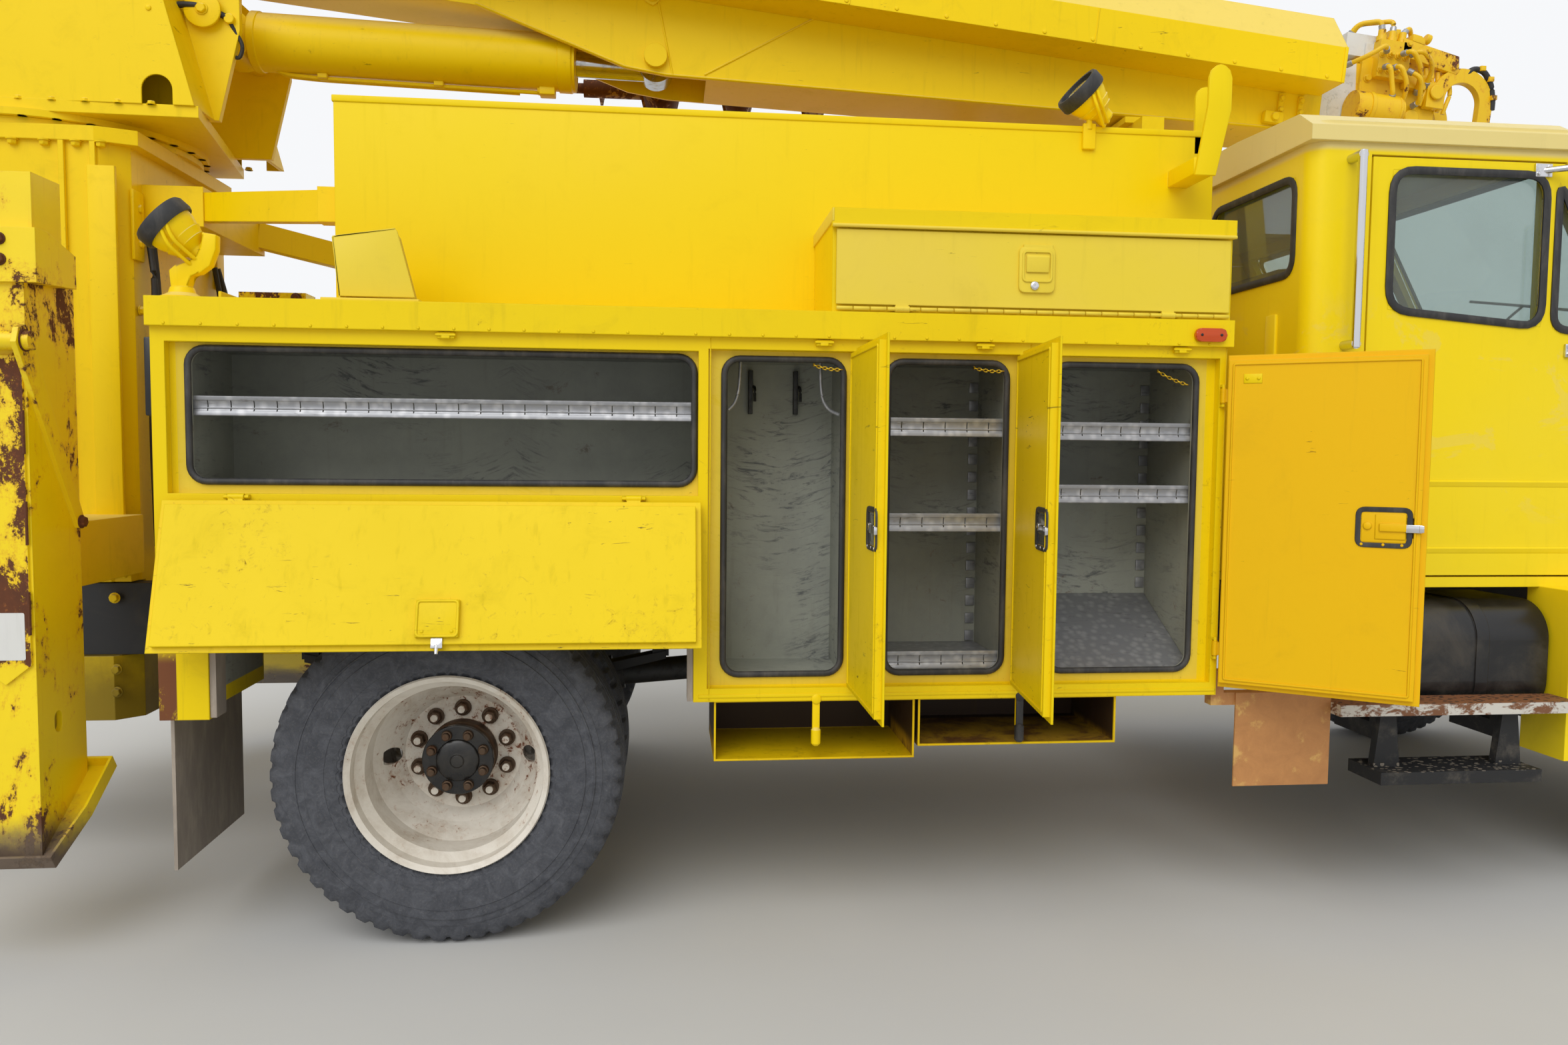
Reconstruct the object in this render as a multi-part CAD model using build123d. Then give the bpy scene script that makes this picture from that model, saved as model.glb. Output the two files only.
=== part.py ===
"""Digger derrick truck, built as separate named pieces.

Frame while modelling: X forward with 0 over the rear axle, Y to the vehicle's left, Z up from the
ground, all in millimetres. Every piece is moved back by X_MID when it is written, so that the
origin is under the middle of the truck.
"""
from build123d import *
import os
from math import cos, hypot, pi, radians, sin, tan

# Overall places along the truck
WHEEL_BASE = 4450
REAR_END = -2150
FRONT_END = 5450
X_MID = (REAR_END + FRONT_END) / 2

# Clearances between pieces that move past each other, and at seats and shafts
CLEAR = 6
SEAT_GAP = 0.3
SHAFT_GAP = 0.3

# Wheels and tyres
TYRE_RADIUS = 515
TYRE_WIDTH = 270
BEAD_RADIUS = 288
AXLE_Z = TYRE_RADIUS
DUAL_FACE_Y = 910
RIM_OFFSET = 155
RIM_HALF_WIDTH = 122
RIM_FLANGE_RADIUS = 298
RIM_WALL = 9
DISC_WALL = 11
FRONT_TYRE_Y = 1035
STUD_CIRCLE_RADIUS = 285.75 / 2
STUD_RADIUS = 11
STUD_COUNT = 10
HUB_RADIUS = 108
SPINDLE_RADIUS = 45
DRUM_RADIUS = 205
STEER_PIN_Y = 880
KING_PIN_RADIUS = 20
ARCH_CLEAR_RADIUS = 622

# Chassis frame
RAIL_OUTER_Y = 432
RAIL_WIDTH = 80
RAIL_LOW = 750
RAIL_HIGH = 1000
RAIL_WALL = 9
RAIL_FRONT = 5290
CROSS_MEMBERS_X = (-900, 620, 1700, 2900, 5200)

# Towing plate: a rectangle of four bolt holes
HITCH_Z = 720
HITCH_SPACING_Y = 83
HITCH_SPACING_Z = 92
HITCH_HOLE = 7

# Fuel tanks and the steps on them
TANK_X = (2830, 3560)
TANK_Y = (640, 1120)
TANK_Z = (615, 1000)
TANK_CORNER = 125
TANK_STRAP_X = (3300, 3345)
TANK_STRAP_PROUD = 4
STEP_BRACKETS_X = (2960, 3385)
GRAB_HANDLE_X = 2838
GRAB_HANDLE_Z = (1828, 2450)

# Service body: the side plane, its depth and its levels
BODY_Y = 1220
BODY_INNER_Y = 790
BODY_REAR = -785
BODY_FRONT = 2350
BODY_LOW = 730
RAIL_STRIP_LOW = 1808
BODY_TOP = 1889
STRIP_PROUD = 20
BODY_SKIN = 25
SEAT_DEPTH = 30
SEAL_THICK = 10
SEAL_WIDTH = 16
DECK_Z = 1110
PLATFORM_X = (-760, -420)

# Doors of the service body
DOOR_SKIN = 6
DOOR_PAN = 18
DOOR_LIP = 16
DOOR_LOW = 762
DOOR_HIGH = 1782

# One row per upright door: hinge X, width, how far it stands open in degrees,
# and its compartment's opening from X to X
SIDE_DOORS = {
    "front_side_door": (2336, 556, 145.0, 1816, 2260),
    "middle_side_door": (1705, 455, 84.0, 1306, 1659),
    "rear_side_door": (1200, 447, 90.6, 815, 1158),
}
OPENING_LOW = 814
OPENING_HIGH = 1743
OPENING_CORNER = 40
FLIP_X = (-755, 740)
FLIP_Z = (1336, 1775)
FLIP_OPEN = 163.0
FLIP_OPENING_X = (-691, 714)
FLIP_OPENING_Z = (1384, 1745)
TOP_BOX_X = (1123, 2355)
TOP_BOX_HIGH = 2189
TOP_BOX_LIP = 2135
TOP_BOX_WALL = 20
TOP_BOX_OPENING_Z = (1926, 2116)

# Hinges of the body's doors
HINGE_PIN = 5
HINGE_SLEEVE = 9
HINGE_EDGE = 12
HINGE_HALF = 34
HINGE_Y = -BODY_Y - CLEAR - DOOR_SKIN
SIDE_HINGE_Z = (880, 1660)
FLIP_HINGE_X = (-560, 545)
TOP_HINGE_X = (1330, 2150)
TOP_HINGE_Z = BODY_TOP + 11

# Shelves: the door of the compartment and the height of the shelf's top
SHELF_ROWS = [
    ("middle_side_door", 1552),
    ("middle_side_door", 1262),
    ("middle_side_door", 838),
    ("front_side_door", 1545),
    ("front_side_door", 1352),
]
SHELF_THICK = 5
SHELF_LIP = 24
FLIP_SHELF_Z = 1588
CAVITY_WIDER = 28

# Trays slung under the body: their ends and the height of their floor
TRAY_ROWS = [((783, 1396), 545), ((1407, 2035), 580)]
TRAY_Y = (-1200, -830)
TRAY_WALL = 6

# Tall side panels behind the top boxes
PANEL_Y = (790, 815)
PANEL_X = (-400, 2490)
PANEL_HIGH = 2573

# Wheel arch in the service body, an outline in X and Z
ARCH = [(-650, 600), (-650, 930), (-480, 1150), (540, 1150), (720, 930), (720, 600)]

# Cab
CAB_BACK = 2710
CAB_Y = 1050
CAB_LOW = 1045
CAB_WALL = 45
CAB_SIDE = [(2710, 1045), (2710, 2560), (3590, 2560), (3960, 1880), (3990, 1300), (3990, 1045)]
CAB_DOOR = [(2915, 1085), (2915, 2450), (3590, 2450), (3852, 1935), (3852, 1085)]
DOOR_WINDOW = [(2985, 1960), (2985, 2410), (3530, 2410), (3530, 1915)]
VENT_WINDOW = [(3575, 1910), (3575, 2390), (3795, 1950), (3795, 1895)]
CAB_DOOR_HINGE = (3861, 1065)
CAB_HINGE_Z = (1230, 1720)
CAB_DOOR_THICK = 50
ROOF_HIGH = 2610
REAR_WINDOWS = [(-950, -400), (-320, 320), (400, 950)]
REAR_WINDOW_Z = (2085, 2400)
WINDSCREENS = [(-930, -25), (25, 930)]
WINDSCREEN_CUT = [(3560, 2475), (3700, 2475), (4010, 1925), (3870, 1925)]
GLASS = 6

# Sheet metal ahead of the cab: the fixed tail of the fenders and the hood that tilts
FENDER_Y = (1166, 1190)
TAIL_OUTER = [(3575, 485), (3575, 1047), (3985, 1047), (3985, 485)]
TAIL_INNER = [(3600, 400), (3600, 1008), (4000, 1008), (4000, 400)]
TAIL_REACH_Y = 1000
HOOD_REAR = 3998
FENDER_OUTER = [(3998, 485), (3998, 1290), (4150, 1360), (4800, 1340), (5250, 1210), (5390, 1040),
                (5400, 700), (5300, 640), (5060, 640), (5060, 485)]
FENDER_INNER = [(4020, 400), (4020, 1270), (4155, 1336), (4795, 1316), (5236, 1190), (5366, 1030),
                (5376, 600), (5376, 400)]
HOOD_PIVOT = (5330, 705)
HOOD_PIN_RADIUS = 10
GRILLE_Y = 560
GRILLE_Z = (800, 1440)
GRILLE_BAR_PITCH = 62
HEADLAMP = (900, 900, 92)

# Pedestal and turret
TURN_X = -1600
PEDESTAL_X = (-2040, -1200)
PEDESTAL_Y = 445
PEDESTAL_LOW = 520
PEDESTAL_TOP = 2500
PEDESTAL_WALL = 10
TOP_PLATE = 50
RING_RADIUS = 480
RING_HIGH = 45
TURRET_PLATE = 40
CHEEK_Y = (250, 275)
COVER_Y = (440, 446)
PIVOT = (-1450, 3550)
CYL_BASE = (-984, 3008)
PIN_RADIUS = 50
TURRET_ARCH = (-1079, 2682, 50)

# Booms: their common axis passes AXIS_AT and falls forward by BOOM_SLOPE degrees
AXIS_AT = (3400, 2980)
BOOM_SLOPE = 5.71
LOWER_U = (-5080, -190)
LOWER_Y = 146
LOWER_TOP = 185
PLATE = 12
LOWER_CAVITY = (-185, 173)
MID_U = (-4600, -100)
MID_Y = 120
MID_V = (-168, 158)
MID_WALL = 8
TIP_U = (-4400, 70)
TIP_Y = 98
TIP_V = (-125, 120)
TIP_WALL = 14
GUARD_U = (-4300, -138)
GUARD_Y = 330
GUARD_TOP_Y = 200
GUARD_V = (-62, 72, 235)
GUARD_WALL = 8
HEAD_U = 60
CLAW_PIN = (372, 30)
CLAW_RING = (120, -20, 135, 78)
DRUM_AT = (300, -70)
DRUM_PIN_RADIUS = 20
MANIFOLD_U = (105, 240)

# Lift cylinder
ROD_PIN_U = -2791
ROD_PIN_V = -288
BARREL_RADIUS = 105
BARREL_BORE = 92
BARREL_FROM = 95
BARREL_TO = 1270
ROD_RADIUS = 48
EYE_RADIUS = 65
EYE_PIN = 36

# Auger, stowed beside the boom
AUGER_Y = 620
AUGER_Z = 3084
AUGER_X = (330, 2700)
AUGER_RADIUS = 235
AUGER_SHAFT = 38
AUGER_PITCH = 345
FLIGHT_THICK = 12
FLIGHT_TURNS = 4
BLADES_PER_TURN = 12
DRIVE_X = (2560, 2740)

# Outriggers: the leg, the post it slides on, and its foot, which slopes down outwards
LEG_X = (-1400, -1100)
LEG_Y = (980, 1233)
LEG_TOP = 2018
LEG_WALL = 16
POST_Z = (600, 1400)
FOOT_ANGLE = 33.7
FOOT_AT = (1233, 323)
FOOT_PLAN = [(-1445, -32), (-1055, -32), (-1030, 148), (-1030, 333), (-1470, 333), (-1470, 148)]
FOOT_THICK = 12
FOOT_RIM = 8
FOOT_RIM_HIGH = 34

# Fittings on the right leg, as outlines in X and Z or in Y and Z
WEAR_PLATE = [(-1243, 865), (-1177, 810), (-1108, 865), (-1108, 1719), (-1243, 1719)]
WEAR_PLATE_THICK = 8
LEG_SLOT = (-1130, 671, 693, 20)
COLLAR = [(-1250, 1915), (-1250, 2062), (-1190, 2062), (-1045, 2018), (-1045, 1925)]
COLLAR_PROUD = 42
CYLINDER_HEAD = ((-1385, -1078), (-1225, -1080), (2010, 2215))
LEG_PIN = (-1265, 1757, 26)
LEG_PIN_X = (-1410, -1064)
LINK = [(-1305, 1750), (-1290, 1790), (-1255, 1800), (-1225, 1765), (-984, 1262), (-990, 1236),
        (-1012, 1232)]
LINK_THICK = 14

# Boom rest
REST_X = (2440, 2600)
REST_GAP = 6


def block(x, y, z):
    """A box from low to high corners, each given as a (low, high) pair."""
    size = (x[1] - x[0], y[1] - y[0], z[1] - z[0])
    return Pos((x[0] + x[1]) / 2, (y[0] + y[1]) / 2, (z[0] + z[1]) / 2) * Box(*size)


def side_plate(points, y):
    """An outline in X and Z, as thick as the (low, high) pair y."""
    face = make_face(Polyline(*[(px, y[0], pz) for px, pz in points], close=True))
    return extrude(face, y[1] - y[0], dir=(0, 1, 0))


def cross_plate(points, x):
    """An outline in Y and Z, as thick as the (low, high) pair x."""
    face = make_face(Polyline(*[(x[0], py, pz) for py, pz in points], close=True))
    return extrude(face, x[1] - x[0], dir=(1, 0, 0))


def flat_plate(points, z):
    """An outline in X and Y, as thick as the (low, high) pair z."""
    face = make_face(Polyline(*[(px, py, z[0]) for px, py in points], close=True))
    return extrude(face, z[1] - z[0], dir=(0, 0, 1))


def rounded_block(x, y, z, radius):
    """A box whose edges along Y are rounded."""
    return fillet(block(x, y, z).edges().filter_by(Axis.Y), radius)


def rod(start, end, radius):
    """A round bar between two points."""
    start, end = Vector(*start), Vector(*end)
    return extrude(Plane(start, z_dir=end - start) * Circle(radius), (end - start).length)


def tube(start, end, radius, bore):
    """A round pipe between two points."""
    return rod(start, end, radius) - rod(start, end, bore)


def bar(start, end, width, height):
    """A rectangular bar between two points that differ mainly in X or Y."""
    start, end = Vector(*start), Vector(*end)
    along = end - start
    side = Vector(0, 0, 1).cross(along)
    plane = Plane(start, x_dir=side, z_dir=along)
    return extrude(plane * Rectangle(width, height), along.length)


def mirrored(shape):
    """The same piece on the other side of the truck."""
    return shape.mirror(Plane.XZ)


def pair(shape):
    """A piece and its mirror image."""
    return [shape, mirrored(shape)]


def turned(profile, x, z, y, outward):
    """Revolve (s, radius) points about a Y axis through X, Z; s runs outward from the plane y."""
    points = [(x, y + outward * s, z + r) for s, r in profile]
    face = make_face(Polyline(*points, close=True))
    return revolve(face, Axis((x, y, z), (0, 1, 0)))


def fused(shapes):
    """Join pieces that touch into one solid."""
    whole = shapes[0]
    for shape in shapes[1:]:
        whole = whole + shape
    return whole


def save(name, *shapes):
    """Write one node, which may hold several solids that do not touch."""
    solids = [solid for shape in shapes for solid in shape.solids()]
    whole = solids[0] if len(solids) == 1 else Compound(solids)
    export_step(whole.moved(Location((-X_MID, 0, 0))), f"parts/{name}.step")


def on_boom(shape):
    """Place a piece drawn along the boom's own axis, with Z across it, on the truck."""
    return Pos(AXIS_AT[0], 0, AXIS_AT[1]) * Rot(0, BOOM_SLOPE, 0) * shape


def boom_to_world(u, v):
    """The X and Z of a point u along and v across the boom's axis."""
    a = radians(BOOM_SLOPE)
    return AXIS_AT[0] + u * cos(a) + v * sin(a), AXIS_AT[1] - u * sin(a) + v * cos(a)


def hinge_parts(axis_at, along, leaf, face):
    """Body bracket and door sleeve of one hinge, for a door on the right side.

    axis_at is the hinge's centre, along its axis, leaf the direction to the door from the axis,
    and face how far inward the body's surface lies."""
    a, d, n = Vector(*along), Vector(*leaf), Vector(0, 1, 0)
    c = Vector(*axis_at)
    pin = rod(c - a * HINGE_HALF, c + a * HINGE_HALF, HINGE_PIN)
    bracket = pin
    for side in (-1, 1):
        near, far = c + a * (side * 26), c + a * (side * HINGE_HALF)
        bracket += oriented_block(near, far, n * face, d * 6)
    sleeve = rod(c - a * 22, c + a * 22, HINGE_SLEEVE) - rod(c - a * 23, c + a * 23, HINGE_PIN + SHAFT_GAP)
    leaf_low, leaf_high = c + d * 7, c + d * (HINGE_EDGE + 3)
    leaf_block = oriented_block(leaf_low, leaf_high, n * 6, a * 20)
    return bracket, sleeve + leaf_block


def oriented_block(start, end, reach, half):
    """A box from start to end, out to reach on one side, and to half on both sides across that."""
    corners = [start, end, start + reach, end + reach]
    low = [min(getattr(p, k) - abs(getattr(half, k)) for p in corners) for k in ("X", "Y", "Z")]
    high = [max(getattr(p, k) + abs(getattr(half, k)) for p in corners) for k in ("X", "Y", "Z")]
    return block(*[(a, b) for a, b in zip(low, high)])


def opened(shape, point, direction, angle):
    """Turn a door about its hinge line."""
    return shape.rotate(Axis(point, direction), angle)


def make_tyre(x, y):
    """A tyre centred on X and Y."""
    half = TYRE_WIDTH / 2
    profile = [
        (-half + 30, BEAD_RADIUS),
        (-half, 395),
        (-half + 14, 487),
        (-half + 42, TYRE_RADIUS - 2),
        (half - 42, TYRE_RADIUS - 2),
        (half - 14, 487),
        (half, 395),
        (half - 30, BEAD_RADIUS),
        (half - 52, BEAD_RADIUS),
        (half - 22, 395),
        (half - 48, 470),
        (-half + 48, 470),
        (-half + 22, 395),
        (-half + 52, BEAD_RADIUS),
    ]
    crown = [(-93, 495), (-60, TYRE_RADIUS), (60, TYRE_RADIUS), (93, 495)]
    return turned(profile, x, AXLE_Z, y, 1) + turned(crown, x, AXLE_Z, y, 1)


def make_rim(x, y, outward):
    """One disc wheel whose mounting face is at Y, with its barrel on the outward side."""
    far, near = RIM_OFFSET + RIM_HALF_WIDTH, RIM_OFFSET - RIM_HALF_WIDTH
    flange, well = RIM_FLANGE_RADIUS, RIM_FLANGE_RADIUS - 36
    seat = BEAD_RADIUS - SEAT_GAP
    barrel = [
        (far, flange),
        (far - 9, seat),
        (far - 42, seat - 3),
        (far - 70, well),
        (near + 80, well),
        (near + 42, seat - 3),
        (near + 9, seat),
        (near, flange),
        (near - 8, flange - 4),
        (near + 4, seat - RIM_WALL),
        (near + 38, seat - 3 - RIM_WALL),
        (near + 76, well - RIM_WALL),
        (far - 66, well - RIM_WALL),
        (far - 38, seat - 3 - RIM_WALL),
        (far - 4, seat - RIM_WALL),
        (far + 8, flange - 4),
    ]
    dish = [
        (near + 92, well - 4),
        (52, 214),
        (DISC_WALL, 180),
        (DISC_WALL, HUB_RADIUS - 2),
        (0, HUB_RADIUS - 2),
        (0, 186),
        (44, 224),
        (near + 80, well - 4),
    ]
    wheel = turned(barrel, x, AXLE_Z, y, outward) + turned(dish, x, AXLE_Z, y, outward)
    for side in (-1, 1):
        hole_x = x + side * 212
        wheel -= rod((hole_x, y - outward, AXLE_Z), (hole_x, y + 80 * outward, AXLE_Z), 26)
    return wheel


def make_studs(x, y, outward, root):
    """The ring of wheel studs standing out of a wheel's disc."""
    studs = []
    for number in range(STUD_COUNT):
        angle = 2 * pi * (number + 0.5) / STUD_COUNT
        sx, sz = x + STUD_CIRCLE_RADIUS * cos(angle), AXLE_Z + STUD_CIRCLE_RADIUS * sin(angle)
        start, end = (sx, y + outward * (root - 2), sz), (sx, y + outward * (root + 38), sz)
        studs.append(rod(start, end, STUD_RADIUS))
    return studs


def make_rear_wheel(side):
    """Twin discs, hub and drum of one rear corner; side is -1 on the right, 1 on the left."""
    face = side * DUAL_FACE_Y
    hub = [
        (62, 0),
        (62, 42),
        (48, 46),
        (48, 95),
        (26, 97),
        (26, HUB_RADIUS),
        (-45, HUB_RADIUS),
        (-45, DRUM_RADIUS),
        (-240, DRUM_RADIUS),
        (-240, DRUM_RADIUS - 14),
        (-60, DRUM_RADIUS - 14),
        (-60, SPINDLE_RADIUS + 40),
        (-240, SPINDLE_RADIUS + 40),
        (-240, SPINDLE_RADIUS + SHAFT_GAP),
        (0, SPINDLE_RADIUS + SHAFT_GAP),
        (0, 0),
    ]
    pieces = [turned(hub, 0, AXLE_Z, face, side)]
    pieces += [make_rim(0, face, side), make_rim(0, face, -side)]
    return fused(pieces + make_studs(0, face, side, DISC_WALL))


def make_front_wheel(side):
    """Disc, hub and drum of one front corner."""
    face = side * (FRONT_TYRE_Y + RIM_OFFSET)
    hub = [
        (54, 0),
        (54, 60),
        (26, 72),
        (26, HUB_RADIUS),
        (-40, HUB_RADIUS),
        (-60, DRUM_RADIUS - 15),
        (-200, DRUM_RADIUS - 15),
        (-200, DRUM_RADIUS - 27),
        (-72, DRUM_RADIUS - 27),
        (-72, SPINDLE_RADIUS + 30),
        (-200, SPINDLE_RADIUS + 30),
        (-200, SPINDLE_RADIUS + SHAFT_GAP),
        (10, SPINDLE_RADIUS + SHAFT_GAP),
        (10, 0),
    ]
    wheel = turned(hub, WHEEL_BASE, AXLE_Z, face, side) + make_rim(WHEEL_BASE, face, -side)
    return fused([wheel] + make_studs(WHEEL_BASE, face, side, 0))


def make_knuckle(side):
    """Steering knuckle: king pin sleeve, spindle and steering arm."""
    face = side * (FRONT_TYRE_Y + RIM_OFFSET)
    pin_y = side * STEER_PIN_Y
    sleeve_low = tube((WHEEL_BASE, pin_y, 395), (WHEEL_BASE, pin_y, 452), 42, KING_PIN_RADIUS + SHAFT_GAP)
    sleeve_high = tube((WHEEL_BASE, pin_y, 578), (WHEEL_BASE, pin_y, 635), 42, KING_PIN_RADIUS + SHAFT_GAP)
    yoke = block(
        (WHEEL_BASE - 40, WHEEL_BASE + 40),
        sorted((pin_y + side * 44, pin_y + side * 76)),
        (395, 635),
    )
    spindle_ends = (WHEEL_BASE, pin_y + side * 44, AXLE_Z), (WHEEL_BASE, face - side * 4, AXLE_Z)
    spindle = rod(*spindle_ends, SPINDLE_RADIUS)
    x, y = (WHEEL_BASE - 40, WHEEL_BASE + 40), sorted((pin_y + side * 30, pin_y + side * 50))
    low, high = block(x, y, (395, 452)), block(x, y, (578, 635))
    arm = bar(
        (WHEEL_BASE - 30, pin_y + side * 20, 412),
        (WHEEL_BASE - 220, pin_y - side * 60, 412),
        46,
        30,
    )
    bore = rod((WHEEL_BASE, pin_y, 390), (WHEEL_BASE, pin_y, 640), KING_PIN_RADIUS + SHAFT_GAP)
    return fused([yoke, spindle, low, high, sleeve_low, sleeve_high, arm]) - bore


def make_front_axle():
    """Dropped I-beam with its king pins and leaf springs."""
    beam = cross_plate(
        [(-860, 456), (-860, 574), (-836, 574), (-700, 540), (-560, 440), (560, 440), (700, 540), (836, 574),
         (860, 574), (860, 456), (836, 456), (740, 420), (600, 340), (-600, 340), (-740, 420), (-836, 456)],
        (WHEEL_BASE - 45, WHEEL_BASE + 45),
    )
    pieces = [beam]
    for side in (-1, 1):
        pin_y = side * STEER_PIN_Y
        pieces.append(rod((WHEEL_BASE, pin_y, 456), (WHEEL_BASE, pin_y, 574), 44))
        pieces.append(rod((WHEEL_BASE, pin_y, 392), (WHEEL_BASE, pin_y, 638), KING_PIN_RADIUS))
        pieces.append(make_spring(WHEEL_BASE, side * 385, 435, 560))
    return fused(pieces)


def make_spring(x, y, low, half_length):
    """A leaf spring pack and its end shackles, seated at height low and hung on the frame rail."""
    far, near = half_length, half_length * 0.4
    leaf = [(-far, 130), (-near, 40), (0, 0), (near, 40), (far, 130),
            (far, 160), (near, 80), (0, 60), (-near, 80), (-far, 160)]
    points = [(x + u, low + v) for u, v in leaf]
    pack = side_plate(points, (y - 38, y + 38))
    pieces = [pack]
    for end in (-1, 1):
        shackle_x = x + end * (half_length - 20)
        top = RAIL_LOW - SEAT_GAP
        pieces.append(block((shackle_x - 30, shackle_x + 30), (y - 34, y + 34), (low + 140, top)))
    return fused(pieces)


def make_rear_axle():
    """Rear axle housing with its bowl, spindles and springs."""
    tube_beam = rod((0, -DUAL_FACE_Y + 245, AXLE_Z), (0, DUAL_FACE_Y - 245, AXLE_Z), 72)
    bowl = Pos(0, 0, AXLE_Z) * Sphere(215) & block((-215, 215), (-150, 150), (AXLE_Z - 215, AXLE_Z + 215))
    nose = rod((120, 0, AXLE_Z + 20), (430, 0, AXLE_Z + 60), 75)
    pieces = [tube_beam, bowl, nose]
    for side in (-1, 1):
        inner, outer = side * (DUAL_FACE_Y - 250), side * (DUAL_FACE_Y - 2)
        pieces.append(rod((0, inner, AXLE_Z), (0, outer, AXLE_Z), SPINDLE_RADIUS))
        pieces.append(block((-70, 70), sorted((side * 345, side * 425)), (AXLE_Z, AXLE_Z + 80)))
        pieces.append(make_spring(0, side * 385, AXLE_Z + 68, 640))
    return fused(pieces)


def make_frame_rails():
    """Two channel rails with cross members and the towing plate with its hook."""
    pieces = []
    web = (RAIL_OUTER_Y - RAIL_WALL, RAIL_OUTER_Y)
    flange = (RAIL_OUTER_Y - RAIL_WIDTH, RAIL_OUTER_Y)
    along = (REAR_END + 20, RAIL_FRONT)
    pieces += pair(block(along, web, (RAIL_LOW, RAIL_HIGH)))
    pieces += pair(block(along, flange, (RAIL_LOW, RAIL_LOW + RAIL_WALL)))
    pieces += pair(block(along, flange, (RAIL_HIGH - RAIL_WALL, RAIL_HIGH)))
    inner = RAIL_OUTER_Y - RAIL_WALL + 1
    for x in CROSS_MEMBERS_X:
        pieces.append(block((x - 35, x + 35), (-inner, inner), (RAIL_LOW + 85, RAIL_HIGH - 50)))
    plate = block((REAR_END, REAR_END + 25), (-RAIL_OUTER_Y, RAIL_OUTER_Y), (RAIL_LOW - 160, RAIL_HIGH))
    pieces.append(plate)
    x, z = HOOD_PIVOT
    for side in (-1, 1):
        y = sorted((side * (RAIL_OUTER_Y - 4), side * (RAIL_OUTER_Y + 14)))
        lug = [(x - 100, z + 30), (x - 100, z + 150), (x - 45, z + 150), (x + 18, z + 12),
               (x + 18, z - 14), (x - 14, z - 18)]
        pieces.append(side_plate(lug, tuple(y)))
        pin_ends = (x, side * (RAIL_OUTER_Y + 2), z), (x, side * (RAIL_OUTER_Y + 52), z)
        pieces.append(rod(*pin_ends, HOOD_PIN_RADIUS))
    return fused(pieces) - hitch_holes()


def hitch_holes():
    """Four bolt holes for a towing hook in the rear plate."""
    holes = []
    for y in (-HITCH_SPACING_Y / 2, HITCH_SPACING_Y / 2):
        for z in (HITCH_Z - HITCH_SPACING_Z / 2, HITCH_Z + HITCH_SPACING_Z / 2):
            holes.append(rod((REAR_END - 5, y, z), (REAR_END + 30, y, z), HITCH_HOLE))
    return fused(holes)


def make_engine():
    """Engine, gearbox and propeller shaft as plain blocks on their mounts."""
    engine = block((4000, 4950), (-300, 300), (720, 1380))
    gearbox = block((3150, 4000), (-210, 210), (640, 1000))
    mount_front = block((4700, 4780), (-RAIL_OUTER_Y + RAIL_WIDTH, RAIL_OUTER_Y - RAIL_WIDTH), (800, 860))
    shaft = rod((460, 0, AXLE_Z + 64), (3160, 0, 780), 48)
    coupling = rod((432, 0, AXLE_Z + 60), (470, 0, AXLE_Z + 64), 62)
    edge = RAIL_OUTER_Y - RAIL_WIDTH - SEAT_GAP
    radiator = block((5040, 5110), (-edge, edge), (780, 1480))
    return [fused([engine, gearbox, mount_front, shaft, coupling]), radiator]


def make_tanks():
    """Fuel tanks under the doors, rounded, each with a strap and hangers to the frame."""
    tank = tank_section(TANK_X, 0)
    strap = tank_section(TANK_STRAP_X, TANK_STRAP_PROUD)
    hanger_y = (-TANK_Y[0] - 2, -RAIL_OUTER_Y - SEAT_GAP)
    hangers = [block((x - 30, x + 30), hanger_y, (780, 960)) for x in (2960, 3320)]
    return pair(fused([tank, strap] + hangers))


def tank_section(x, proud):
    """A rounded length of the right tank, larger all round by proud."""
    y = (-TANK_Y[1] - proud, -TANK_Y[0] + proud)
    z = (TANK_Z[0] - proud, TANK_Z[1] + proud)
    return fillet(block(x, y, z).edges().filter_by(Axis.X), TANK_CORNER)


def make_cab_steps():
    """Two step plates a side on brackets, with chrome grab handles up the cab's corner."""
    upper = block((2750, 3560), (-1250, -1130), (660, 698))
    lower = block((2894, 3447), (-1250, -1080), (438, 478))
    pieces = [upper, lower]
    for x in STEP_BRACKETS_X:
        gusset = [(x - 45, 478), (x + 45, 478), (x + 25, 662), (x - 25, 662)]
        pieces.append(side_plate(gusset, (-1180, -1150)))
        pieces.append(block((x - 30, x + 30), (-1135, -TANK_Y[1] + 180), (560, TANK_Z[0] - SEAT_GAP)))
        pieces.append(block((x - 30, x + 30), (-1160, -1128), (560, 690)))
    steps = fused(pieces)
    x, out = GRAB_HANDLE_X, CAB_Y + 62
    low, high = GRAB_HANDLE_Z
    handle = [rod((x, -out, low), (x, -out, high), 14)]
    for z in (low + 12, high - 12):
        handle.append(rod((x, -CAB_Y - SEAT_GAP, z), (x, -out - 4, z), 16))
    grip = fused(handle)
    return pair(steps) + pair(grip)


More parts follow.
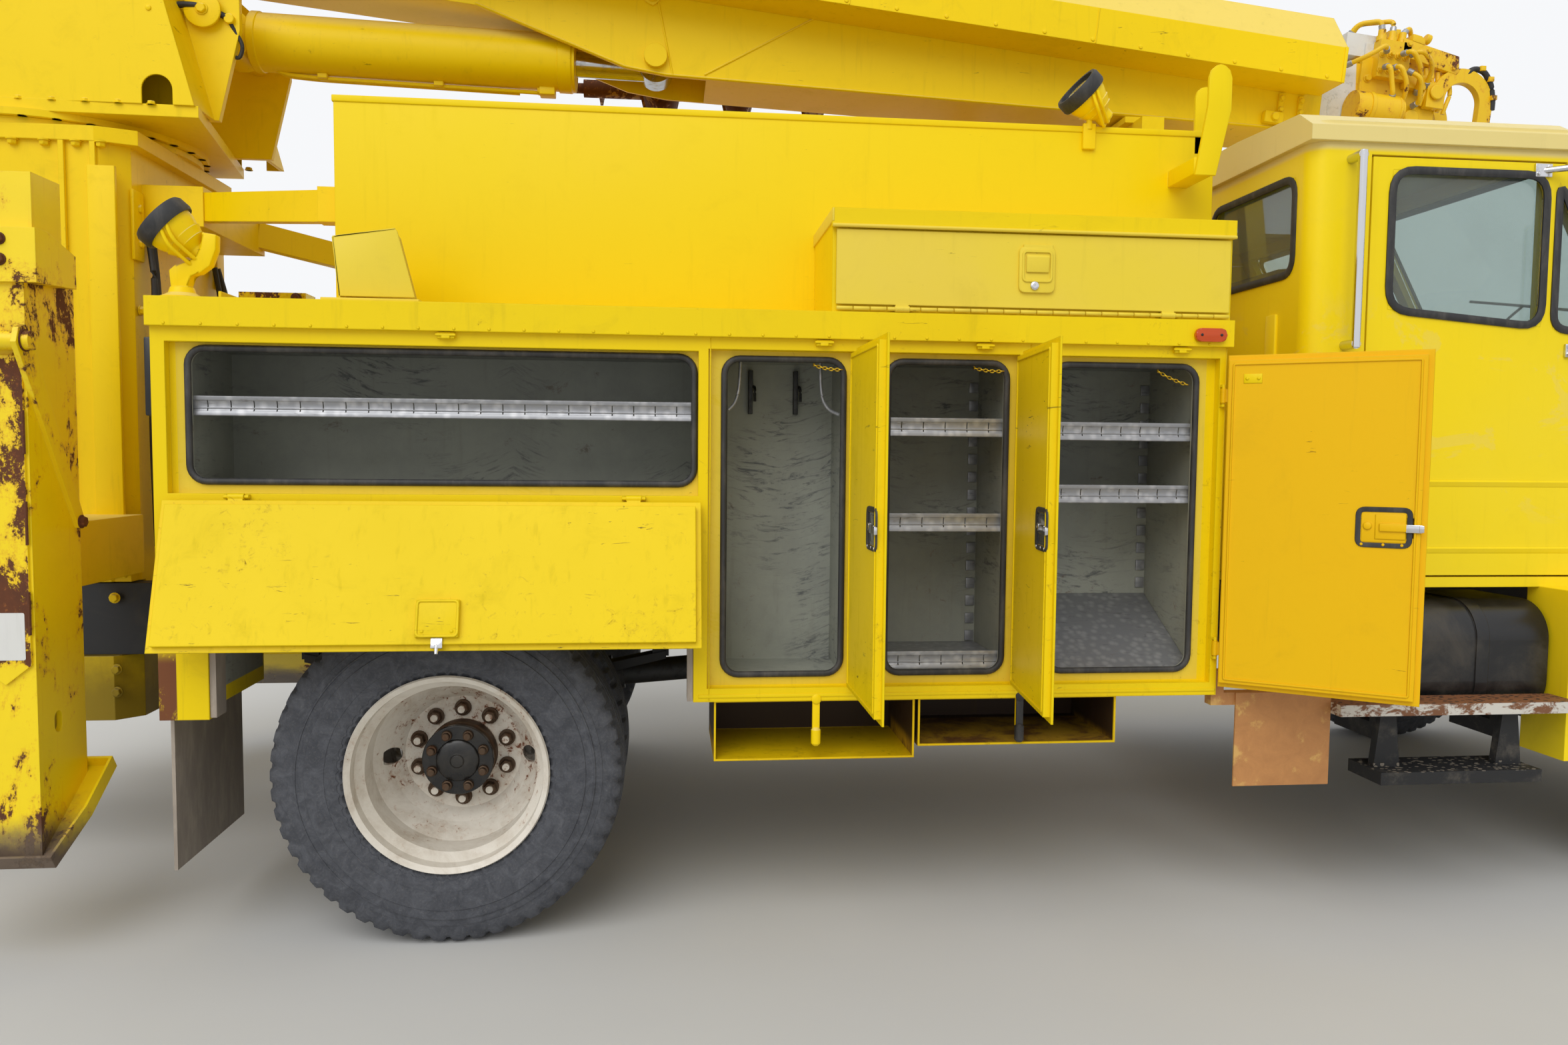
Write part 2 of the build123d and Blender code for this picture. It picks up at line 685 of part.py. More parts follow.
def make_cab_shell():
    """Hollow cab with door openings, windows and an overhanging roof."""
    outer = side_plate(CAB_SIDE, (-CAB_Y, CAB_Y))
    back_corners = outer.edges().filter_by(Axis.Z).group_by(Axis.X)[0]
    outer = fillet(back_corners, 60)
    roof = cross_plate(
        [(-CAB_Y - 18, 2492), (-CAB_Y - 18, 2540), (-CAB_Y + 60, 2592), (-600, ROOF_HIGH), (600, ROOF_HIGH),
         (CAB_Y - 60, 2592), (CAB_Y + 18, 2540), (CAB_Y + 18, 2492)],
        (CAB_BACK - 20, 3640),
    )
    roof = roof - side_plate([(3640, 2480), (3600, 2650), (3700, 2650), (3700, 2480)], (-1200, 1200))
    w = CAB_WALL
    inside = side_plate(
        [(CAB_BACK + w, CAB_LOW + w), (CAB_BACK + w, 2560 - w), (3590 - 24, 2560 - w),
         (3960 - w - 4, 1880), (3990 - w, 1300), (3990 - w, CAB_LOW + w)],
        (-CAB_Y + w, CAB_Y - w),
    )
    shell = outer + roof - inside
    gap = CLEAR
    hole = [(2915 - gap, 1085 - gap), (2915 - gap, 2450 + gap), (3590 + gap, 2450 + gap),
            (3852 + gap, 1935 + gap), (3852 + gap, 1085 - gap)]
    for y in ((-CAB_Y - 10, -CAB_Y + w + 10), (CAB_Y - w - 10, CAB_Y + 10)):
        shell -= side_plate(hole, y)
    for y in REAR_WINDOWS:
        shell -= block((CAB_BACK - 10, CAB_BACK + w + 10), y, REAR_WINDOW_Z)
    for y in WINDSCREENS:
        shell -= side_plate(WINDSCREEN_CUT, y)
    for bracket, sleeve in cab_door_hinges():
        shell = shell + bracket + mirrored(bracket)
    foot_y = (-RAIL_OUTER_Y, -RAIL_OUTER_Y + RAIL_WIDTH)
    for x in (2790, 3840):
        foot = block((x - 45, x + 45), foot_y, (RAIL_HIGH + SEAT_GAP, CAB_LOW + 2))
        shell = shell + foot + mirrored(foot)
    return shell + make_fender_tails()


def wheel_arch():
    """The room of the front wheels, cut from all sheet metal around them."""
    x, r = WHEEL_BASE, ARCH_CLEAR_RADIUS
    low = block((x - r, x + r), (-1300, 1300), (300, AXLE_Z))
    return rod((x, -1300, AXLE_Z), (x, 1300, AXLE_Z), r) + low


def make_fender_tails():
    """The rear ends of the fenders, which stay under the cab when the hood tilts."""
    outer = side_plate(TAIL_OUTER, (-FENDER_Y[1], FENDER_Y[1]))
    inner = side_plate(TAIL_INNER, (-FENDER_Y[0], FENDER_Y[0]))
    middle = block((3500, 4050), (-TAIL_REACH_Y, TAIL_REACH_Y), (300, 1100))
    return outer - inner - middle - wheel_arch()


def make_cab_glass():
    """Windscreen halves and rear panes, each set just inside its opening."""
    panes = []
    for y in REAR_WINDOWS:
        inset = (y[0] + SEAT_GAP, y[1] - SEAT_GAP)
        high = (REAR_WINDOW_Z[0] + SEAT_GAP, REAR_WINDOW_Z[1] - SEAT_GAP)
        panes.append(block((CAB_BACK + 12, CAB_BACK + 12 + GLASS), inset, high))
    for y in WINDSCREENS:
        inset = (y[0] + SEAT_GAP, y[1] - SEAT_GAP)
        panes.append(side_plate([(3622, 2474.6), (3629, 2474.6), (3917, 1925.4), (3910, 1925.4)], inset))
    return panes


def make_cab_interior():
    """Seats, dashboard and steering wheel."""
    pieces = []
    floor = CAB_LOW + CAB_WALL
    for y in (-480, 480):
        seat = [(2960, floor + 300), (2930, floor + 420), (3430, floor + 440), (3440, floor + 320)]
        rest = [(2930, floor + 410), (2800, floor + 1050), (2890, floor + 1060), (3040, floor + 425)]
        cushion = side_plate(seat, (y - 240, y + 240))
        back = side_plate(rest, (y - 230, y + 230))
        base = block((2990, 3360), (y - 180, y + 180), (floor, floor + 315))
        pieces.append(fused([cushion, back, base]))
    dash = side_plate(
        [(3925, floor + 330), (3700, floor + 420), (3620, floor + 620), (3660, floor + 760),
         (3800, floor + 800), (3890, floor + 790), (3905, floor + 600)],
        (-CAB_Y + CAB_WALL + 25, CAB_Y - CAB_WALL - 25),
    )
    reach = CAB_Y - CAB_WALL - SEAT_GAP
    dash = dash + block((3868, 3900), (-reach, reach), (floor + 560, floor + 700))
    column = rod((3700, 480, floor + 560), (3480, 480, floor + 740), 26)
    wheel = Plane((3480, 480, floor + 740), z_dir=(-0.77, 0, 0.63)) * Torus(225, 14)
    spokes = bar((3480, 265, floor + 740), (3480, 695, floor + 740), 26, 20)
    pieces.append(fused([dash, column, wheel, spokes]))
    return pieces


def cab_door_hinges():
    """Brackets and sleeves of the right cab door."""
    x, y = CAB_DOOR_HINGE
    made = []
    for z in CAB_HINGE_Z:
        pin = rod((x, -y, z - 45), (x, -y, z + 45), 6)
        bracket = pin
        for end in (-1, 1):
            zs = tuple(sorted((z + end * 34, z + end * 45)))
            bracket += block((x - 2, x + 16), (-y - 8, -CAB_Y + 2), zs)
        sleeve = tube((x, -y, z - 30), (x, -y, z + 30), 11, 6 + SHAFT_GAP)
        leaf = block((x - 30, x - 7), (-y - 4, -CAB_Y + 2), (z - 28, z + 28))
        made.append((bracket, sleeve + leaf))
    return made


def make_cab_door(side):
    """Cab door with its window holes and a mirror on chrome arms, drawn on the right side."""
    t = CAB_DOOR_THICK
    door = side_plate(CAB_DOOR, (-CAB_Y, -CAB_Y + t))
    door -= side_plate(DOOR_WINDOW, (-CAB_Y - 10, -CAB_Y + t + 10))
    door -= side_plate(VENT_WINDOW, (-CAB_Y - 10, -CAB_Y + t + 10))
    mirror_x = 3790
    arms = [
        rod((3500, -CAB_Y + 12, 2425), (mirror_x, -CAB_Y - 250, 2425), 9),
        rod((mirror_x, -CAB_Y - 250, 1815), (mirror_x, -CAB_Y - 250, 2443), 13),
        rod((3640, -CAB_Y + 12, 1838), (mirror_x, -CAB_Y - 250, 1838), 9),
        block((mirror_x - 20, mirror_x + 25), (-CAB_Y - 350, -CAB_Y - 160), (1900, 2330)),
    ]
    handle = block((2945, 3065), (-CAB_Y - 22, -CAB_Y + 2), (1690, 1722))
    whole = fused([door] + arms + [handle] + [sleeve for bracket, sleeve in cab_door_hinges()])
    return whole if side < 0 else mirrored(whole)


def make_door_glass(side):
    """Window and vent pane of a cab door, drawn on the right side."""
    y = (-CAB_Y + 16, -CAB_Y + 16 + GLASS)
    g = SEAT_GAP
    window = [(2985 + g, 1960), (2985 + g, 2410 - g), (3530 - g, 2410 - g), (3530 - g, 1915 + 2 * g)]
    vent = [(3575 + g, 1910 + g), (3575 + g, 2389), (3795 - g, 1949), (3795 - g, 1895 + 2 * g)]
    panes = [side_plate(window, y), side_plate(vent, y)]
    return panes if side < 0 else [mirrored(p) for p in panes]


def hood_section(x, half_low, half_high, half_top, low, shoulder, high):
    """One cross section of the hood."""
    points = [(-half_low, low), (-half_high, shoulder), (-half_top, high), (half_top, high),
              (half_high, shoulder), (half_low, low)]
    return make_face(Polyline(*[(x, y, z) for y, z in points], close=True))


def make_hood():
    """Tilting hood with grille opening, fenders and headlamp housings."""
    crown_out = loft([hood_section(HOOD_REAR, 850, 800, 640, 1250, 1730, 1850),
                      hood_section(5330, 690, 650, 520, 1000, 1450, 1560)], ruled=True)
    crown_in = loft([hood_section(3990, 825, 775, 620, 1240, 1710, 1825),
                     hood_section(5345, 665, 625, 500, 990, 1425, 1535)], ruled=True)
    fenders = side_plate(FENDER_OUTER, (-FENDER_Y[1], FENDER_Y[1]))
    fenders = fenders - side_plate(FENDER_INNER, (-FENDER_Y[0], FENDER_Y[0])) - wheel_arch()
    passage = block((3990, 5345), (-660, 660), (900, 1400))
    hood = (fenders + crown_out) - crown_in - passage
    y, (low, high) = GRILLE_Y, GRILLE_Z
    bar_places = range(low + GRILLE_BAR_PITCH, high, GRILLE_BAR_PITCH)
    bars = [block((5352, 5392), (-y, y), (z, z + 22)) for z in bar_places]
    frame = block((5340, 5392), (-y - 40, y + 40), (low - 40, high + 40))
    frame = frame - block((5330, 5400), (-y, y), (low, high))
    mouth = block((5300, 5330), (-y, y), (low, high))
    lamp_y, lamp_z, lamp_radius = HEADLAMP
    lamps = pair(rod((5380, -lamp_y, lamp_z), (5408, -lamp_y, lamp_z), lamp_radius))
    x, z = HOOD_PIVOT
    arms = []
    for side in (-1, 1):
        y = tuple(sorted((side * (RAIL_OUTER_Y + 20), side * (RAIL_OUTER_Y + 48))))
        arm = rod((x, y[0], z), (x, y[1], z), 20) + block((x - 14, x + 40), y, (z, 790))
        arms.append(arm - rod((x, y[0] - 1, z), (x, y[1] + 1, z), HOOD_PIN_RADIUS + SHAFT_GAP))
    return fused([hood - mouth, frame] + bars + lamps + arms)


def make_bumper():
    """Front bumper with its two towing eyes and brackets back to the frame."""
    face = flat_plate(
        [(5300, -1200), (5400, -1200), (FRONT_END, -1000), (FRONT_END, 1000), (5400, 1200), (5300, 1200),
         (5340, 1000), (5360, 0), (5340, -1000)],
        (470, 620),
    )
    pieces = [face]
    for side in (-1, 1):
        y = sorted((side * 360, side * 400))
        top = RAIL_LOW - SEAT_GAP
        bracket = [(5250, 560), (5200, top), (5270, top), (5330, 625), (5370, 600), (5370, 500)]
        pieces.append(side_plate(bracket, tuple(y)))
    return fused(pieces)


def compartment_cavities():
    """The hollow of each compartment of the right body, wider behind its front frame."""
    back = -BODY_INNER_Y - BODY_SKIN
    front = -BODY_Y + SEAT_DEPTH
    cavities = []
    for hinge, width, angle, low, high in SIDE_DOORS.values():
        x = (low - CAVITY_WIDER, high + CAVITY_WIDER)
        z = (OPENING_LOW, OPENING_HIGH)
        cavities.append(rounded_block((low, high), (-BODY_Y - 5, back), z, OPENING_CORNER))
        cavities.append(block(x, (front + 12, back), (OPENING_LOW - 30, OPENING_HIGH + 20)))
    x, z = FLIP_OPENING_X, FLIP_OPENING_Z
    cavities.append(rounded_block(x, (-BODY_Y - 5, back), z, OPENING_CORNER))
    cavities.append(block((x[0] - CAVITY_WIDER, x[1] + 20), (front + 12, back), (z[0] - 20, z[1] + 20)))
    return cavities


def door_recesses():
    """The step that each closed door's inner pan fills."""
    depth = (-BODY_Y - 5, -BODY_Y + SEAT_DEPTH)
    margin = DOOR_LIP - 8
    cuts = []
    for hinge, width, angle, low, high in SIDE_DOORS.values():
        x = (hinge - width + margin, hinge - margin)
        cuts.append(block(x, depth, (DOOR_LOW + margin, DOOR_HIGH - margin)))
    x, z = (FLIP_X[0] + margin, FLIP_X[1] - margin), (FLIP_Z[0] + margin, FLIP_Z[1] - margin)
    cuts.append(block(x, depth, z))
    return cuts


def make_side_body():
    """Right service body: compartments, wheel arch, top strip and the box on top."""
    body = block((BODY_REAR, BODY_FRONT), (-BODY_Y, -BODY_INNER_Y), (BODY_LOW, BODY_TOP))
    leg = block((BODY_REAR, -650), (-BODY_Y, -1150), (700, BODY_LOW + 5))
    strip_y = (-BODY_Y - STRIP_PROUD, -BODY_Y + 5)
    strip = block((BODY_REAR - 5, BODY_FRONT + 11), strip_y, (RAIL_STRIP_LOW, BODY_TOP))
    body = fused([body, leg, strip])
    body -= side_plate(ARCH, (-BODY_Y - 30, -BODY_INNER_Y + 10))
    for cut in compartment_cavities() + door_recesses():
        body -= cut
    (x0, x1), back, w = TOP_BOX_X, -BODY_INNER_Y - 25, TOP_BOX_WALL
    box = block(TOP_BOX_X, (-BODY_Y, back), (BODY_TOP, TOP_BOX_HIGH))
    box -= block((x0 + w, x1 - w), (-BODY_Y + w, back - w), (BODY_TOP + w, TOP_BOX_HIGH - w))
    box -= block((x0 + 32, x1 - 32), (-BODY_Y - 5, -BODY_Y + w + 5), TOP_BOX_OPENING_Z)
    lip = block((x0 - 4, x1 + 4), (-BODY_Y - 18, -BODY_Y + 2), (TOP_BOX_LIP, TOP_BOX_HIGH))
    hinges = [side_door_hinges(name) for name in SIDE_DOORS] + [flip_door_hinges(), top_door_hinges()]
    brackets = [bracket for group in hinges for bracket, sleeve in group]
    return fused([body, box, lip] + brackets)


def side_door_hinges(name):
    """Brackets and sleeves of an upright door, closed."""
    hinge = SIDE_DOORS[name][0]
    return [hinge_parts((hinge, HINGE_Y, z), (0, 0, 1), (-1, 0, 0), 13)
            for z in SIDE_HINGE_Z]


def flip_door_hinges():
    """Brackets and sleeves of the long door over the wheel, closed."""
    return [hinge_parts((x, HINGE_Y, FLIP_Z[0]), (1, 0, 0), (0, 0, 1), 13) for x in FLIP_HINGE_X]


def top_door_hinges():
    """Brackets and sleeves of the drop door, closed."""
    return [hinge_parts((x, HINGE_Y, TOP_HINGE_Z), (1, 0, 0), (0, 0, 1), 13) for x in TOP_HINGE_X]


def make_side_door(name):
    """An upright door of the right body, open as it stands."""
    hinge, width, angle, low, high = SIDE_DOORS[name]
    outer = -BODY_Y - CLEAR
    skin = block((hinge - width, hinge - HINGE_EDGE), (outer - DOOR_SKIN, outer), (DOOR_LOW, DOOR_HIGH))
    pan = block((hinge - width + DOOR_LIP, hinge - DOOR_LIP), (outer, outer + DOOR_PAN),
                (DOOR_LOW + DOOR_LIP, DOOR_HIGH - DOOR_LIP))
    latch_x = hinge - width + DOOR_LIP + 12
    pocket = block((latch_x, latch_x + 84), (outer + 4, outer + DOOR_PAN + 5), (1246, 1304))
    latch = block((latch_x + 14, latch_x + 76), (outer + 2, outer + DOOR_PAN - 4), (1260, 1290))
    door = skin + pan - pocket + latch
    for bracket, sleeve in side_door_hinges(name):
        door += sleeve
    return opened(door, (hinge, HINGE_Y, 0), (0, 0, 1), angle)


def make_flip_door():
    """The long door over the wheel, hanging open."""
    outer = -BODY_Y - CLEAR
    low = FLIP_Z[0] + HINGE_EDGE
    skin = block(FLIP_X, (outer - DOOR_SKIN, outer), (low, FLIP_Z[1]))
    pan = block((FLIP_X[0] + DOOR_LIP, FLIP_X[1] - DOOR_LIP), (outer, outer + DOOR_PAN),
                (low + DOOR_LIP, FLIP_Z[1] - DOOR_LIP))
    middle = (FLIP_X[0] + FLIP_X[1]) / 2 + 20
    latch_y = (outer + DOOR_PAN - 1, outer + DOOR_PAN + 12)
    latch = block((middle - 58, middle + 58), latch_y, (FLIP_Z[1] - 138, FLIP_Z[1] - 34))
    door = fused([skin, pan, latch] + [sleeve for bracket, sleeve in flip_door_hinges()])
    return opened(door, (0, HINGE_Y, FLIP_Z[0]), (1, 0, 0), FLIP_OPEN)


def make_top_box_door():
    """The drop door of the box on top of the body, closed."""
    outer = -BODY_Y - CLEAR
    x, z = (TOP_BOX_X[0] + 10, TOP_BOX_X[1] - 10), (TOP_HINGE_Z + HINGE_EDGE, TOP_BOX_LIP - CLEAR)
    skin = block(x, (outer - DOOR_SKIN, outer), z)
    pan = block((x[0] + 30, x[1] - 30), (outer, outer + 14), (z[0] + 30, z[1] - 22))
    middle = (x[0] + x[1]) / 2
    latch = block((middle - 45, middle + 45), (outer - DOOR_SKIN - 8, outer), (1978, 2098))
    return fused([skin, pan, latch] + [sleeve for bracket, sleeve in top_door_hinges()])


def make_shelves():
    """Galvanised shelves, the slanted bottom plate and the hooks of the right compartments."""
    back, front = -BODY_INNER_Y - BODY_SKIN - SEAT_GAP, -BODY_Y + SEAT_DEPTH + 14
    spans = []
    for door, z in SHELF_ROWS:
        low, high = SIDE_DOORS[door][3:5]
        spans.append((low - CAVITY_WIDER, high + CAVITY_WIDER, z))
    spans.append((FLIP_OPENING_X[0] - CAVITY_WIDER, FLIP_OPENING_X[1] + 20, FLIP_SHELF_Z))
    shelves = []
    for low, high, z in spans:
        x = (low + SEAT_GAP, high - SEAT_GAP)
        tray = block(x, (front, back), (z - SHELF_THICK, z))
        lip = block(x, (front, front + SHELF_THICK), (z - SHELF_LIP, z + SHELF_LIP))
        shelves.append(tray + lip)
    low, high = SIDE_DOORS["front_side_door"][3:5]
    slope = cross_plate([(front, 800), (front, 806), (back, 1000), (back, 994)],
                        (low - CAVITY_WIDER + SEAT_GAP, high + CAVITY_WIDER - SEAT_GAP))
    shelves.append(slope)
    low, high = SIDE_DOORS["rear_side_door"][3:5]
    for x in (low + 60, high - 60):
        for y in (-1090, -930):
            seat = rod((x, y, 1730), (x, y, OPENING_HIGH + 20 - SEAT_GAP), 22)
            shank = rod((x, y, 1600), (x, y, 1732), 7)
            bend = rod((x, y, 1606), (x, y - 60, 1606), 7)
            shelves.append(fused([seat, shank, bend, rod((x, y - 56, 1600), (x, y - 56, 1660), 7)]))
    return shelves


def make_seals():
    """Rubber seals around the right body's openings."""
    y = (-BODY_Y + SEAT_DEPTH - SEAL_THICK, -BODY_Y + SEAT_DEPTH - SEAT_GAP)
    seals = []
    openings = [((row[3], row[4]), (OPENING_LOW, OPENING_HIGH)) for row in SIDE_DOORS.values()]
    openings.append((FLIP_OPENING_X, FLIP_OPENING_Z))
    w = SEAL_WIDTH
    for x, z in openings:
        ring = rounded_block((x[0] - w, x[1] + w), y, (z[0] - w, z[1] + w), OPENING_CORNER + w)
        seals.append(ring - rounded_block(x, (y[0] - 5, y[1] + 5), z, OPENING_CORNER))
    return seals


def make_trays():
    """Open channels slung under the right body."""
    trays = []
    y, w, high = TRAY_Y, TRAY_WALL, BODY_LOW - SEAT_GAP
    for x, low in TRAY_ROWS:
        tray = block(x, y, (low, high))
        tray -= block((x[0] + w, x[1] - w), (y[0] - 30, y[1] - w), (low + w, high - w))
        latch_x = (x[0] + x[1]) / 2
        trays.append(tray + block((latch_x - 10, latch_x + 10), (y[0] - 12, y[0] + 2), (low + 60, high)))
    return trays


def make_flaps():
    """Mud flaps behind the rear wheels, the splash plates ahead and the rubber arch flares."""
    flap = block((BODY_REAR, BODY_REAR + 10), (-1150, -640), (240, 700)) + block(
        (BODY_REAR, BODY_REAR + 30), (-1150, -BODY_INNER_Y), (690, BODY_LOW - SEAT_GAP))
    splash = block((2430, 2750), (-1196, -1190), (430, 730))
    hanger = block((2380, 2750), (-1190, -1150), (690, 730)) + block(
        (BODY_FRONT + SEAT_GAP, 2392), (-1190, -1150), (690, 800))
    rear_flare = side_plate([(-649, 705), (-649, 930), (-585, 1010), (-570, 1000), (-632, 925), (-632, 705)],
                            (-BODY_Y + 5, -BODY_Y + 75))
    front_flare = side_plate([(719, 732), (719, 930), (645, 1018), (631, 1008), (702, 925), (702, 732)],
                             (-BODY_Y + 5, -BODY_Y + 75))
    return [flap, splash + hanger, rear_flare, front_flare]


def make_deck():
    """Floor between the side bodies, its front wall and the stringers it sits on."""
    edge = BODY_INNER_Y - SEAT_GAP
    floor = block((BODY_REAR, BODY_FRONT), (-edge, edge), (DECK_Z - 8, DECK_Z))
    wall = block((BODY_FRONT - 30, BODY_FRONT), (-edge, edge), (DECK_Z, BODY_TOP))
    pieces = [floor, wall]
    for side in (-1, 1):
        y = sorted((side * (RAIL_OUTER_Y - RAIL_WIDTH), side * RAIL_OUTER_Y))
        pieces.append(block((BODY_REAR, BODY_FRONT), y, (RAIL_HIGH + SEAT_GAP, DECK_Z - 6)))
    for z in ((1870, 1890), (1830, 1836)):
        pieces.append(block(PLATFORM_X, (-edge, edge), z))
    for y in (-780, -300, 300, 745):
        pieces.append(block((PLATFORM_X[0], PLATFORM_X[0] + 60), (y, y + 35), (DECK_Z - 2, 1872)))
    return fused(pieces)


def make_side_panel():
    """Tall panel behind the top box, with its rack ears and end flange."""
    y = (-PANEL_Y[1], -PANEL_Y[0])
    panel = block(PANEL_X, y, (BODY_TOP + SEAT_GAP, PANEL_HIGH))
    flange = block((PANEL_X[0], PANEL_X[0] + 60), (y[1] - 2, y[1] + 40), (BODY_TOP + SEAT_GAP, PANEL_HIGH))
    foot = block((PANEL_X[0] - 10, PANEL_X[0] + 90), (-1215, -1110), (BODY_TOP + SEAT_GAP, BODY_TOP + 180))
    foot_outline = [(-400, 1880), (-330, 2075), (-165, 2100), (-95, 1915), (-95, 1880)]
    foot = foot & side_plate(foot_outline, (-1230, -1000))
    ear_bar = side_plate([(2330, 2380), (2368, 2600), (2368, 2690), (2392, 2728), (2422, 2728), (2446, 2690),
                          (2446, 2590), (2400, 2380)], (-1012, -1000))
    arm = block((2330, 2400), (-1001, y[0] + 2), (2385, 2440))
    inner_ear = [(2420, 2500), (2420, 2690), (2440, 2722), (2474, 2722), (2490, 2690), (2490, 2500)]
    return [fused([panel, flange, ear_bar, arm, side_plate(inner_ear, (y[0], y[0] + 12))]), foot]


def make_pedestal():
    """Column of the derrick, open where the frame rails pass, with ribs, top plate and bearing ring."""
    x, y = PEDESTAL_X, (-PEDESTAL_Y, PEDESTAL_Y)
    c = 70
    outline = [(x[0], y[0] + c), (x[0] + c, y[0]), (x[1] - c, y[0]), (x[1], y[0] + c),
               (x[1], y[1] - c), (x[1] - c, y[1]), (x[0] + c, y[1]), (x[0], y[1] - c)]
    w = PEDESTAL_WALL
    d = w * 0.42
    inner = [(x[0] + w, y[0] + c + d), (x[0] + c + d, y[0] + w), (x[1] - c - d, y[0] + w),
             (x[1] - w, y[0] + c + d), (x[1] - w, y[1] - c - d), (x[1] - c - d, y[1] - w),
             (x[0] + c + d, y[1] - w), (x[0] + w, y[1] - c - d)]
    column = flat_plate(outline, (PEDESTAL_LOW, PEDESTAL_TOP))
    column -= flat_plate(inner, (PEDESTAL_LOW - 5, PEDESTAL_TOP + 5))
    for side in (-1, 1):
        rail = sorted((side * (RAIL_OUTER_Y - RAIL_WIDTH - 5), side * (PEDESTAL_Y + 5)))
        column -= block((x[0] - 5, x[1] + 5), rail, (RAIL_LOW - 5, RAIL_HIGH + 5))
    plate_points = [(x[0] - 40, -330), (x[0] + 80, -460), (x[1] - 80, -460), (x[1] + 40, -410),
                    (x[1] + 40, 410), (x[1] - 80, 460), (x[0] + 80, 460), (x[0] - 40, 330)]
    top = flat_plate(plate_points, (PEDESTAL_TOP, PEDESTAL_TOP + TOP_PLATE))
    ring_low = PEDESTAL_TOP + TOP_PLATE
    ring = rod((TURN_X, 0, ring_low), (TURN_X, 0, ring_low + RING_HIGH / 2), RING_RADIUS - 20)
    saddle = block((x[0] + 8, x[1] - 8), (-PEDESTAL_Y + 8, PEDESTAL_Y - 8), (RAIL_HIGH + 5, RAIL_HIGH + 40))
    head = block((x[1] - 5, x[1] + 205), (-300, 300), (2255, 2395))
    pieces = [column, top, ring, saddle, head]
    for side in (-1, 1):
        pieces.append(bar((x[1] + 190, side * 250, 2330), (PANEL_X[0] - 40, side * 745, 2245), 46, 100))
        end_y = tuple(sorted((side * 725, side * 789)))
        pieces.append(block((PANEL_X[0] - 60, PANEL_X[0] - SEAT_GAP), end_y, (2190, 2300)))
    for rib in (x[1] - 195, x[1] - 95):
        for side in (-1, 1):
            pieces.append(block((rib, rib + 18), sorted((side * (PEDESTAL_Y - 4), side * (PEDESTAL_Y + 14))),
                                (RAIL_HIGH + 250, PEDESTAL_TOP)))
    return fused(pieces)


def make_outrigger_frame():
    """Cross beam ends at the pedestal's foot with the two posts that the legs slide on."""
    x, wall = LEG_X, LEG_WALL + SEAT_GAP
    reach = (-LEG_Y[0] - 40, -PEDESTAL_Y - SEAT_GAP)
    pieces = [
        block((x[0] + 60, x[1] - 60), reach, (1040, 1240)),
        block((x[0] + 45, x[1] - 45), (-LEG_Y[1] + 45, -LEG_Y[0] - 20), POST_Z),
    ]
    guide_y = (-LEG_Y[1] + wall, -LEG_Y[0] - 100)
    for z in ((POST_Z[0] + 10, POST_Z[0] + 100), (POST_Z[1] - 110, POST_Z[1] - 10)):
        pieces.append(block((x[0] + wall, x[1] - wall), guide_y, z))
    return pair(fused(pieces))


def foot_height(y):
    """Height of the right foot's upper face at a distance out, given as a negative Y."""
    return FOOT_AT[1] + (y + FOOT_AT[0]) * tan(radians(FOOT_ANGLE))


def make_foot():
    """The right leg's foot, a shallow tray drawn flat and then sloped."""
    plan = make_face(Polyline(*FOOT_PLAN, close=True))
    inside = offset(plan, amount=-FOOT_RIM)
    rim = extrude(plan, FOOT_RIM_HIGH) - extrude(inside, FOOT_RIM_HIGH)
    tray = rim + extrude(plan, FOOT_THICK, dir=(0, 0, -1))
    return Pos(0, -FOOT_AT[0], FOOT_AT[1]) * tray.rotate(Axis.X, FOOT_ANGLE)


def make_leg():
    """Right outrigger leg: a channel open toward the truck, its foot, pin, link and cylinder head."""
    x, y = LEG_X, (-LEG_Y[1], -LEG_Y[0])
    w, low = LEG_WALL, FOOT_AT[1] - 60
    leg = block(x, y, (low, LEG_TOP))
    leg -= block((x[0] + w, x[1] - w), (y[0] + w, y[1] + 5), (low - 5, LEG_TOP - w))
    ends = (y[0] - 40, y[1] + 40)
    sunk = FOOT_THICK / 2
    below = [(ends[0], foot_height(ends[0]) - sunk), (ends[1], foot_height(ends[1]) - sunk),
             (ends[1], low - 50), (ends[0], low - 50)]
    leg -= cross_plate(below, (x[0] - 5, x[1] + 5))
    slot_y, slot_low, slot_high, slot_radius = LEG_SLOT
    through = (x[1] - w - 5, x[1] + 5)
    leg -= block(through, (slot_y - slot_radius, slot_y + slot_radius), (slot_low, slot_high))
    for z in (slot_low, slot_high):
        leg -= rod((through[0], slot_y, z), (through[1], slot_y, z), slot_radius)
    plate = side_plate(WEAR_PLATE, (y[0] - WEAR_PLATE_THICK, y[0] + 1))
    collar = cross_plate(COLLAR, (x[0] - COLLAR_PROUD, x[1] + COLLAR_PROUD))
    collar -= block((x[0] + 1, x[1] - 1), (y[0] + 1, y[1] + 20), (LEG_TOP - 200, LEG_TOP - 1))
    pin_y, pin_z, pin_radius = LEG_PIN
    pin = rod((LEG_PIN_X[0], pin_y, pin_z), (LEG_PIN_X[1], pin_y, pin_z), pin_radius)
    lug = block((x[0], x[0] + 30), (pin_y - 10, y[0] + 1), (pin_z - 30, pin_z + 30))
    link = cross_plate(LINK, (x[1] - 1, x[1] + LINK_THICK))
    return fused([leg, make_foot(), plate, collar, block(*CYLINDER_HEAD), pin, lug, link])


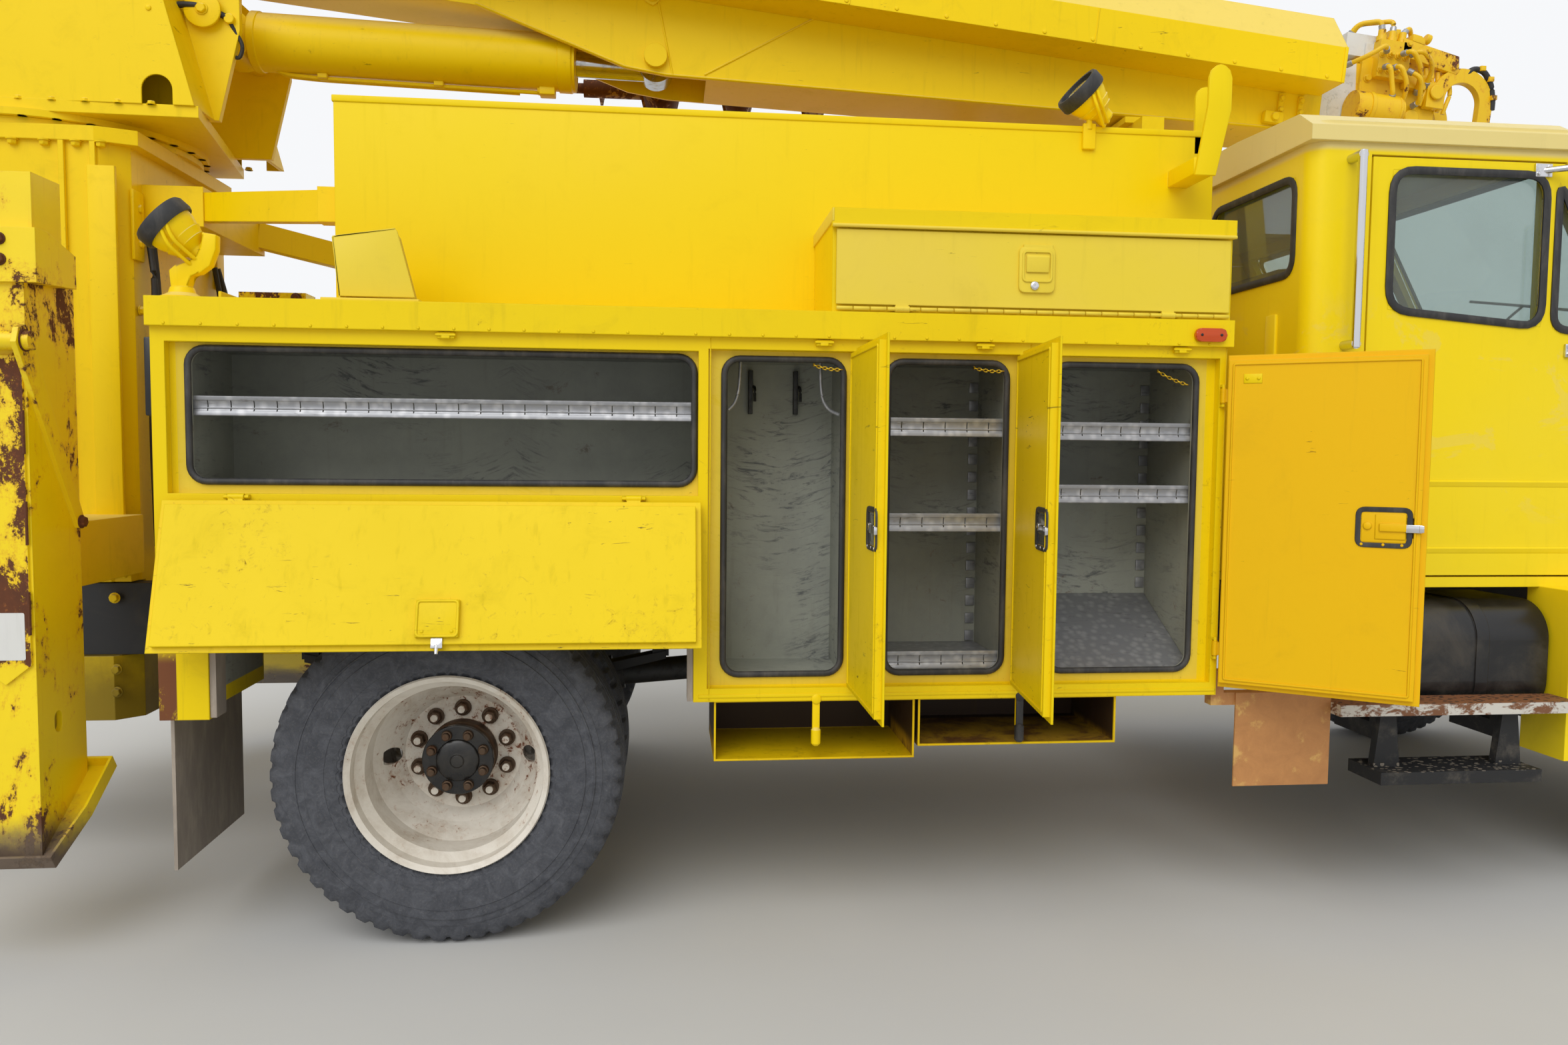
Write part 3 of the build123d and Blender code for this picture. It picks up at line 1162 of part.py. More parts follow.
def make_turret():
    """Turret: ring, base plate, cheeks with the two pins, and the side covers."""
    base_low = PEDESTAL_TOP + TOP_PLATE + RING_HIGH
    low = PEDESTAL_TOP + TOP_PLATE + RING_HIGH / 2 + 0.5
    ring = rod((TURN_X, 0, low), (TURN_X, 0, base_low + 2), RING_RADIUS)
    corners = [(-2080, -300), (-1960, -460), (-950, -436), (-1120, 440), (-1960, 460), (-2080, 300)]
    plate = flat_plate(corners, (base_low, base_low + TURRET_PLATE))
    z0 = base_low + TURRET_PLATE - 2
    cheek_outline = [(-1990, z0), (-945, z0), (-868, 2950), (-868, 3090), (-950, 3150), (-1230, 3400),
                     (-1300, 3660), (-1600, 3660), (-1990, 3050)]
    cover_outline = [(-1950, z0), (-960, z0), (-1060, 3010), (-1180, 3380), (-1620, 3480), (-1950, 3100)]
    pieces = [ring, plate]
    t = COVER_Y[1] - COVER_Y[0]
    hollow_outline = [(-1945 + t, z0 - 1), (-968 - t, z0 - 1), (-1066 - t, 3008), (-1186, 3372),
                      (-1618, 3472), (-1945 + t, 3096)]
    cover = side_plate(cover_outline, (-COVER_Y[1], -CHEEK_Y[1] + 2))
    cover -= side_plate(hollow_outline, (-COVER_Y[0], -CHEEK_Y[1]))
    arch_x, arch_z, arch_radius = TURRET_ARCH
    arch_y = (-COVER_Y[1] - 5, -COVER_Y[0] + 3)
    cover -= block((arch_x - arch_radius, arch_x + arch_radius), arch_y, (z0, arch_z))
    cover -= rod((arch_x, arch_y[0], arch_z), (arch_x, arch_y[1], arch_z), arch_radius)
    pieces += pair(cover) + pair(side_plate(cheek_outline, (-CHEEK_Y[1], -CHEEK_Y[0])))
    pieces.append(block((-1990, -1960), (-CHEEK_Y[0] - 2, CHEEK_Y[0] + 2), (z0, 3000)))
    for x, z in (PIVOT, CYL_BASE):
        pieces.append(rod((x, -CHEEK_Y[1] - 20, z), (x, CHEEK_Y[1] + 20, z), PIN_RADIUS))
    return fused(pieces)


def cylinder_line():
    """The lift cylinder's length at rest and its direction, from base pin to rod pin."""
    rod_x, rod_z = boom_to_world(ROD_PIN_U, ROD_PIN_V)
    dx, dz = rod_x - CYL_BASE[0], rod_z - CYL_BASE[1]
    length = hypot(dx, dz)
    return length, dx / length, dz / length


def along_cylinder(distance):
    """A point of the cylinder's axis at a distance from its base pin."""
    length, dx, dz = cylinder_line()
    return CYL_BASE[0] + dx * distance, 0, CYL_BASE[1] + dz * distance


def make_barrel():
    """Lift cylinder barrel with its base eye and port block."""
    eye = rod((CYL_BASE[0], -80, CYL_BASE[1]), (CYL_BASE[0], 80, CYL_BASE[1]), 92)
    body = rod(along_cylinder(BARREL_FROM - 25), along_cylinder(BARREL_TO), BARREL_RADIUS)
    bore = rod(along_cylinder(BARREL_FROM + 30), along_cylinder(BARREL_TO - 40), BARREL_BORE)
    gland = rod(along_cylinder(BARREL_FROM + 30), along_cylinder(BARREL_TO + 5), ROD_RADIUS + SHAFT_GAP)
    pin = rod((CYL_BASE[0], -90, CYL_BASE[1]), (CYL_BASE[0], 90, CYL_BASE[1]), PIN_RADIUS + SHAFT_GAP)
    return eye + body - bore - gland - pin


def make_rod():
    """Lift cylinder rod with its piston and eye."""
    length = cylinder_line()[0]
    shaft = rod(along_cylinder(BARREL_FROM + 60), along_cylinder(length - 40), ROD_RADIUS)
    piston_ends = along_cylinder(BARREL_FROM + 40), along_cylinder(BARREL_FROM + 110)
    piston = rod(*piston_ends, BARREL_BORE - SHAFT_GAP)
    x, y, z = along_cylinder(length)
    eye = rod((x, -55, z), (x, 55, z), EYE_RADIUS)
    return fused([shaft, piston, eye]) - rod((x, -60, z), (x, 60, z), EYE_PIN)


def make_lower_boom():
    """Lower boom: tapered box with the cylinder's pocket, pivot tube, front collar and hose guard."""
    u0, u1 = LOWER_U
    outline = [(u0, LOWER_TOP), (u1, LOWER_TOP), (u1, -203), (-2742, -354), (-2901, -346), (-3471, -197),
               (u0, -197)]
    boom = side_plate(outline, (-LOWER_Y, LOWER_Y))
    inner = LOWER_Y - PLATE
    hollow = [(u0 - 10, LOWER_CAVITY[1]), (u1 - 60, LOWER_CAVITY[1]), (u1 - 60, -194), (-2560, -332),
              (-2560, LOWER_CAVITY[0]), (u0 - 10, LOWER_CAVITY[0])]
    boom -= side_plate(hollow, (-inner, inner))
    boom -= side_plate([(u1 - 80, MID_V[1] + 0.5), (u1 + 10, MID_V[1] + 0.5), (u1 + 10, MID_V[0] - 0.5),
                        (u1 - 80, MID_V[0] - 0.5)], (-MID_Y - 0.5, MID_Y + 0.5))
    boom -= side_plate([(-3600, -197), (-2575, -197), (-2600, -400), (-3600, -400)], (-inner, inner))
    g0, g1 = GUARD_U
    y, t, low, mid, high = GUARD_Y, GUARD_TOP_Y, *GUARD_V
    w = GUARD_WALL
    shell = cross_plate([(-y, low), (-y, mid), (-t, high), (t, high), (y, mid), (y, low)], (g0, g1))
    shell -= cross_plate([(-y + w, low + w), (-y + w, mid - 3), (-t + 3, high - w), (t - 3, high - w),
                          (y - w, mid - 3), (y - w, low + w)], (g0 + w, g1 + 5))
    shell -= block((g0 - 5, u1 + 1), (-inner, inner), (low - 10, LOWER_TOP - 5))
    shell -= block((u1 - 5, g1 + 5), (-LOWER_Y - 20, LOWER_Y + 20), (low - 10, LOWER_TOP + 5))
    pu, pv = world_to_boom(*PIVOT)
    boss = rod((pu, -CHEEK_Y[0] + CLEAR, pv), (pu, CHEEK_Y[0] - CLEAR, pv), 95)
    bore = rod((pu, -CHEEK_Y[0], pv), (pu, CHEEK_Y[0], pv), PIN_RADIUS + SHAFT_GAP)
    pin_boss = rod((ROD_PIN_U, -LOWER_Y - 22, ROD_PIN_V), (ROD_PIN_U, -inner - 1, ROD_PIN_V), 44)
    whole = fused([boom, shell, boss] + pair(pin_boss)) - bore
    return on_boom(whole) + make_auger_drive()


def make_auger_drive():
    """Gearbox that turns the auger, on an arm under the hose guard."""
    arm = block((2590, 2710), (LOWER_Y - 4, AUGER_Y + 30), (2868, 2950))
    case = block(DRIVE_X, (AUGER_Y - 100, AUGER_Y + 100), (2945, AUGER_Z + 100))
    bore_ends = (DRIVE_X[0] - 5, AUGER_Y, AUGER_Z), (DRIVE_X[1] + 5, AUGER_Y, AUGER_Z)
    return arm + case - rod(*bore_ends, AUGER_SHAFT + SHAFT_GAP)


def world_to_boom(x, z):
    """The u and v of a point given by its X and Z."""
    a = radians(BOOM_SLOPE)
    dx, dz = x - AXIS_AT[0], z - AXIS_AT[1]
    return dx * cos(a) - dz * sin(a), dx * sin(a) + dz * cos(a)


def make_mid_boom():
    """Middle section: a box with rear pads and a front collar."""
    u0, u1 = MID_U
    y, low, high = MID_Y, *MID_V
    w = MID_WALL
    box = block((u0, u1), (-y, y), (low, high))
    box -= block((u0 - 5, u1 - 40), (-y + w, y - w), (low + w, high - w))
    box -= block((u1 - 60, u1 + 5), (-TIP_Y - 0.5, TIP_Y + 0.5), (TIP_V[0] - 0.5, TIP_V[1] + 0.5))
    pad_y = LOWER_Y - PLATE - 0.5
    pads = block((u0 + 10, u0 + 130), (-pad_y, pad_y), (LOWER_CAVITY[0] + 0.5, LOWER_CAVITY[1] - 0.5))
    pads -= block((u0, u0 + 140), (-y + w, y - w), (low + w, high - w))
    return on_boom(box + pads)


def make_tip_boom():
    """White upper section and its head: side plates, manifold block, motor and hose carrier."""
    u0, u1 = TIP_U
    w = TIP_WALL
    hollow_y, hollow_v = (-TIP_Y + w, TIP_Y - w), (TIP_V[0] + w, TIP_V[1] - w)
    box = block((u0, u1), (-TIP_Y, TIP_Y), TIP_V) - block((u0 - 5, u1 - 30), hollow_y, hollow_v)
    pad_y, pad_v = MID_Y - MID_WALL - 0.5, (MID_V[0] + MID_WALL + 0.5, MID_V[1] - MID_WALL - 0.5)
    pads = block((u0 + 10, u0 + 110), (-pad_y, pad_y), pad_v) - block((u0, u0 + 120), hollow_y, hollow_v)
    plate = [(HEAD_U, -120), (HEAD_U, 140), (180, 150), (330, 90), (400, 20), (400, -70), (330, -150),
             (180, -170)]
    bracket = block((72, 126), (-TIP_Y - 4, TIP_Y + 4), (112, 205))
    manifold = block(MANIFOLD_U, (-150, -100), (60, 210))
    cross_bar = block((200, 260), (-TIP_Y - 2, TIP_Y + 2), (95, 130))
    motor = rod((2, -TIP_Y - 66, -82), (183, -TIP_Y - 66, -82), 62)
    carrier = block((-10, 130), (-95, 95), (150, 240))
    u, v = DRUM_AT
    drum_pin = rod((u, -TIP_Y - 20, v), (u, TIP_Y + 20, v), DRUM_PIN_RADIUS)
    pieces = [box, pads, bracket, manifold, cross_bar, motor, carrier, drum_pin]
    u, v = CLAW_PIN
    pieces += pair(side_plate(plate, (-TIP_Y - 14, -TIP_Y + 4)))
    pieces += pair(rod((u, -TIP_Y - 58, v), (u, -TIP_Y - 10, v), 22))
    return on_boom(fused(pieces))


def make_winch_drum():
    """Tip winch drum between the head's plates."""
    inner = TIP_Y - 4 - CLEAR
    u, v = DRUM_AT
    flange = rod((u, -inner, v), (u, -inner + 10, v), 84)
    drum = fused([rod((u, -inner, v), (u, inner, v), 52)] + pair(flange))
    return on_boom(drum - rod((u, -inner - 5, v), (u, inner + 5, v), DRUM_PIN_RADIUS + SHAFT_GAP))


def make_pole_claw():
    """Pole claw: two curved tongs on a cross tube outside the head's plates."""
    u, v = CLAW_PIN
    y0 = TIP_Y + 14 + CLEAR
    y = (-y0 - 30, -y0)
    along, across, outer, inner = CLAW_RING
    cu, cv = u + along, v + across
    ring = tube((cu, y[0], cv), (cu, y[1], cv), outer, inner)
    ring -= block((cu - 200, cu + 200), (y[0] - 5, y[1] + 5), (cv - 200, cv))
    tip = block((cu + inner, cu + outer), y, (cv - 90, cv))
    root = block((u - 36, u + 42), y, (v - 60, v + 40))
    pieces = pair(fused([ring, tip, root]))
    cross = rod((u + 108, -y0 - 2, v + 90), (u + 108, y0 + 2, v + 90), 18)
    claw = fused(pieces + [cross])
    claw -= rod((u, -y0 - 40, v), (u, y0 + 40, v), 22 + SHAFT_GAP)
    return on_boom(claw)


def make_flights():
    """The auger's flighting, as flat blades from the shaft out."""
    step = 360 / BLADES_PER_TURN
    blades = []
    for number in range(FLIGHT_TURNS * BLADES_PER_TURN):
        ends = (number * step, (number + 1) * step + 1)
        faces = [blade_edge(angle, AUGER_X[0] + AUGER_PITCH * angle / 360) for angle in ends]
        blades.append(loft(faces, ruled=True))
    return blades


def blade_edge(angle, x):
    """The cross section of the flighting along one radius."""
    c, s = cos(radians(angle)), sin(radians(angle))
    inner, outer, t = AUGER_SHAFT - 3, AUGER_RADIUS, FLIGHT_THICK
    points = [(x, inner * c, inner * s), (x, outer * c, outer * s)]
    points += [(x + t, outer * c, outer * s), (x + t, inner * c, inner * s)]
    return make_face(Polyline(*points, close=True))


def make_auger():
    """Auger: shaft, flighting and pilot bit, stowed along the boom."""
    shaft = rod((AUGER_X[0] - 60, 0, 0), (AUGER_X[1], 0, 0), AUGER_SHAFT)
    pilot = rod((AUGER_X[0] - 120, 0, 0), (AUGER_X[0] - 50, 0, 0), 22)
    whole = fused([shaft, pilot] + make_flights())
    return Pos(0, AUGER_Y, AUGER_Z) * whole


def make_boom_rest():
    """Stand between body and cab that carries the boom's front."""
    x_mid = (REST_X[0] + REST_X[1]) / 2
    top = boom_bottom(REST_X[1]) - REST_GAP
    pieces = [
        block(REST_X, (-180, 180), (top - 24, top)),
        block((x_mid - 45, x_mid + 45), (-260, 260), (top - 100, top - 22)),
    ]
    for side in (-1, 1):
        y = sorted((side * 352, side * 432))
        pieces.append(block((x_mid - 40, x_mid + 40), tuple(y), (RAIL_HIGH + SEAT_GAP, 1900)))
        pieces.append(bar((x_mid, side * 392, 1860), (x_mid, side * 200, top - 60), 78, 60))
    pieces.append(block((x_mid - 30, x_mid + 30), (-392, 392), (1820, 1880)))
    return fused(pieces)


def boom_bottom(x):
    """Height of the lower boom's underside ahead of its pocket."""
    ux, uz = boom_to_world(-2742, -354)
    vx, vz = boom_to_world(LOWER_U[1], -203)
    return uz + (vz - uz) * (x - ux) / (vx - ux)


def make_lamps():
    """Marker lamps, roof lamps, rear lamps and the work lamps of the right side."""
    strip_face = -BODY_Y - STRIP_PROUD
    marker = block((2268, 2334), (strip_face - 16, strip_face - SEAT_GAP), (1826, 1864))
    rear = block((BODY_REAR - 26, BODY_REAR - SEAT_GAP), (-1200, -1080), (1560, 1780))
    base = (-761, -1150)
    foot = rod((base[0] + 60, base[1], BODY_TOP + SEAT_GAP), (base[0] + 60, base[1], BODY_TOP + 30), 52)
    stem = rod((base[0] + 60, base[1], BODY_TOP + 20), (base[0] + 60, base[1], 2000), 20)
    neck = rod((base[0] + 60, base[1], 1990), (base[0] + 10, base[1], 2070), 24)
    head = lamp_head((base[0] + 20, base[1], 2080), (-0.72, -0.18, 0.66))
    first = fused([foot, stem, neck, head])
    px = 2046
    post = block((px - 22, px + 22), (-PANEL_Y[1] - 12, -PANEL_Y[1] - SEAT_GAP), (2500, 2650))
    second = fused([post, lamp_head((px - 10, -PANEL_Y[1] - 6, 2665), (-0.75, -0.1, 0.65))])
    return [marker, rear, first, second]


def lamp_head(centre, direction):
    """A round work lamp facing a direction."""
    c, d = Vector(*centre), Vector(*direction).normalized()
    bowl = extrude(Plane(c - d * 45, z_dir=d) * Circle(42), 60, taper=-22)
    rim = extrude(Plane(c + d * 14, z_dir=d) * Circle(78), 44)
    return bowl + rim


def roof_lamps():
    """Five small lamps on the cab roof's front edge."""
    lamps = []
    for y in (-560, -180, 0, 180, 560):
        lamps.append(block((3480, 3560), (y - 28, y + 28), (ROOF_HIGH + SEAT_GAP, ROOF_HIGH + 32)))
    return lamps


def main():
    """Write every node."""
    os.makedirs("parts", exist_ok=True)
    save("frame_rails", make_frame_rails())
    save("rear_axle", make_rear_axle())
    save("front_axle", make_front_axle())
    save("engine_and_gearbox", *make_engine())
    save("fuel_tanks", *make_tanks())
    save("cab_steps_and_handles", *make_cab_steps())
    save("cab_shell", make_cab_shell())
    save("cab_glass", *make_cab_glass())
    save("cab_interior", *make_cab_interior())
    save("front_bumper", make_bumper())
    save("hood", make_hood())
    body = make_side_body()
    save("service_body_right", body)
    save("service_body_left", mirrored(body))
    save("body_deck", make_deck())
    save("side_panels", *[p for s in make_side_panel() for p in pair(s)])
    save("shelves", *[p for s in make_shelves() for p in pair(s)])
    save("door_seals", *[p for s in make_seals() for p in pair(s)])
    save("under_trays", *[p for s in make_trays() for p in pair(s)])
    save("mud_flaps", *[p for s in make_flaps() for p in pair(s)])
    save("pedestal", make_pedestal())
    save("outrigger_frame", *make_outrigger_frame())
    save("boom_rest", make_boom_rest())
    save("lamps", *[p for s in make_lamps() for p in pair(s)], *roof_lamps())
    for name in SIDE_DOORS:
        door = make_side_door(name)
        save(name + "_right", door)
        save(name + "_left", mirrored(door))
    for name, door in (("flip_door", make_flip_door()), ("top_box_door", make_top_box_door())):
        save(name + "_right", door)
        save(name + "_left", mirrored(door))
    for side, word in ((-1, "right"), (1, "left")):
        save(f"cab_door_{word}", make_cab_door(side))
        save(f"door_glass_{word}", *make_door_glass(side))
        save(f"steering_knuckle_{word}", make_knuckle(side))
        save(f"front_tyre_{word}", make_tyre(WHEEL_BASE, side * FRONT_TYRE_Y))
        save(f"front_wheel_{word}", make_front_wheel(side))
        twin = [make_tyre(0, side * (DUAL_FACE_Y + offset)) for offset in (RIM_OFFSET, -RIM_OFFSET)]
        save(f"rear_tyres_{word}", *twin)
        save(f"rear_wheels_{word}", make_rear_wheel(side))
    leg = make_leg()
    save("outrigger_leg_right", leg)
    save("outrigger_leg_left", mirrored(leg))
    save("turret", make_turret())
    save("lift_barrel", make_barrel())
    save("lift_rod", make_rod())
    save("lower_boom", make_lower_boom())
    save("mid_boom", make_mid_boom())
    save("tip_boom", make_tip_boom())
    save("winch_drum", make_winch_drum())
    save("pole_claw", make_pole_claw())
    save("auger", make_auger())


main()
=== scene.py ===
"""Looks of the digger derrick truck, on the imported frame.

Lengths are metres. Places are X, Y, Z from the rear axle: X forward, Y to the truck's left and Z
up from the ground. Shape.piece() and make_camera() move them into the frame's own axes.
"""

import math

import bmesh
import bpy
from mathutils import Matrix, Vector


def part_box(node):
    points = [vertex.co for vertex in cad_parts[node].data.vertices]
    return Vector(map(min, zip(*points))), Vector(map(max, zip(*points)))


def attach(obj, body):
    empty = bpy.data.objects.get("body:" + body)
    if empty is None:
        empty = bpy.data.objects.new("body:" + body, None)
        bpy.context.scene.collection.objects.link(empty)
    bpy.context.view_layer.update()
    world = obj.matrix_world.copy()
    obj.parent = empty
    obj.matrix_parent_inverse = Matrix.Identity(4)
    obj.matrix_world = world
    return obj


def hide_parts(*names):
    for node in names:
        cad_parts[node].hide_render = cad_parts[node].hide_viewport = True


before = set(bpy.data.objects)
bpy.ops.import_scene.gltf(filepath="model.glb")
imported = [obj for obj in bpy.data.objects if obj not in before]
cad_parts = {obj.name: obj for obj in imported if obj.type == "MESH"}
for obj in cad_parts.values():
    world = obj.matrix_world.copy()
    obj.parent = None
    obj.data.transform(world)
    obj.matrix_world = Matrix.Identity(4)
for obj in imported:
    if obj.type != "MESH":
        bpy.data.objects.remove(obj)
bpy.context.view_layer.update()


def middle(node):
    """The middle of a CAD node's box, in the frame's axes."""
    low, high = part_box(node)
    return (low + high) / 2


AXLE = Vector((middle("rear_tyres_right").x, 0, 0))
WHEEL_HIGH = 0.515
FORWARD, BACK = Vector((1, 0, 0)), Vector((-1, 0, 0))
INWARD, OUTWARD = Vector((0, 1, 0)), Vector((0, -1, 0))
UP, DOWN = Vector((0, 0, 1)), Vector((0, 0, -1))
SIDES = ((-1, "right"), (1, "left"))


def at(x, y, z):
    """A place as a vector."""
    return Vector((x, y, z))


# Camera, fitted to the photograph

PHOTO_WIDTH = 2352
FOCAL_PIXELS = 1656.27
SENSOR = 36
EYE = at(0.6385, -4.4719, 1.4720)
YAW = math.radians(6.11)
PITCH = math.radians(3.59)
ROLL = math.radians(0.54)


def make_camera():
    """The photograph's camera."""
    forward = at(math.sin(YAW) * math.cos(PITCH), math.cos(YAW) * math.cos(PITCH), -math.sin(PITCH))
    level = at(math.cos(YAW), -math.sin(YAW), 0)
    above = level.cross(forward)
    right = level * math.cos(ROLL) + above * math.sin(ROLL)
    up = above * math.cos(ROLL) - level * math.sin(ROLL)
    data = bpy.data.cameras.new("camera")
    data.sensor_width = SENSOR
    data.lens = SENSOR * FOCAL_PIXELS / PHOTO_WIDTH
    camera = bpy.data.objects.new("camera", data)
    turn = Matrix((right, up, -forward)).transposed()
    camera.matrix_world = Matrix.Translation(EYE + AXLE) @ turn.to_4x4()
    bpy.context.scene.collection.objects.link(camera)
    bpy.context.scene.camera = camera


# Materials


def srgb(red, green, blue):
    """A colour as a picture shows it, 0 to 255, as Blender's linear colour."""
    shares = (value / 255 for value in (red, green, blue))
    return (*(v / 12.92 if v <= 0.04045 else ((v + 0.055) / 1.055) ** 2.4 for v in shares), 1.0)


def darker(colour, share):
    """A colour brought down to a share of its light."""
    return (*(share * part for part in colour[:3]), 1)


YELLOW = srgb(244, 212, 0)
FADED = srgb(238, 206, 8)
PALE_YELLOW = srgb(238, 212, 62)
CREAM = srgb(234, 214, 138)
DEEP_YELLOW = srgb(240, 188, 0)
RUST = srgb(116, 62, 28)
DARK_RUST = srgb(62, 36, 22)
GRIME = srgb(80, 64, 24)
GREY_PAINT = srgb(164, 166, 154)


class Share:
    """A value from a material's nodes, which can be added, taken away and multiplied."""

    def __init__(self, shader, socket):
        self.shader, self.socket = shader, socket

    def __add__(self, other):
        return self.shader.math("ADD", self, other)

    def __radd__(self, other):
        return self.shader.math("ADD", other, self)

    def __sub__(self, other):
        return self.shader.math("SUBTRACT", self, other)

    def __rsub__(self, other):
        return self.shader.math("SUBTRACT", other, self)

    def __mul__(self, other):
        return self.shader.math("MULTIPLY", self, other)


class Shader:
    """A material's nodes, with short ways to add the ones it needs."""

    def __init__(self, name, **settings):
        self.material = bpy.data.materials.new(name)
        self.material.use_nodes = True
        self.nodes = self.material.node_tree.nodes
        self.surface = self.nodes["Principled BSDF"]
        self.coordinates = self.nodes.new("ShaderNodeTexCoord").outputs
        self.place = self.coordinates["Object"]
        self.split = self.node("SeparateXYZ", Vector=self.place).outputs
        self.fill(self.surface, settings)

    def plug(self, socket, value):
        """Set an input to a number or colour, or link it."""
        value = getattr(value, "socket", value)
        if isinstance(value, bpy.types.NodeSocket):
            self.material.node_tree.links.new(value, socket)
        else:
            socket.default_value = value

    def fill(self, node, inputs):
        """Set or link a node's inputs by name, with _ for a space."""
        for name, value in inputs.items():
            self.plug(node.inputs[name.replace("_", " ")], value)

    def node(self, kind, **inputs):
        """Add a node."""
        node = self.nodes.new(f"ShaderNode{kind}")
        self.fill(node, inputs)
        return node

    def math(self, operation, *values):
        """A Math node's result."""
        node = self.node("Math")
        node.operation = operation
        for socket, value in zip(node.inputs, values):
            self.plug(socket, value)
        return Share(self, node.outputs[0])

    def stretched(self, stretch, turn=(0, 0, 0), shift=(0, 0, 0)):
        """The object's coordinates, stretched, turned and shifted, or as they are."""
        if stretch is None:
            return self.place
        node = self.node("Mapping", Vector=self.place, Scale=stretch, Rotation=turn, Location=shift)
        return node.outputs[0]

    def noise(self, scale, detail=4, roughness=0.55, distortion=0, stretch=None, vector=None, **moved):
        """Noise from 0 to 1."""
        vector = vector or self.stretched(stretch, **moved)
        node = self.node("TexNoise", Vector=vector, Scale=scale, Detail=detail, Roughness=roughness,
                         Distortion=distortion)
        return Share(self, node.outputs[0])

    def patches(self, low, high, *noise, **moved):
        """Patches of noise: 0 where it is under low, 1 where it is over high."""
        return self.ramp(self.noise(*noise, **moved), low, high)

    def cells(self, scale, stretch=None):
        """Distance from the middles of scattered cells."""
        node = self.node("TexVoronoi", Vector=self.stretched(stretch), Scale=scale)
        return Share(self, node.outputs["Distance"])

    def ramp(self, value, low, high):
        """0 where value is at low, 1 at high, smooth between."""
        node = self.node("MapRange", Value=value, From_Min=min(low, high), From_Max=max(low, high))
        node.interpolation_type = "SMOOTHSTEP"
        rising = Share(self, node.outputs[0])
        return rising if low < high else 1.0 - rising

    def mix(self, share, first, second):
        """A colour between two."""
        node = self.node("Mix")
        node.data_type = "RGBA"
        self.plug(node.inputs["Factor"], share)
        self.plug(node.inputs[6], first)
        self.plug(node.inputs[7], second)
        return node.outputs[2]

    def axis(self, letter):
        """One of the object's coordinates."""
        return Share(self, self.split[letter])

    def along(self, letter, low, high):
        """0 where a coordinate is at low, 1 at high. X counts from the rear axle."""
        zero = AXLE.x if letter == "X" else 0
        return self.ramp(self.axis(letter), zero + low, zero + high)

    def above(self, letter, level, blur=0.002):
        """1 where a coordinate is above a level."""
        return self.along(letter, level - blur, level + blur)

    def between(self, letter, low, high, blur=0.001):
        """1 where a coordinate is between two levels."""
        return self.above(letter, low, blur) * (1.0 - self.above(letter, high, blur))

    def either(self, *shares):
        """The largest of several shares."""
        most = shares[0]
        for share in shares[1:]:
            most = self.math("MAXIMUM", most, share)
        return most

    def side_depth(self):
        """How far a point is from the truck's middle plane, on either side."""
        return self.math("ABSOLUTE", self.axis("Y"))

    def rounded(self, radius):
        """Edges that catch the light as if they had a small radius."""
        node = self.node("Bevel", Radius=radius)
        node.samples = 4
        return node.outputs[0]

    def bump(self, height, distance, strength=1.0, edge=0):
        """Bump from a height between 0 and 1, over a distance, with edges rounded by a radius."""
        node = self.node("Bump", Distance=distance, Strength=strength, Height=height)
        if edge:
            self.plug(node.inputs["Normal"], self.rounded(edge))
        self.plug(self.surface.inputs["Normal"], node.outputs[0])

    def finish(self, colour, roughness):
        """Link the surface's colour and roughness and give back the material."""
        self.fill(self.surface, {"Base Color": colour, "Roughness": roughness})
        return self.material


def bleached_tops(s, base):
    """Paint that the sun has bleached where it faces up."""
    facing = s.node("SeparateXYZ", Vector=s.coordinates["Normal"]).outputs["Z"]
    return s.mix(s.ramp(facing, 0.35, 0.75) * 0.6, base, CREAM)


def painted(name, colour, faded, rust=0.3, dirt=0.3, scratches=0.3, gloss=0.38, edge=0.004, recolour=None):
    """Old paint: fading, streaked dirt, scratches, chips and rust, each of the last three 0 to 1."""
    s = Shader(name, Specular_IOR_Level=0.22)
    tone = s.patches(0.35, 0.72, 0.9, 5, 0.6)
    base = s.mix(tone * 0.55, colour, faded)
    blotch = s.patches(0.6, 0.7, 3.1, 6, 0.62, 0.4, (1, 1, 1.6), turn=(0.2, 0.1, 0), shift=(3, 7, 1))
    base = s.mix(blotch * 0.16, base, faded)
    if recolour:
        base = recolour(s, base)
    streak = s.patches(0.56, 0.78, 4, 5, 0.6, 0.2, (9, 9, 0.7))
    film = s.patches(0.5, 0.85, 7, 8, 0.7, 0.6, (1, 1, 1), turn=(0.3, 0.2, 0.9), shift=(11, 2, 5))
    low = s.along("Z", 1.35, 0.35)
    dirty = (streak * 0.5 + film * 0.6) * (low * 0.5 + 0.4)
    base = s.mix(dirty * dirt, base, GRIME)
    level = 0.702 - 0.06 * scratches
    scrape = s.patches(level, level + 0.03, 6, 5, 0.65, 0.9, (2, 2, 13), turn=(0.2, 0.5, 0.2))
    patch = s.patches(0.5, 0.62, 3.1, 4, 0.6, 0, (1, 1, 1), shift=(5, 5, 9))
    base = s.mix(scrape * patch * (0.85 * scratches), base, DARK_RUST)
    field = s.noise(2.2, 3, 0.5, 0.3, (1, 1, 0.8), shift=(2, 9, 4)) * 0.35 + s.noise(34, 8, 0.75, 0.7) * 0.75
    level = 0.83 - 0.26 * rust
    chips = s.ramp(field, level, level + 0.03)
    base = s.mix(s.ramp(field, level - 0.08, level) * 0.25, base, RUST)
    base = s.mix(chips, base, s.mix(s.noise(60, 4), RUST, DARK_RUST))
    s.bump(s.noise(5, 2) * 0.4 - chips * 0.5, 0.0016, 0.6, edge)
    return s.finish(base, s.either(dirty, chips) * 0.4 + gloss + tone * 0.1)


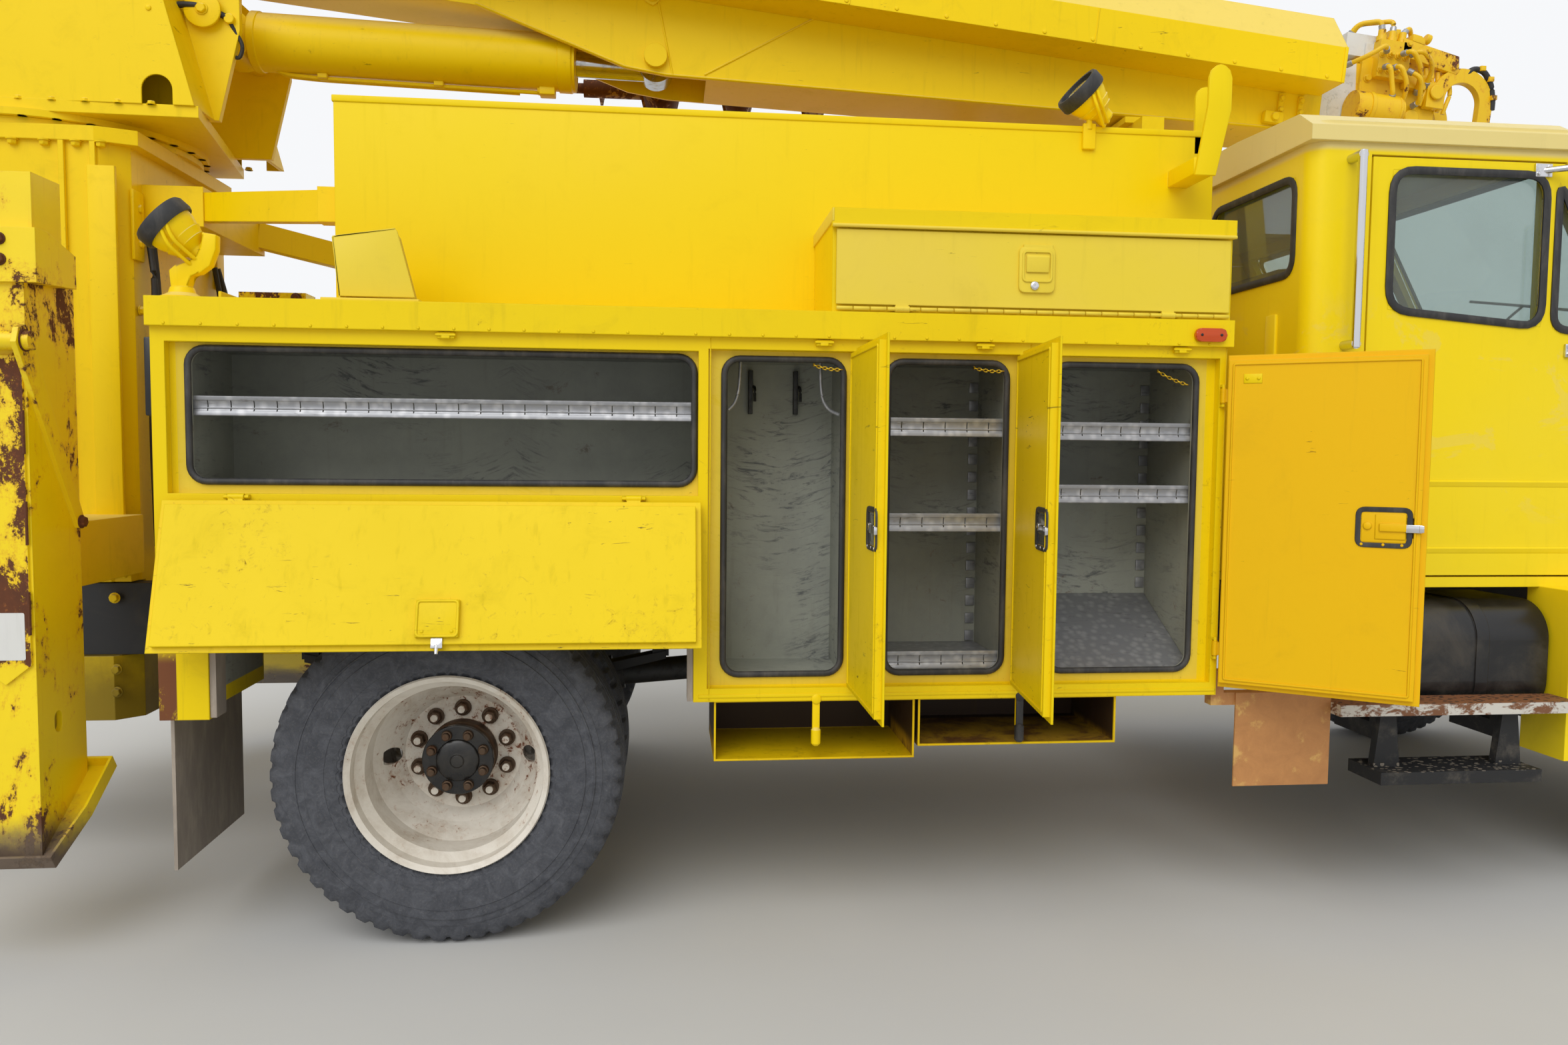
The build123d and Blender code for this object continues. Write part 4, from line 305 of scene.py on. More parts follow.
def tyre_rubber():
    """Dusty tyre rubber."""
    s = Shader("tyre_rubber")
    grit = s.noise(160, 4, 0.7)
    base = s.mix(s.patches(0.3, 0.8, 22, 9, 0.75, 0.8), srgb(56, 58, 64), srgb(90, 92, 98))
    base = s.mix(s.ramp(grit, 0.5, 0.75) * 0.25, base, srgb(124, 122, 120))
    s.bump(grit * 0.5 + s.noise(24, 4), 0.0012, 0.5)
    return s.finish(base, 0.78)


def plain_rubber(name, colour, dusty, recolour=None):
    """Rubber of seals and flaps."""
    s = Shader(name)
    base = s.mix(s.patches(0.4, 0.8, 6, 7, 0.7, 0.3, (3, 3, 0.8)) * 0.7, colour, dusty)
    if recolour:
        base = recolour(s, base)
    s.bump(s.noise(70, 4), 0.0008, 0.5)
    return s.finish(base, 0.6)


def galvanised():
    """Zinc-coated sheet, dull and scuffed."""
    s = Shader("galvanised_sheet", Metallic=0.55)
    tone = s.mix(s.ramp(s.cells(38), 0.1, 0.6), srgb(178, 178, 180), srgb(152, 153, 156))
    scuff = s.patches(0.55, 0.75, 14, 6, 0.7, 0.8, (1, 3, 6))
    s.bump(s.noise(12, 4), 0.001, 0.4, 0.002)
    return s.finish(s.mix(scuff * 0.6, tone, srgb(92, 88, 82)), 0.38 + scuff * 0.3)


def grey_interior(s, colour, share):
    """Grey compartment paint with sagging scuffs and rust, laid over another colour where share is 1."""
    across = s.axis("X") - (AXLE.x + 0.985)
    sag = s.math("POWER", s.math("PINGPONG", across, 0.28), 2.0)
    curved = s.node("CombineXYZ", X=s.axis("X") * 2.6, Y=s.axis("Y") * 2.6, Z=(s.axis("Z") - sag) * 13.0)
    worn = s.patches(0.42, 0.66, 2.6, 5, 0.6)
    scuff = worn * s.patches(0.5, 0.64, 4, 9, 0.76, 0.9, vector=curved.outputs[0])
    bare = s.mix(s.patches(0.35, 0.75, 4, 7, 0.7) * 0.5, GREY_PAINT, srgb(132, 134, 128))
    bare = s.mix(scuff * 0.85, bare, srgb(70, 72, 80))
    stain = s.patches(0.62, 0.72, 8, 8, 0.75, 0.5, (1, 1, 1), shift=(4, 2, 8))
    bare = s.mix(stain * 0.6, bare, srgb(88, 62, 42))
    return s.mix(share, colour, bare)


def bare_rust(name, paint_left, share, recolour=None, worn_more=None):
    """Heavily rusted steel that keeps a share of its paint, and less of it where worn_more is 1."""
    s = Shader(name)
    rusty = s.mix(s.noise(18, 8, 0.75), RUST, DARK_RUST)
    rusty = s.mix(s.patches(0.55, 0.75, 60, 6, 0.7), rusty, srgb(168, 100, 44))
    flake = s.noise(4.6, 9, 0.74, 0.5, (1, 1, 0.5)) * 0.7 + s.noise(26, 8, 0.75) * 0.35
    level = 0.36 + 0.3 * share
    if worn_more:
        flake = flake + worn_more(s) * 0.13
    kept = s.ramp(flake, level + 0.012, level - 0.012)
    faded = s.mix(s.patches(0.4, 0.7, 5, 6), paint_left, darker(paint_left, 0.95))
    run = s.patches(0.56, 0.72, 5, 6, 0.65, 0.2, (12, 12, 0.6))
    near = s.ramp(flake, level - 0.06, level)
    faded = s.mix(s.either(near, run * 0.4) * 0.4, faded, srgb(214, 130, 20))
    base = s.mix(kept, rusty, faded)
    if recolour:
        base = recolour(s, base)
    s.bump(kept * 0.7 + s.noise(50, 6, 0.7) * 0.4, 0.0014, 0.8, 0.003)
    return s.finish(base, 0.85 - kept * 0.4)


def metal(name, colour, roughness, wear=srgb(60, 56, 50)):
    """Plain machined, cast or plated metal with a little grime."""
    s = Shader(name, Metallic=1.0)
    grime = s.patches(0.45, 0.8, 22, 7, 0.7, 0.4)
    s.bump(s.noise(60, 3), 0.0006, 0.3, 0.002)
    return s.finish(s.mix(grime * 0.5, colour, wear), roughness + grime * 0.25)


def black_enamel(name, roughness=0.3):
    """Black painted steel with dust."""
    s = Shader(name)
    dust = s.patches(0.45, 0.85, 5, 8, 0.7, 0.5)
    s.bump(s.noise(40, 4), 0.0008, 0.3, 0.003)
    return s.finish(s.mix(dust * 0.35, srgb(22, 22, 23), srgb(112, 104, 90)), roughness + dust * 0.4)


def window_glass(name):
    """Slightly green glass with a thin film of dirt."""
    s = Shader(name, Transmission_Weight=0.92, IOR=1.45)
    film = s.patches(0.5, 0.85, 3, 6, 0.6)
    return s.finish(s.mix(film * 0.2, srgb(205, 218, 214), srgb(170, 176, 170)), film * 0.08)


def vinyl():
    """Seat and dashboard vinyl."""
    s = Shader("seat_vinyl")
    s.bump(s.cells(260), 0.0006, 0.5, 0.01)
    return s.finish(s.mix(s.noise(4, 5), srgb(58, 54, 50), srgb(80, 74, 68)), 0.5)


def clear_plastic(name, colour):
    """Coloured lamp plastic with moulded ribs."""
    s = Shader(name, Transmission_Weight=0.15)
    s.bump(s.math("PINGPONG", s.axis("Z") * 60.0, 0.5), 0.001, 0.5)
    return s.finish(s.mix(s.noise(12, 4), colour, darker(colour, 0.7)), 0.25)


def step_metal():
    """Rusty white upper tread, black lower tread and chrome handles of the cab's steps."""
    s = Shader("step_metal")
    handle = s.above("Z", 1.2)
    lower = s.along("Z", 0.647, 0.643)
    tread = s.either(s.between("Z", 0.6968, 0.71), s.between("Z", 0.4768, 0.49))
    holes = s.ramp(s.cells(46, (1, 1.5, 1)), 0.36, 0.30)
    scraped = s.patches(0.47, 0.56, 26, 8, 0.72, 0.5, (0.5, 1, 1))
    upper = s.mix(scraped, srgb(206, 202, 192), srgb(120, 78, 48))
    worn = s.mix(s.noise(30, 6, 0.7), srgb(150, 98, 60), srgb(104, 66, 42))
    upper = s.mix(tread, upper, s.mix(holes, worn, srgb(38, 26, 20)))
    black = s.mix(s.patches(0.5, 0.8, 8, 8, 0.72), srgb(24, 24, 25), srgb(96, 90, 80))
    black = s.mix(tread * holes, black, srgb(120, 112, 100))
    base = s.mix(handle, s.mix(lower, upper, black), srgb(210, 210, 212))
    s.bump(1.0 - holes * tread, 0.002, 0.8, 0.002)
    s.fill(s.surface, {"Metallic": handle})
    return s.finish(base, 0.62 - handle * 0.48)


def wheel_paint():
    """White wheel enamel with rust specks and brown dust."""
    s = Shader("wheel_paint")
    dust = s.patches(0.38, 0.75, 6, 8, 0.72, 0.4)
    base = s.mix(dust * 0.6, srgb(226, 220, 208), srgb(166, 148, 124))
    field = s.noise(3, 3) * 0.4 + s.noise(46, 8, 0.75, 0.6) * 0.7
    chips = s.ramp(field, 0.64, 0.66)
    base = s.mix(s.ramp(field, 0.575, 0.65) * 0.3, base, srgb(170, 110, 60))
    s.bump(1.0 - chips, 0.0008, 0.5)
    return s.finish(s.mix(chips, base, RUST), 0.4 + dust * 0.3)


def body_inside(s, base):
    """Grey paint in the body's compartments, and rust at its rear lower corner."""
    depth = s.side_depth()
    behind = s.ramp(depth, 1.1905, 1.1885) * s.ramp(depth, 0.796, 0.8)
    low = s.between("X", -0.73, 2.3) * s.between("Z", 0.775, 1.772)
    box = s.between("X", 1.14, 2.338) * s.between("Z", 1.905, 2.168)
    base = grey_interior(s, base, behind * s.either(low, box))
    corner = s.along("X", -0.735, -0.738) * s.along("Z", 0.93, 0.86)
    return s.mix(corner * s.patches(0.36, 0.46, 9, 8, 0.75, 0.5), base, srgb(118, 72, 44))


def splash_rust(s, base):
    """The orange splash guard ahead of the body, among the mud flaps."""
    orange = s.mix(s.noise(14, 8, 0.75, 0.6), srgb(212, 152, 90), srgb(158, 106, 60))
    orange = s.mix(s.patches(0.52, 0.6, 5, 7, 0.7), orange, srgb(212, 168, 96))
    return s.mix(s.above("X", 2.3), base, orange)


def white_section(s, base):
    """The tip boom's white section and its carrier."""
    dirt = s.patches(0.5, 0.85, 9, 8, 0.72)
    white = s.mix(dirt * 0.5, srgb(226, 226, 222), srgb(150, 140, 120))
    core = s.ramp(s.side_depth(), 0.106, 0.104)
    plain = core * s.along("X", 3.458, 3.452)
    carrier = s.above("Z", 3.125) * s.along("X", 3.545, 3.54) * core
    return s.mix(s.either(plain, carrier), base, white)


def cab_tones(s, base):
    """Bleached patches on the cab's doors, and its cream roof."""
    bleached = s.patches(0.56, 0.6, 2.6, 7, 0.7, 1.2, (1, 1, 1.4))
    base = s.mix(bleached * s.between("Z", 1.3, 1.95, 0.1) * 0.55, base, srgb(238, 212, 84))
    return s.mix(s.along("Z", 2.462, 2.48), base, CREAM)


def leg_wear(s):
    """Where the outrigger's legs have lost more of their paint."""
    plate = s.along("X", -1.106, -1.11) * s.between("Z", 0.86, 1.72, 0.03)
    return s.either(plate, s.above("Z", 1.76, 0.02) * 0.6, s.noise(2.2, 3) * 0.45)


def leg_tones(s, base):
    """Soil at the legs' feet, with chips of the paint showing."""
    dust = s.ramp(s.axis("Z") + s.noise(7, 6, 0.7) * 0.14, 0.52, 0.40)
    soil = s.mix(s.noise(20, 7, 0.7), srgb(122, 104, 86), srgb(84, 70, 58))
    return s.mix(dust * (1.0 - s.patches(0.66, 0.68, 30, 7, 0.75)), base, soil)


def derrick_tones(s, base):
    """Bleached tops, and dark brown low on the pedestal, growing towards its foot."""
    base = bleached_tops(s, base)
    # Darker brown towards the bottom, from about 1.1 m down to 0.7 m high.
    darker_foot = s.ramp(s.axis("Z") + s.noise(5, 6, 0.7) * 0.3, 1.12, 0.72)
    return s.mix(darker_foot * 0.75, base, srgb(74, 60, 34))


def tray_inside(s, base):
    """Dirt and rust on the floors inside the trays under the body, with painted shade in dark brown on their
    walls and deep inside.
    """
    depth = s.side_depth()
    inside = s.ramp(depth, 1.196, 1.192) * s.between("Z", 0.552, 0.80)
    low = s.mix(s.patches(0.42, 0.6, 7, 8, 0.72, 0.5), srgb(196, 154, 40), srgb(112, 74, 40))
    # Painted shade: dark brown deep in each tray and on its walls above the floor.
    shaded_inside = s.mix(s.either(s.ramp(depth, 0.90, 0.86), s.above("Z", 0.59, 0.02)), low, srgb(62, 46, 32))
    return s.mix(inside, base, shaded_inside)


BOOM_YELLOW = srgb(252, 216, 0)
STEEL_YELLOW = srgb(240, 196, 10)
# The numbers of a painted finish are its rust, dirt, scratches and gloss
MATERIALS = {
    "body": painted("body_paint", YELLOW, FADED, 0.38, 0.55, 0.5, recolour=body_inside),
    "panel": painted("panel_paint", YELLOW, srgb(244, 216, 0), 0.06, 0.25, 0.3),
    "door": painted("door_paint", YELLOW, srgb(232, 202, 10), 0.47, 0.6, 1.0),
    "deep_door": painted("deep_door_paint", DEEP_YELLOW, srgb(238, 192, 0), 0.14, 0.35, 0.6),
    "cab": painted("cab_paint", srgb(250, 220, 16), srgb(244, 218, 44), 0.04, 0.25, 0.15, 0.32,
                   recolour=cab_tones),
    "boom": painted("boom_paint", BOOM_YELLOW, srgb(244, 212, 8), 0.28, 0.55, 0.6, recolour=bleached_tops),
    "derrick": painted("derrick_paint", BOOM_YELLOW, srgb(242, 204, 10), 0.42, 0.65, 0.5,
                       recolour=derrick_tones),
    "top_box": painted("top_box_paint", PALE_YELLOW, srgb(236, 208, 88), 0.14, 0.35, 0.4),
    "tray": painted("tray_paint", srgb(236, 196, 6), FADED, 0.5, 0.9, 0.6, recolour=tray_inside),
    "sign": painted("blank_sign", srgb(224, 224, 220), srgb(206, 204, 196), 0.12, 0.3, 0.2, edge=0),
    "leg": bare_rust("leg_paint", srgb(252, 220, 0), 0.94, leg_tones, leg_wear),
    "head": bare_rust("head_paint", STEEL_YELLOW, 0.8),
    "tip": bare_rust("tip_paint", STEEL_YELLOW, 0.82, white_section),
    "auger": bare_rust("auger_steel", srgb(150, 120, 60), 0.45),
    "rusty": bare_rust("rusty_steel", srgb(120, 84, 50), 0.1),
    "black": black_enamel("black_enamel"),
    "chassis": black_enamel("chassis_black", 0.5),
    "hub_grease": black_enamel("hub_grease", 0.25),
    "cast": metal("cast_iron", srgb(84, 84, 84), 0.6),
    "hub_steel": metal("hub_steel", srgb(96, 80, 66), 0.6, RUST),
    "chrome": metal("chrome_plate", srgb(216, 216, 218), 0.12),
    "rod": metal("rod_chrome", srgb(206, 206, 206), 0.15),
    "mirror": metal("mirror_glass", srgb(200, 206, 210), 0.03),
    "brass": metal("yellow_chain", srgb(214, 178, 52), 0.35, srgb(120, 90, 30)),
    "zinc": galvanised(),
    "glass": window_glass("window_glass"),
    "lens": window_glass("lamp_glass"),
    "vinyl": vinyl(),
    "rubber": plain_rubber("black_rubber", srgb(38, 38, 39), srgb(92, 88, 82)),
    "flap": plain_rubber("flap_rubber", srgb(152, 141, 129), srgb(194, 182, 164), splash_rust),
    "hose": plain_rubber("hose_rubber", srgb(30, 30, 31), srgb(74, 70, 64)),
    "tyre": tyre_rubber(),
    "wheel": wheel_paint(),
    "steps": step_metal(),
    "amber": clear_plastic("amber_lens", srgb(226, 84, 14)),
    "red": clear_plastic("red_lens", srgb(168, 18, 14)),
}

# The CAD nodes that take each finish, without _right and _left
NODE_FINISHES = {
    "chassis": "frame_rails rear_axle front_axle steering_knuckle",
    "cast": "engine_and_gearbox",
    "black": "fuel_tanks",
    "steps": "cab_steps_and_handles",
    "cab": "cab_shell front_bumper hood cab_door",
    "glass": "cab_glass door_glass",
    "vinyl": "cab_interior",
    "body": "service_body",
    "panel": "body_deck side_panels",
    "zinc": "shelves",
    "rubber": "door_seals",
    "tray": "under_trays",
    "flap": "mud_flaps",
    "derrick": "pedestal outrigger_frame",
    "leg": "outrigger_leg",
    "boom": "boom_rest lamps turret lift_barrel lower_boom mid_boom",
    "tyre": "front_tyre rear_tyres",
    "wheel": "front_wheel rear_wheels",
    "deep_door": "front_side_door",
    "door": "middle_side_door rear_side_door flip_door",
    "top_box": "top_box_door",
    "rod": "lift_rod",
    "tip": "tip_boom",
    "head": "winch_drum pole_claw",
    "auger": "auger",
}


def finish_nodes():
    """Give each CAD node its finish."""
    finish_of = {node: finish for finish, nodes in NODE_FINISHES.items() for node in nodes.split()}
    for node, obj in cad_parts.items():
        plain = node.removesuffix("_right").removesuffix("_left")
        obj.data.materials.clear()
        obj.data.materials.append(MATERIALS[finish_of[plain]])


# Forms


def circle(centre, side, other, radius, count):
    """Points of a circle in the plane of two directions."""
    turns = (2 * math.pi * k / count for k in range(count))
    return [centre + (side * math.cos(a) + other * math.sin(a)) * radius for a in turns]


def round_about(direction):
    """A direction as a unit vector, with two directions across it."""
    along = Vector(direction).normalized()
    side = along.orthogonal().normalized()
    return along, side, along.cross(side)


def bend(before, corner, after, reach, steps=5):
    """Points of a path's rounded corner."""
    start = corner + (before - corner).normalized() * reach
    end = corner + (after - corner).normalized() * reach
    shares = [k / steps for k in range(steps + 1)]
    return [start * (1 - t) ** 2 + corner * 2 * t * (1 - t) + end * t * t for t in shares]


def smooth_path(points):
    """A path with its corners rounded over almost half of their shorter leg."""
    path = points[:1]
    for before, corner, after in zip(points, points[1:], points[2:]):
        path += bend(before, corner, after, min((corner - before).length, (after - corner).length) * 0.45)
    return path + points[-1:]


def rectangle(x0, z0, x1, z1):
    """The corners of a rectangle."""
    return [(x0, z0), (x0, z1), (x1, z1), (x1, z0)]


def triples(items):
    """Each item of a closed loop, with the one before it and the one after it."""
    return zip(items[-1:] + items[:-1], items, items[1:] + items[:1])


def rounded_outline(corners, reach):
    """A closed outline with rounded corners, as places and the directions away from its inside."""
    places = [point for legs in triples([Vector(c) for c in corners]) for point in bend(*legs, reach)]
    turn = math.copysign(1, sum(a.x * b.y - b.x * a.y for before, a, b in triples(places)))
    result = []
    for before, place, after in triples(places):
        run, rise = (after - before).normalized()
        result.append((place, (turn * rise, -turn * run)))
    return result


def rounded(corners, reach):
    """A closed outline with rounded corners."""
    return [place for place, out in rounded_outline(corners, reach)]


class Shape:
    """A mesh being built from simple forms, in metres from the rear axle."""

    def __init__(self, mesh=None):
        self.mesh = mesh or bmesh.new()

    def bevelled(self, verts, width):
        """Bevel the edges that meet at some points."""
        if width:
            edges = list({edge for vert in verts for edge in vert.link_edges})
            bmesh.ops.bevel(self.mesh, geom=edges, offset=width, segments=2, profile=0.6, affect="EDGES")
        return self

    def box(self, low, high, bevel=0.0):
        """A box between two corners, with bevelled edges."""
        low, high = Vector(low), Vector(high)
        place = Matrix.Translation((low + high) / 2) @ Matrix.Diagonal((*(high - low), 1))
        return self.bevelled(bmesh.ops.create_cube(self.mesh, size=1, matrix=place)["verts"], bevel)

    def sweep(self, rings, close=False, caps=True):
        """Skin a list of rings of points. All rings have the same number of points."""
        rows = [[self.mesh.verts.new(p) for p in ring] for ring in rings]
        for first, second in zip(rows, rows[1:] + (rows[:1] if close else [])):
            for k in range(-1, len(first) - 1):
                self.mesh.faces.new((first[k], first[k + 1], second[k + 1], second[k]))
        if caps and not close:
            self.mesh.faces.new(rows[0][::-1])
            self.mesh.faces.new(rows[-1])
        return self

    def lathe(self, profile, centre, direction, segments=48, closed=False):
        """Turn (distance, radius) points about a line."""
        along, side, other = round_about(direction)
        rings = [circle(Vector(centre) + along * distance, side, other, radius, segments)
                 for distance, radius in profile]
        return self.sweep(rings, close=closed, caps=not closed)

    def lathes(self, profile, centres, direction, segments):
        """The same turned form at several places."""
        for centre in centres:
            self.lathe(profile, centre, direction, segments)
        return self

    def rod(self, start, end, radius, segments=16, rounding=0.0):
        """A round bar, with its ends rounded off a little."""
        along = Vector(end) - Vector(start)
        edge = min(rounding or radius * 0.12, along.length / 3)
        far = along.length
        profile = [(0, radius - edge), (edge, radius), (far - edge, radius), (far, radius - edge)]
        return self.lathe(profile, start, along, segments)

    def tube(self, points, radius, segments=10):
        """A round bar along a list of points, with its corners rounded."""
        path = smooth_path([Vector(point) for point in points])
        rings = []
        for before, point, after in zip(path[:1] + path, path, path[1:] + path[-1:]):
            along = (after - before).normalized()
            side = along.cross(UP)
            if side.length < 0.2:
                side = along.cross(INWARD)
            side.normalize()
            rings.append(circle(point, side, along.cross(side), radius, segments))
        return self.sweep(rings)

    def prism(self, outline, reach, bevel=0.0):
        """An outline of points, pushed along a vector, with bevelled rims."""
        low = [self.mesh.verts.new(p) for p in outline]
        high = [self.mesh.verts.new(Vector(p) + Vector(reach)) for p in outline]
        self.mesh.faces.new(low[::-1])
        self.mesh.faces.new(high)
        for first, second in zip(range(len(low)), [*range(1, len(low)), 0]):
            self.mesh.faces.new((low[first], low[second], high[second], high[first]))
        return self.bevelled(low + high, bevel)

    def plate(self, outline, y, thick, bevel=0.0):
        """An upright plate with an outline of X and Z, from one Y over a thickness."""
        return self.prism([(a, y, b) for a, b in outline], (0, thick, 0), bevel)

    def bolts(self, places, direction, across, height):
        """Bolt heads with washers."""
        along, side, other = round_about(direction)
        for place in places:
            self.lathe([(0, across * 0.72), (height * 0.22, across * 0.72)], place, along, 20)
            centre, radius = Vector(place), across / math.sqrt(3)
            self.sweep([circle(centre + along * height * up, side, other, radius * grow, 6)
                        for up, grow in ((0, 1), (0.85, 1), (1, 0.86))])
        return self

    def moulding(self, corners, reach, put, proud, section):
        """A strip round an outline with rounded corners. put(a, b) places a point of its plane."""
        rings = []
        for (a, b), (out_a, out_b) in rounded_outline(corners, reach):
            place = put(a, b)
            outward = put(a + out_a, b + out_b) - place
            rings.append([place + outward * across + proud * high for across, high in section])
        return self.sweep(rings, close=True)

    def corner_fills(self, corners, reach, put, proud):
        """Thin plates that fill an opening's square corners up to a rounded outline."""
        for legs in triples([Vector(corner) for corner in corners]):
            self.prism([put(*point) for point in (legs[1], *bend(*legs, reach))], proud)
        return self

    def link(self, centre, along, flat, length, width, wire):
        """One link of a chain."""
        along, flat = along.normalized(), flat.normalized()
        across = along.cross(flat)
        rings = []
        for k in range(12):
            ahead, aside = math.cos(math.pi * k / 6), math.sin(math.pi * k / 6)
            place = centre + along * ahead * length / 2 + across * aside * width / 2
            rings.append(circle(place, along * ahead + across * aside, flat, wire, 6))
        return self.sweep(rings, close=True)

    def chain(self, start, end, links, sag, length, width, wire):
        """A short hanging chain."""
        shares = [k / links for k in range(links + 1)]
        points = [start.lerp(end, t) + DOWN * 4 * sag * t * (1 - t) for t in shares]
        for k, (first, second) in enumerate(zip(points, points[1:])):
            along = second - first
            flat = INWARD if k % 2 else along.cross(INWARD)
            self.link((first + second) / 2, along, flat, length, width, wire)
        return self

    def flipped(self, faces=None, verts=None):
        """Move forms to the truck's other side."""
        for vert in verts or self.mesh.verts:
            vert.co.y = -vert.co.y
        bmesh.ops.reverse_faces(self.mesh, faces=faces or list(self.mesh.faces))
        return self

    def mirror(self):
        """Add the same forms on the truck's other side."""
        mesh = self.mesh
        made = bmesh.ops.duplicate(mesh, geom=[*mesh.verts, *mesh.edges, *mesh.faces])["geom"]
        return self.flipped([g for g in made if isinstance(g, bmesh.types.BMFace)],
                            [g for g in made if isinstance(g, bmesh.types.BMVert)])

    def turned(self, matrix):
        """Move everything so far by a matrix."""
        bmesh.ops.transform(self.mesh, matrix=matrix, verts=self.mesh.verts)
        return self

    def piece(self, name, body, finish, slot, smooth=35, instead_of=()):
        """Turn the forms into one object that rides on a body."""
        self.turned(Matrix.Translation(AXLE))
        bmesh.ops.recalc_face_normals(self.mesh, faces=self.mesh.faces)
        data = bpy.data.meshes.new(name)
        self.mesh.to_mesh(data)
        self.mesh.free()
        data.shade_smooth()
        data.set_sharp_from_angle(angle=math.radians(smooth))
        data.materials.append(MATERIALS[finish])
        obj = bpy.data.objects.new(name, data)
        bpy.context.scene.collection.objects.link(obj)
        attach(obj, body)
        if instead_of:
            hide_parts(*instead_of)

    def both(self, name, body, finish, slot, smooth=35):
        """A piece on a body of the right side and, mirrored, one on its twin of the left."""
        left = Shape(self.mesh.copy()).flipped()
        self.piece(f"{name}_right", f"{body}_right", finish, slot, smooth)
        left.piece(f"{name}_left", f"{body}_left", finish, slot, smooth)


# Wheels and tyres

TREAD_BLOCKS = 54
STEPS_PER_BLOCK = 6
# Across and radius of the tyre's half, from the bead out to the middle of the tread
TYRE_PROFILE = [
    (0.103, 0.292), (0.112, 0.297), (0.121, 0.308), (0.122, 0.316), (0.1235, 0.3165), (0.126, 0.322),
    (0.1305, 0.348), (0.1318, 0.3485), (0.1345, 0.385), (0.135, 0.403), (0.1325, 0.4045), (0.1325, 0.4265),
    (0.1345, 0.4275), (0.1335, 0.432), (0.130, 0.4335), (0.128, 0.452), (0.1265, 0.4525), (0.1235, 0.470),
    (0.119, 0.486), (0.112, 0.500), (0.105, 0.507), (0.088, 0.511), (0.066, 0.5135), (0.062, 0.5138),
    (0.058, 0.514), (0.036, 0.515), (0.032, 0.515), (0.028, 0.515), (0.0, 0.515),
]
SHOULDER = (0.070, 0.126)
SLOT_DEPTH = 0.011
SLOT_RUN_OUT = 0.117
GROOVES = (0.062, 0.032)
GROOVE_DEPTH = 0.012
SIPE_DEPTH = 0.004
SWAY = 0.003


def tread_depth(across, step):
    """How far below the smooth tyre a point lies: shoulder slots, zigzag grooves and sipes."""
    phase = step % STEPS_PER_BLOCK
    reach = abs(across)
    if SHOULDER[0] < reach < SHOULDER[1] and phase < 2:
        return SLOT_DEPTH * (1 if reach < SLOT_RUN_OUT else 0.5)
    if reach in GROOVES:
        return GROOVE_DEPTH
    return SIPE_DEPTH if reach < 0.02 and phase == 3 else 0.0


def tyre(shape, centre):
    """One tyre round a centre."""
    whole = TYRE_PROFILE + [(-across, radius) for across, radius in TYRE_PROFILE[-2::-1]]
    count = TREAD_BLOCKS * STEPS_PER_BLOCK
    rows = []
    for step in range(count):
        angle = 2 * math.pi * step / count
        out = at(math.sin(angle), 0, math.cos(angle))
        sway = SWAY * math.sin(step * math.pi / 3)
        places = (centre + INWARD * (across + sway * (abs(across) < SHOULDER[0]))
                  + out * (radius - tread_depth(across, step)) for across, radius in whole)
        rows.append([shape.mesh.verts.new(place) for place in places])
    for first, second in zip(rows, rows[1:] + rows[:1]):
        for k in range(len(whole) - 1):
            shape.mesh.faces.new((first[k], first[k + 1], second[k + 1], second[k]))
    return shape


def make_tyres():
    """Every tyre, in place of its CAD solid."""
    for word in ("right", "left"):
        single, twins = f"front_tyre_{word}", f"rear_tyres_{word}"
        front, rear = middle(single) - AXLE, middle(twins) - AXLE
        half = (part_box(single)[1] - front).y
        shape = Shape()
        for y in (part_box(twins)[0].y + half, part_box(twins)[1].y - half):
            tyre(shape, at(rear.x, y, rear.z))
        shape.piece(f"rear_tyre_treads_{word}", f"rear_wheels_{word}", "tyre", "tyre", 28, [twins])
        shape = tyre(Shape(), front)
        shape.piece(f"front_tyre_tread_{word}", f"front_wheel_{word}", "tyre", "tyre", 28, [single])


STUD_COUNT = 10
STUD_CIRCLE = 0.142875
REAR_SEAT = 0.921
FRONT_SEAT = 1.190
NUT_FLANGE = [(0, 0.026), (0.004, 0.026), (0.006, 0.023)]
HUB_BOLT = [(0, 0.017), (0.010, 0.015), (0.012, 0.0115), (0.026, 0.0115), (0.028, 0.009)]
HUB_BARREL = [(0.010, 0.1085), (0.050, 0.1085), (0.056, 0.104), (0.088, 0.103)]
REAR_CAP = [(0.086, 0.100), (0.087, 0.1085), (0.099, 0.1085), (0.101, 0.106), (0.1012, 0.066),
            (0.108, 0.063), (0.1125, 0.055), (0.1135, 0.022), (0.118, 0.018), (0.119, 0.002)]
FRONT_CAP = [(0.042, 0.058), (0.046, 0.058), (0.048, 0.054), (0.048, 0.004)]
# Body, the cap's profile and segments, and the number, circle and height of its bolts
HUBS = {
    "rear_wheels": (REAR_CAP, 56, 8, 0.084, 0.101),
    "front_wheel": (FRONT_CAP, 40, 6, 0.072, 0.012),
}


def round_axle(centre, radius, count):
    """Places round an axle, the first half a step above the level line."""
    turns = (2 * math.pi * (k + 0.5) / count for k in range(count))
    return [centre + at(math.cos(a), 0, math.sin(a)) * radius for a in turns]


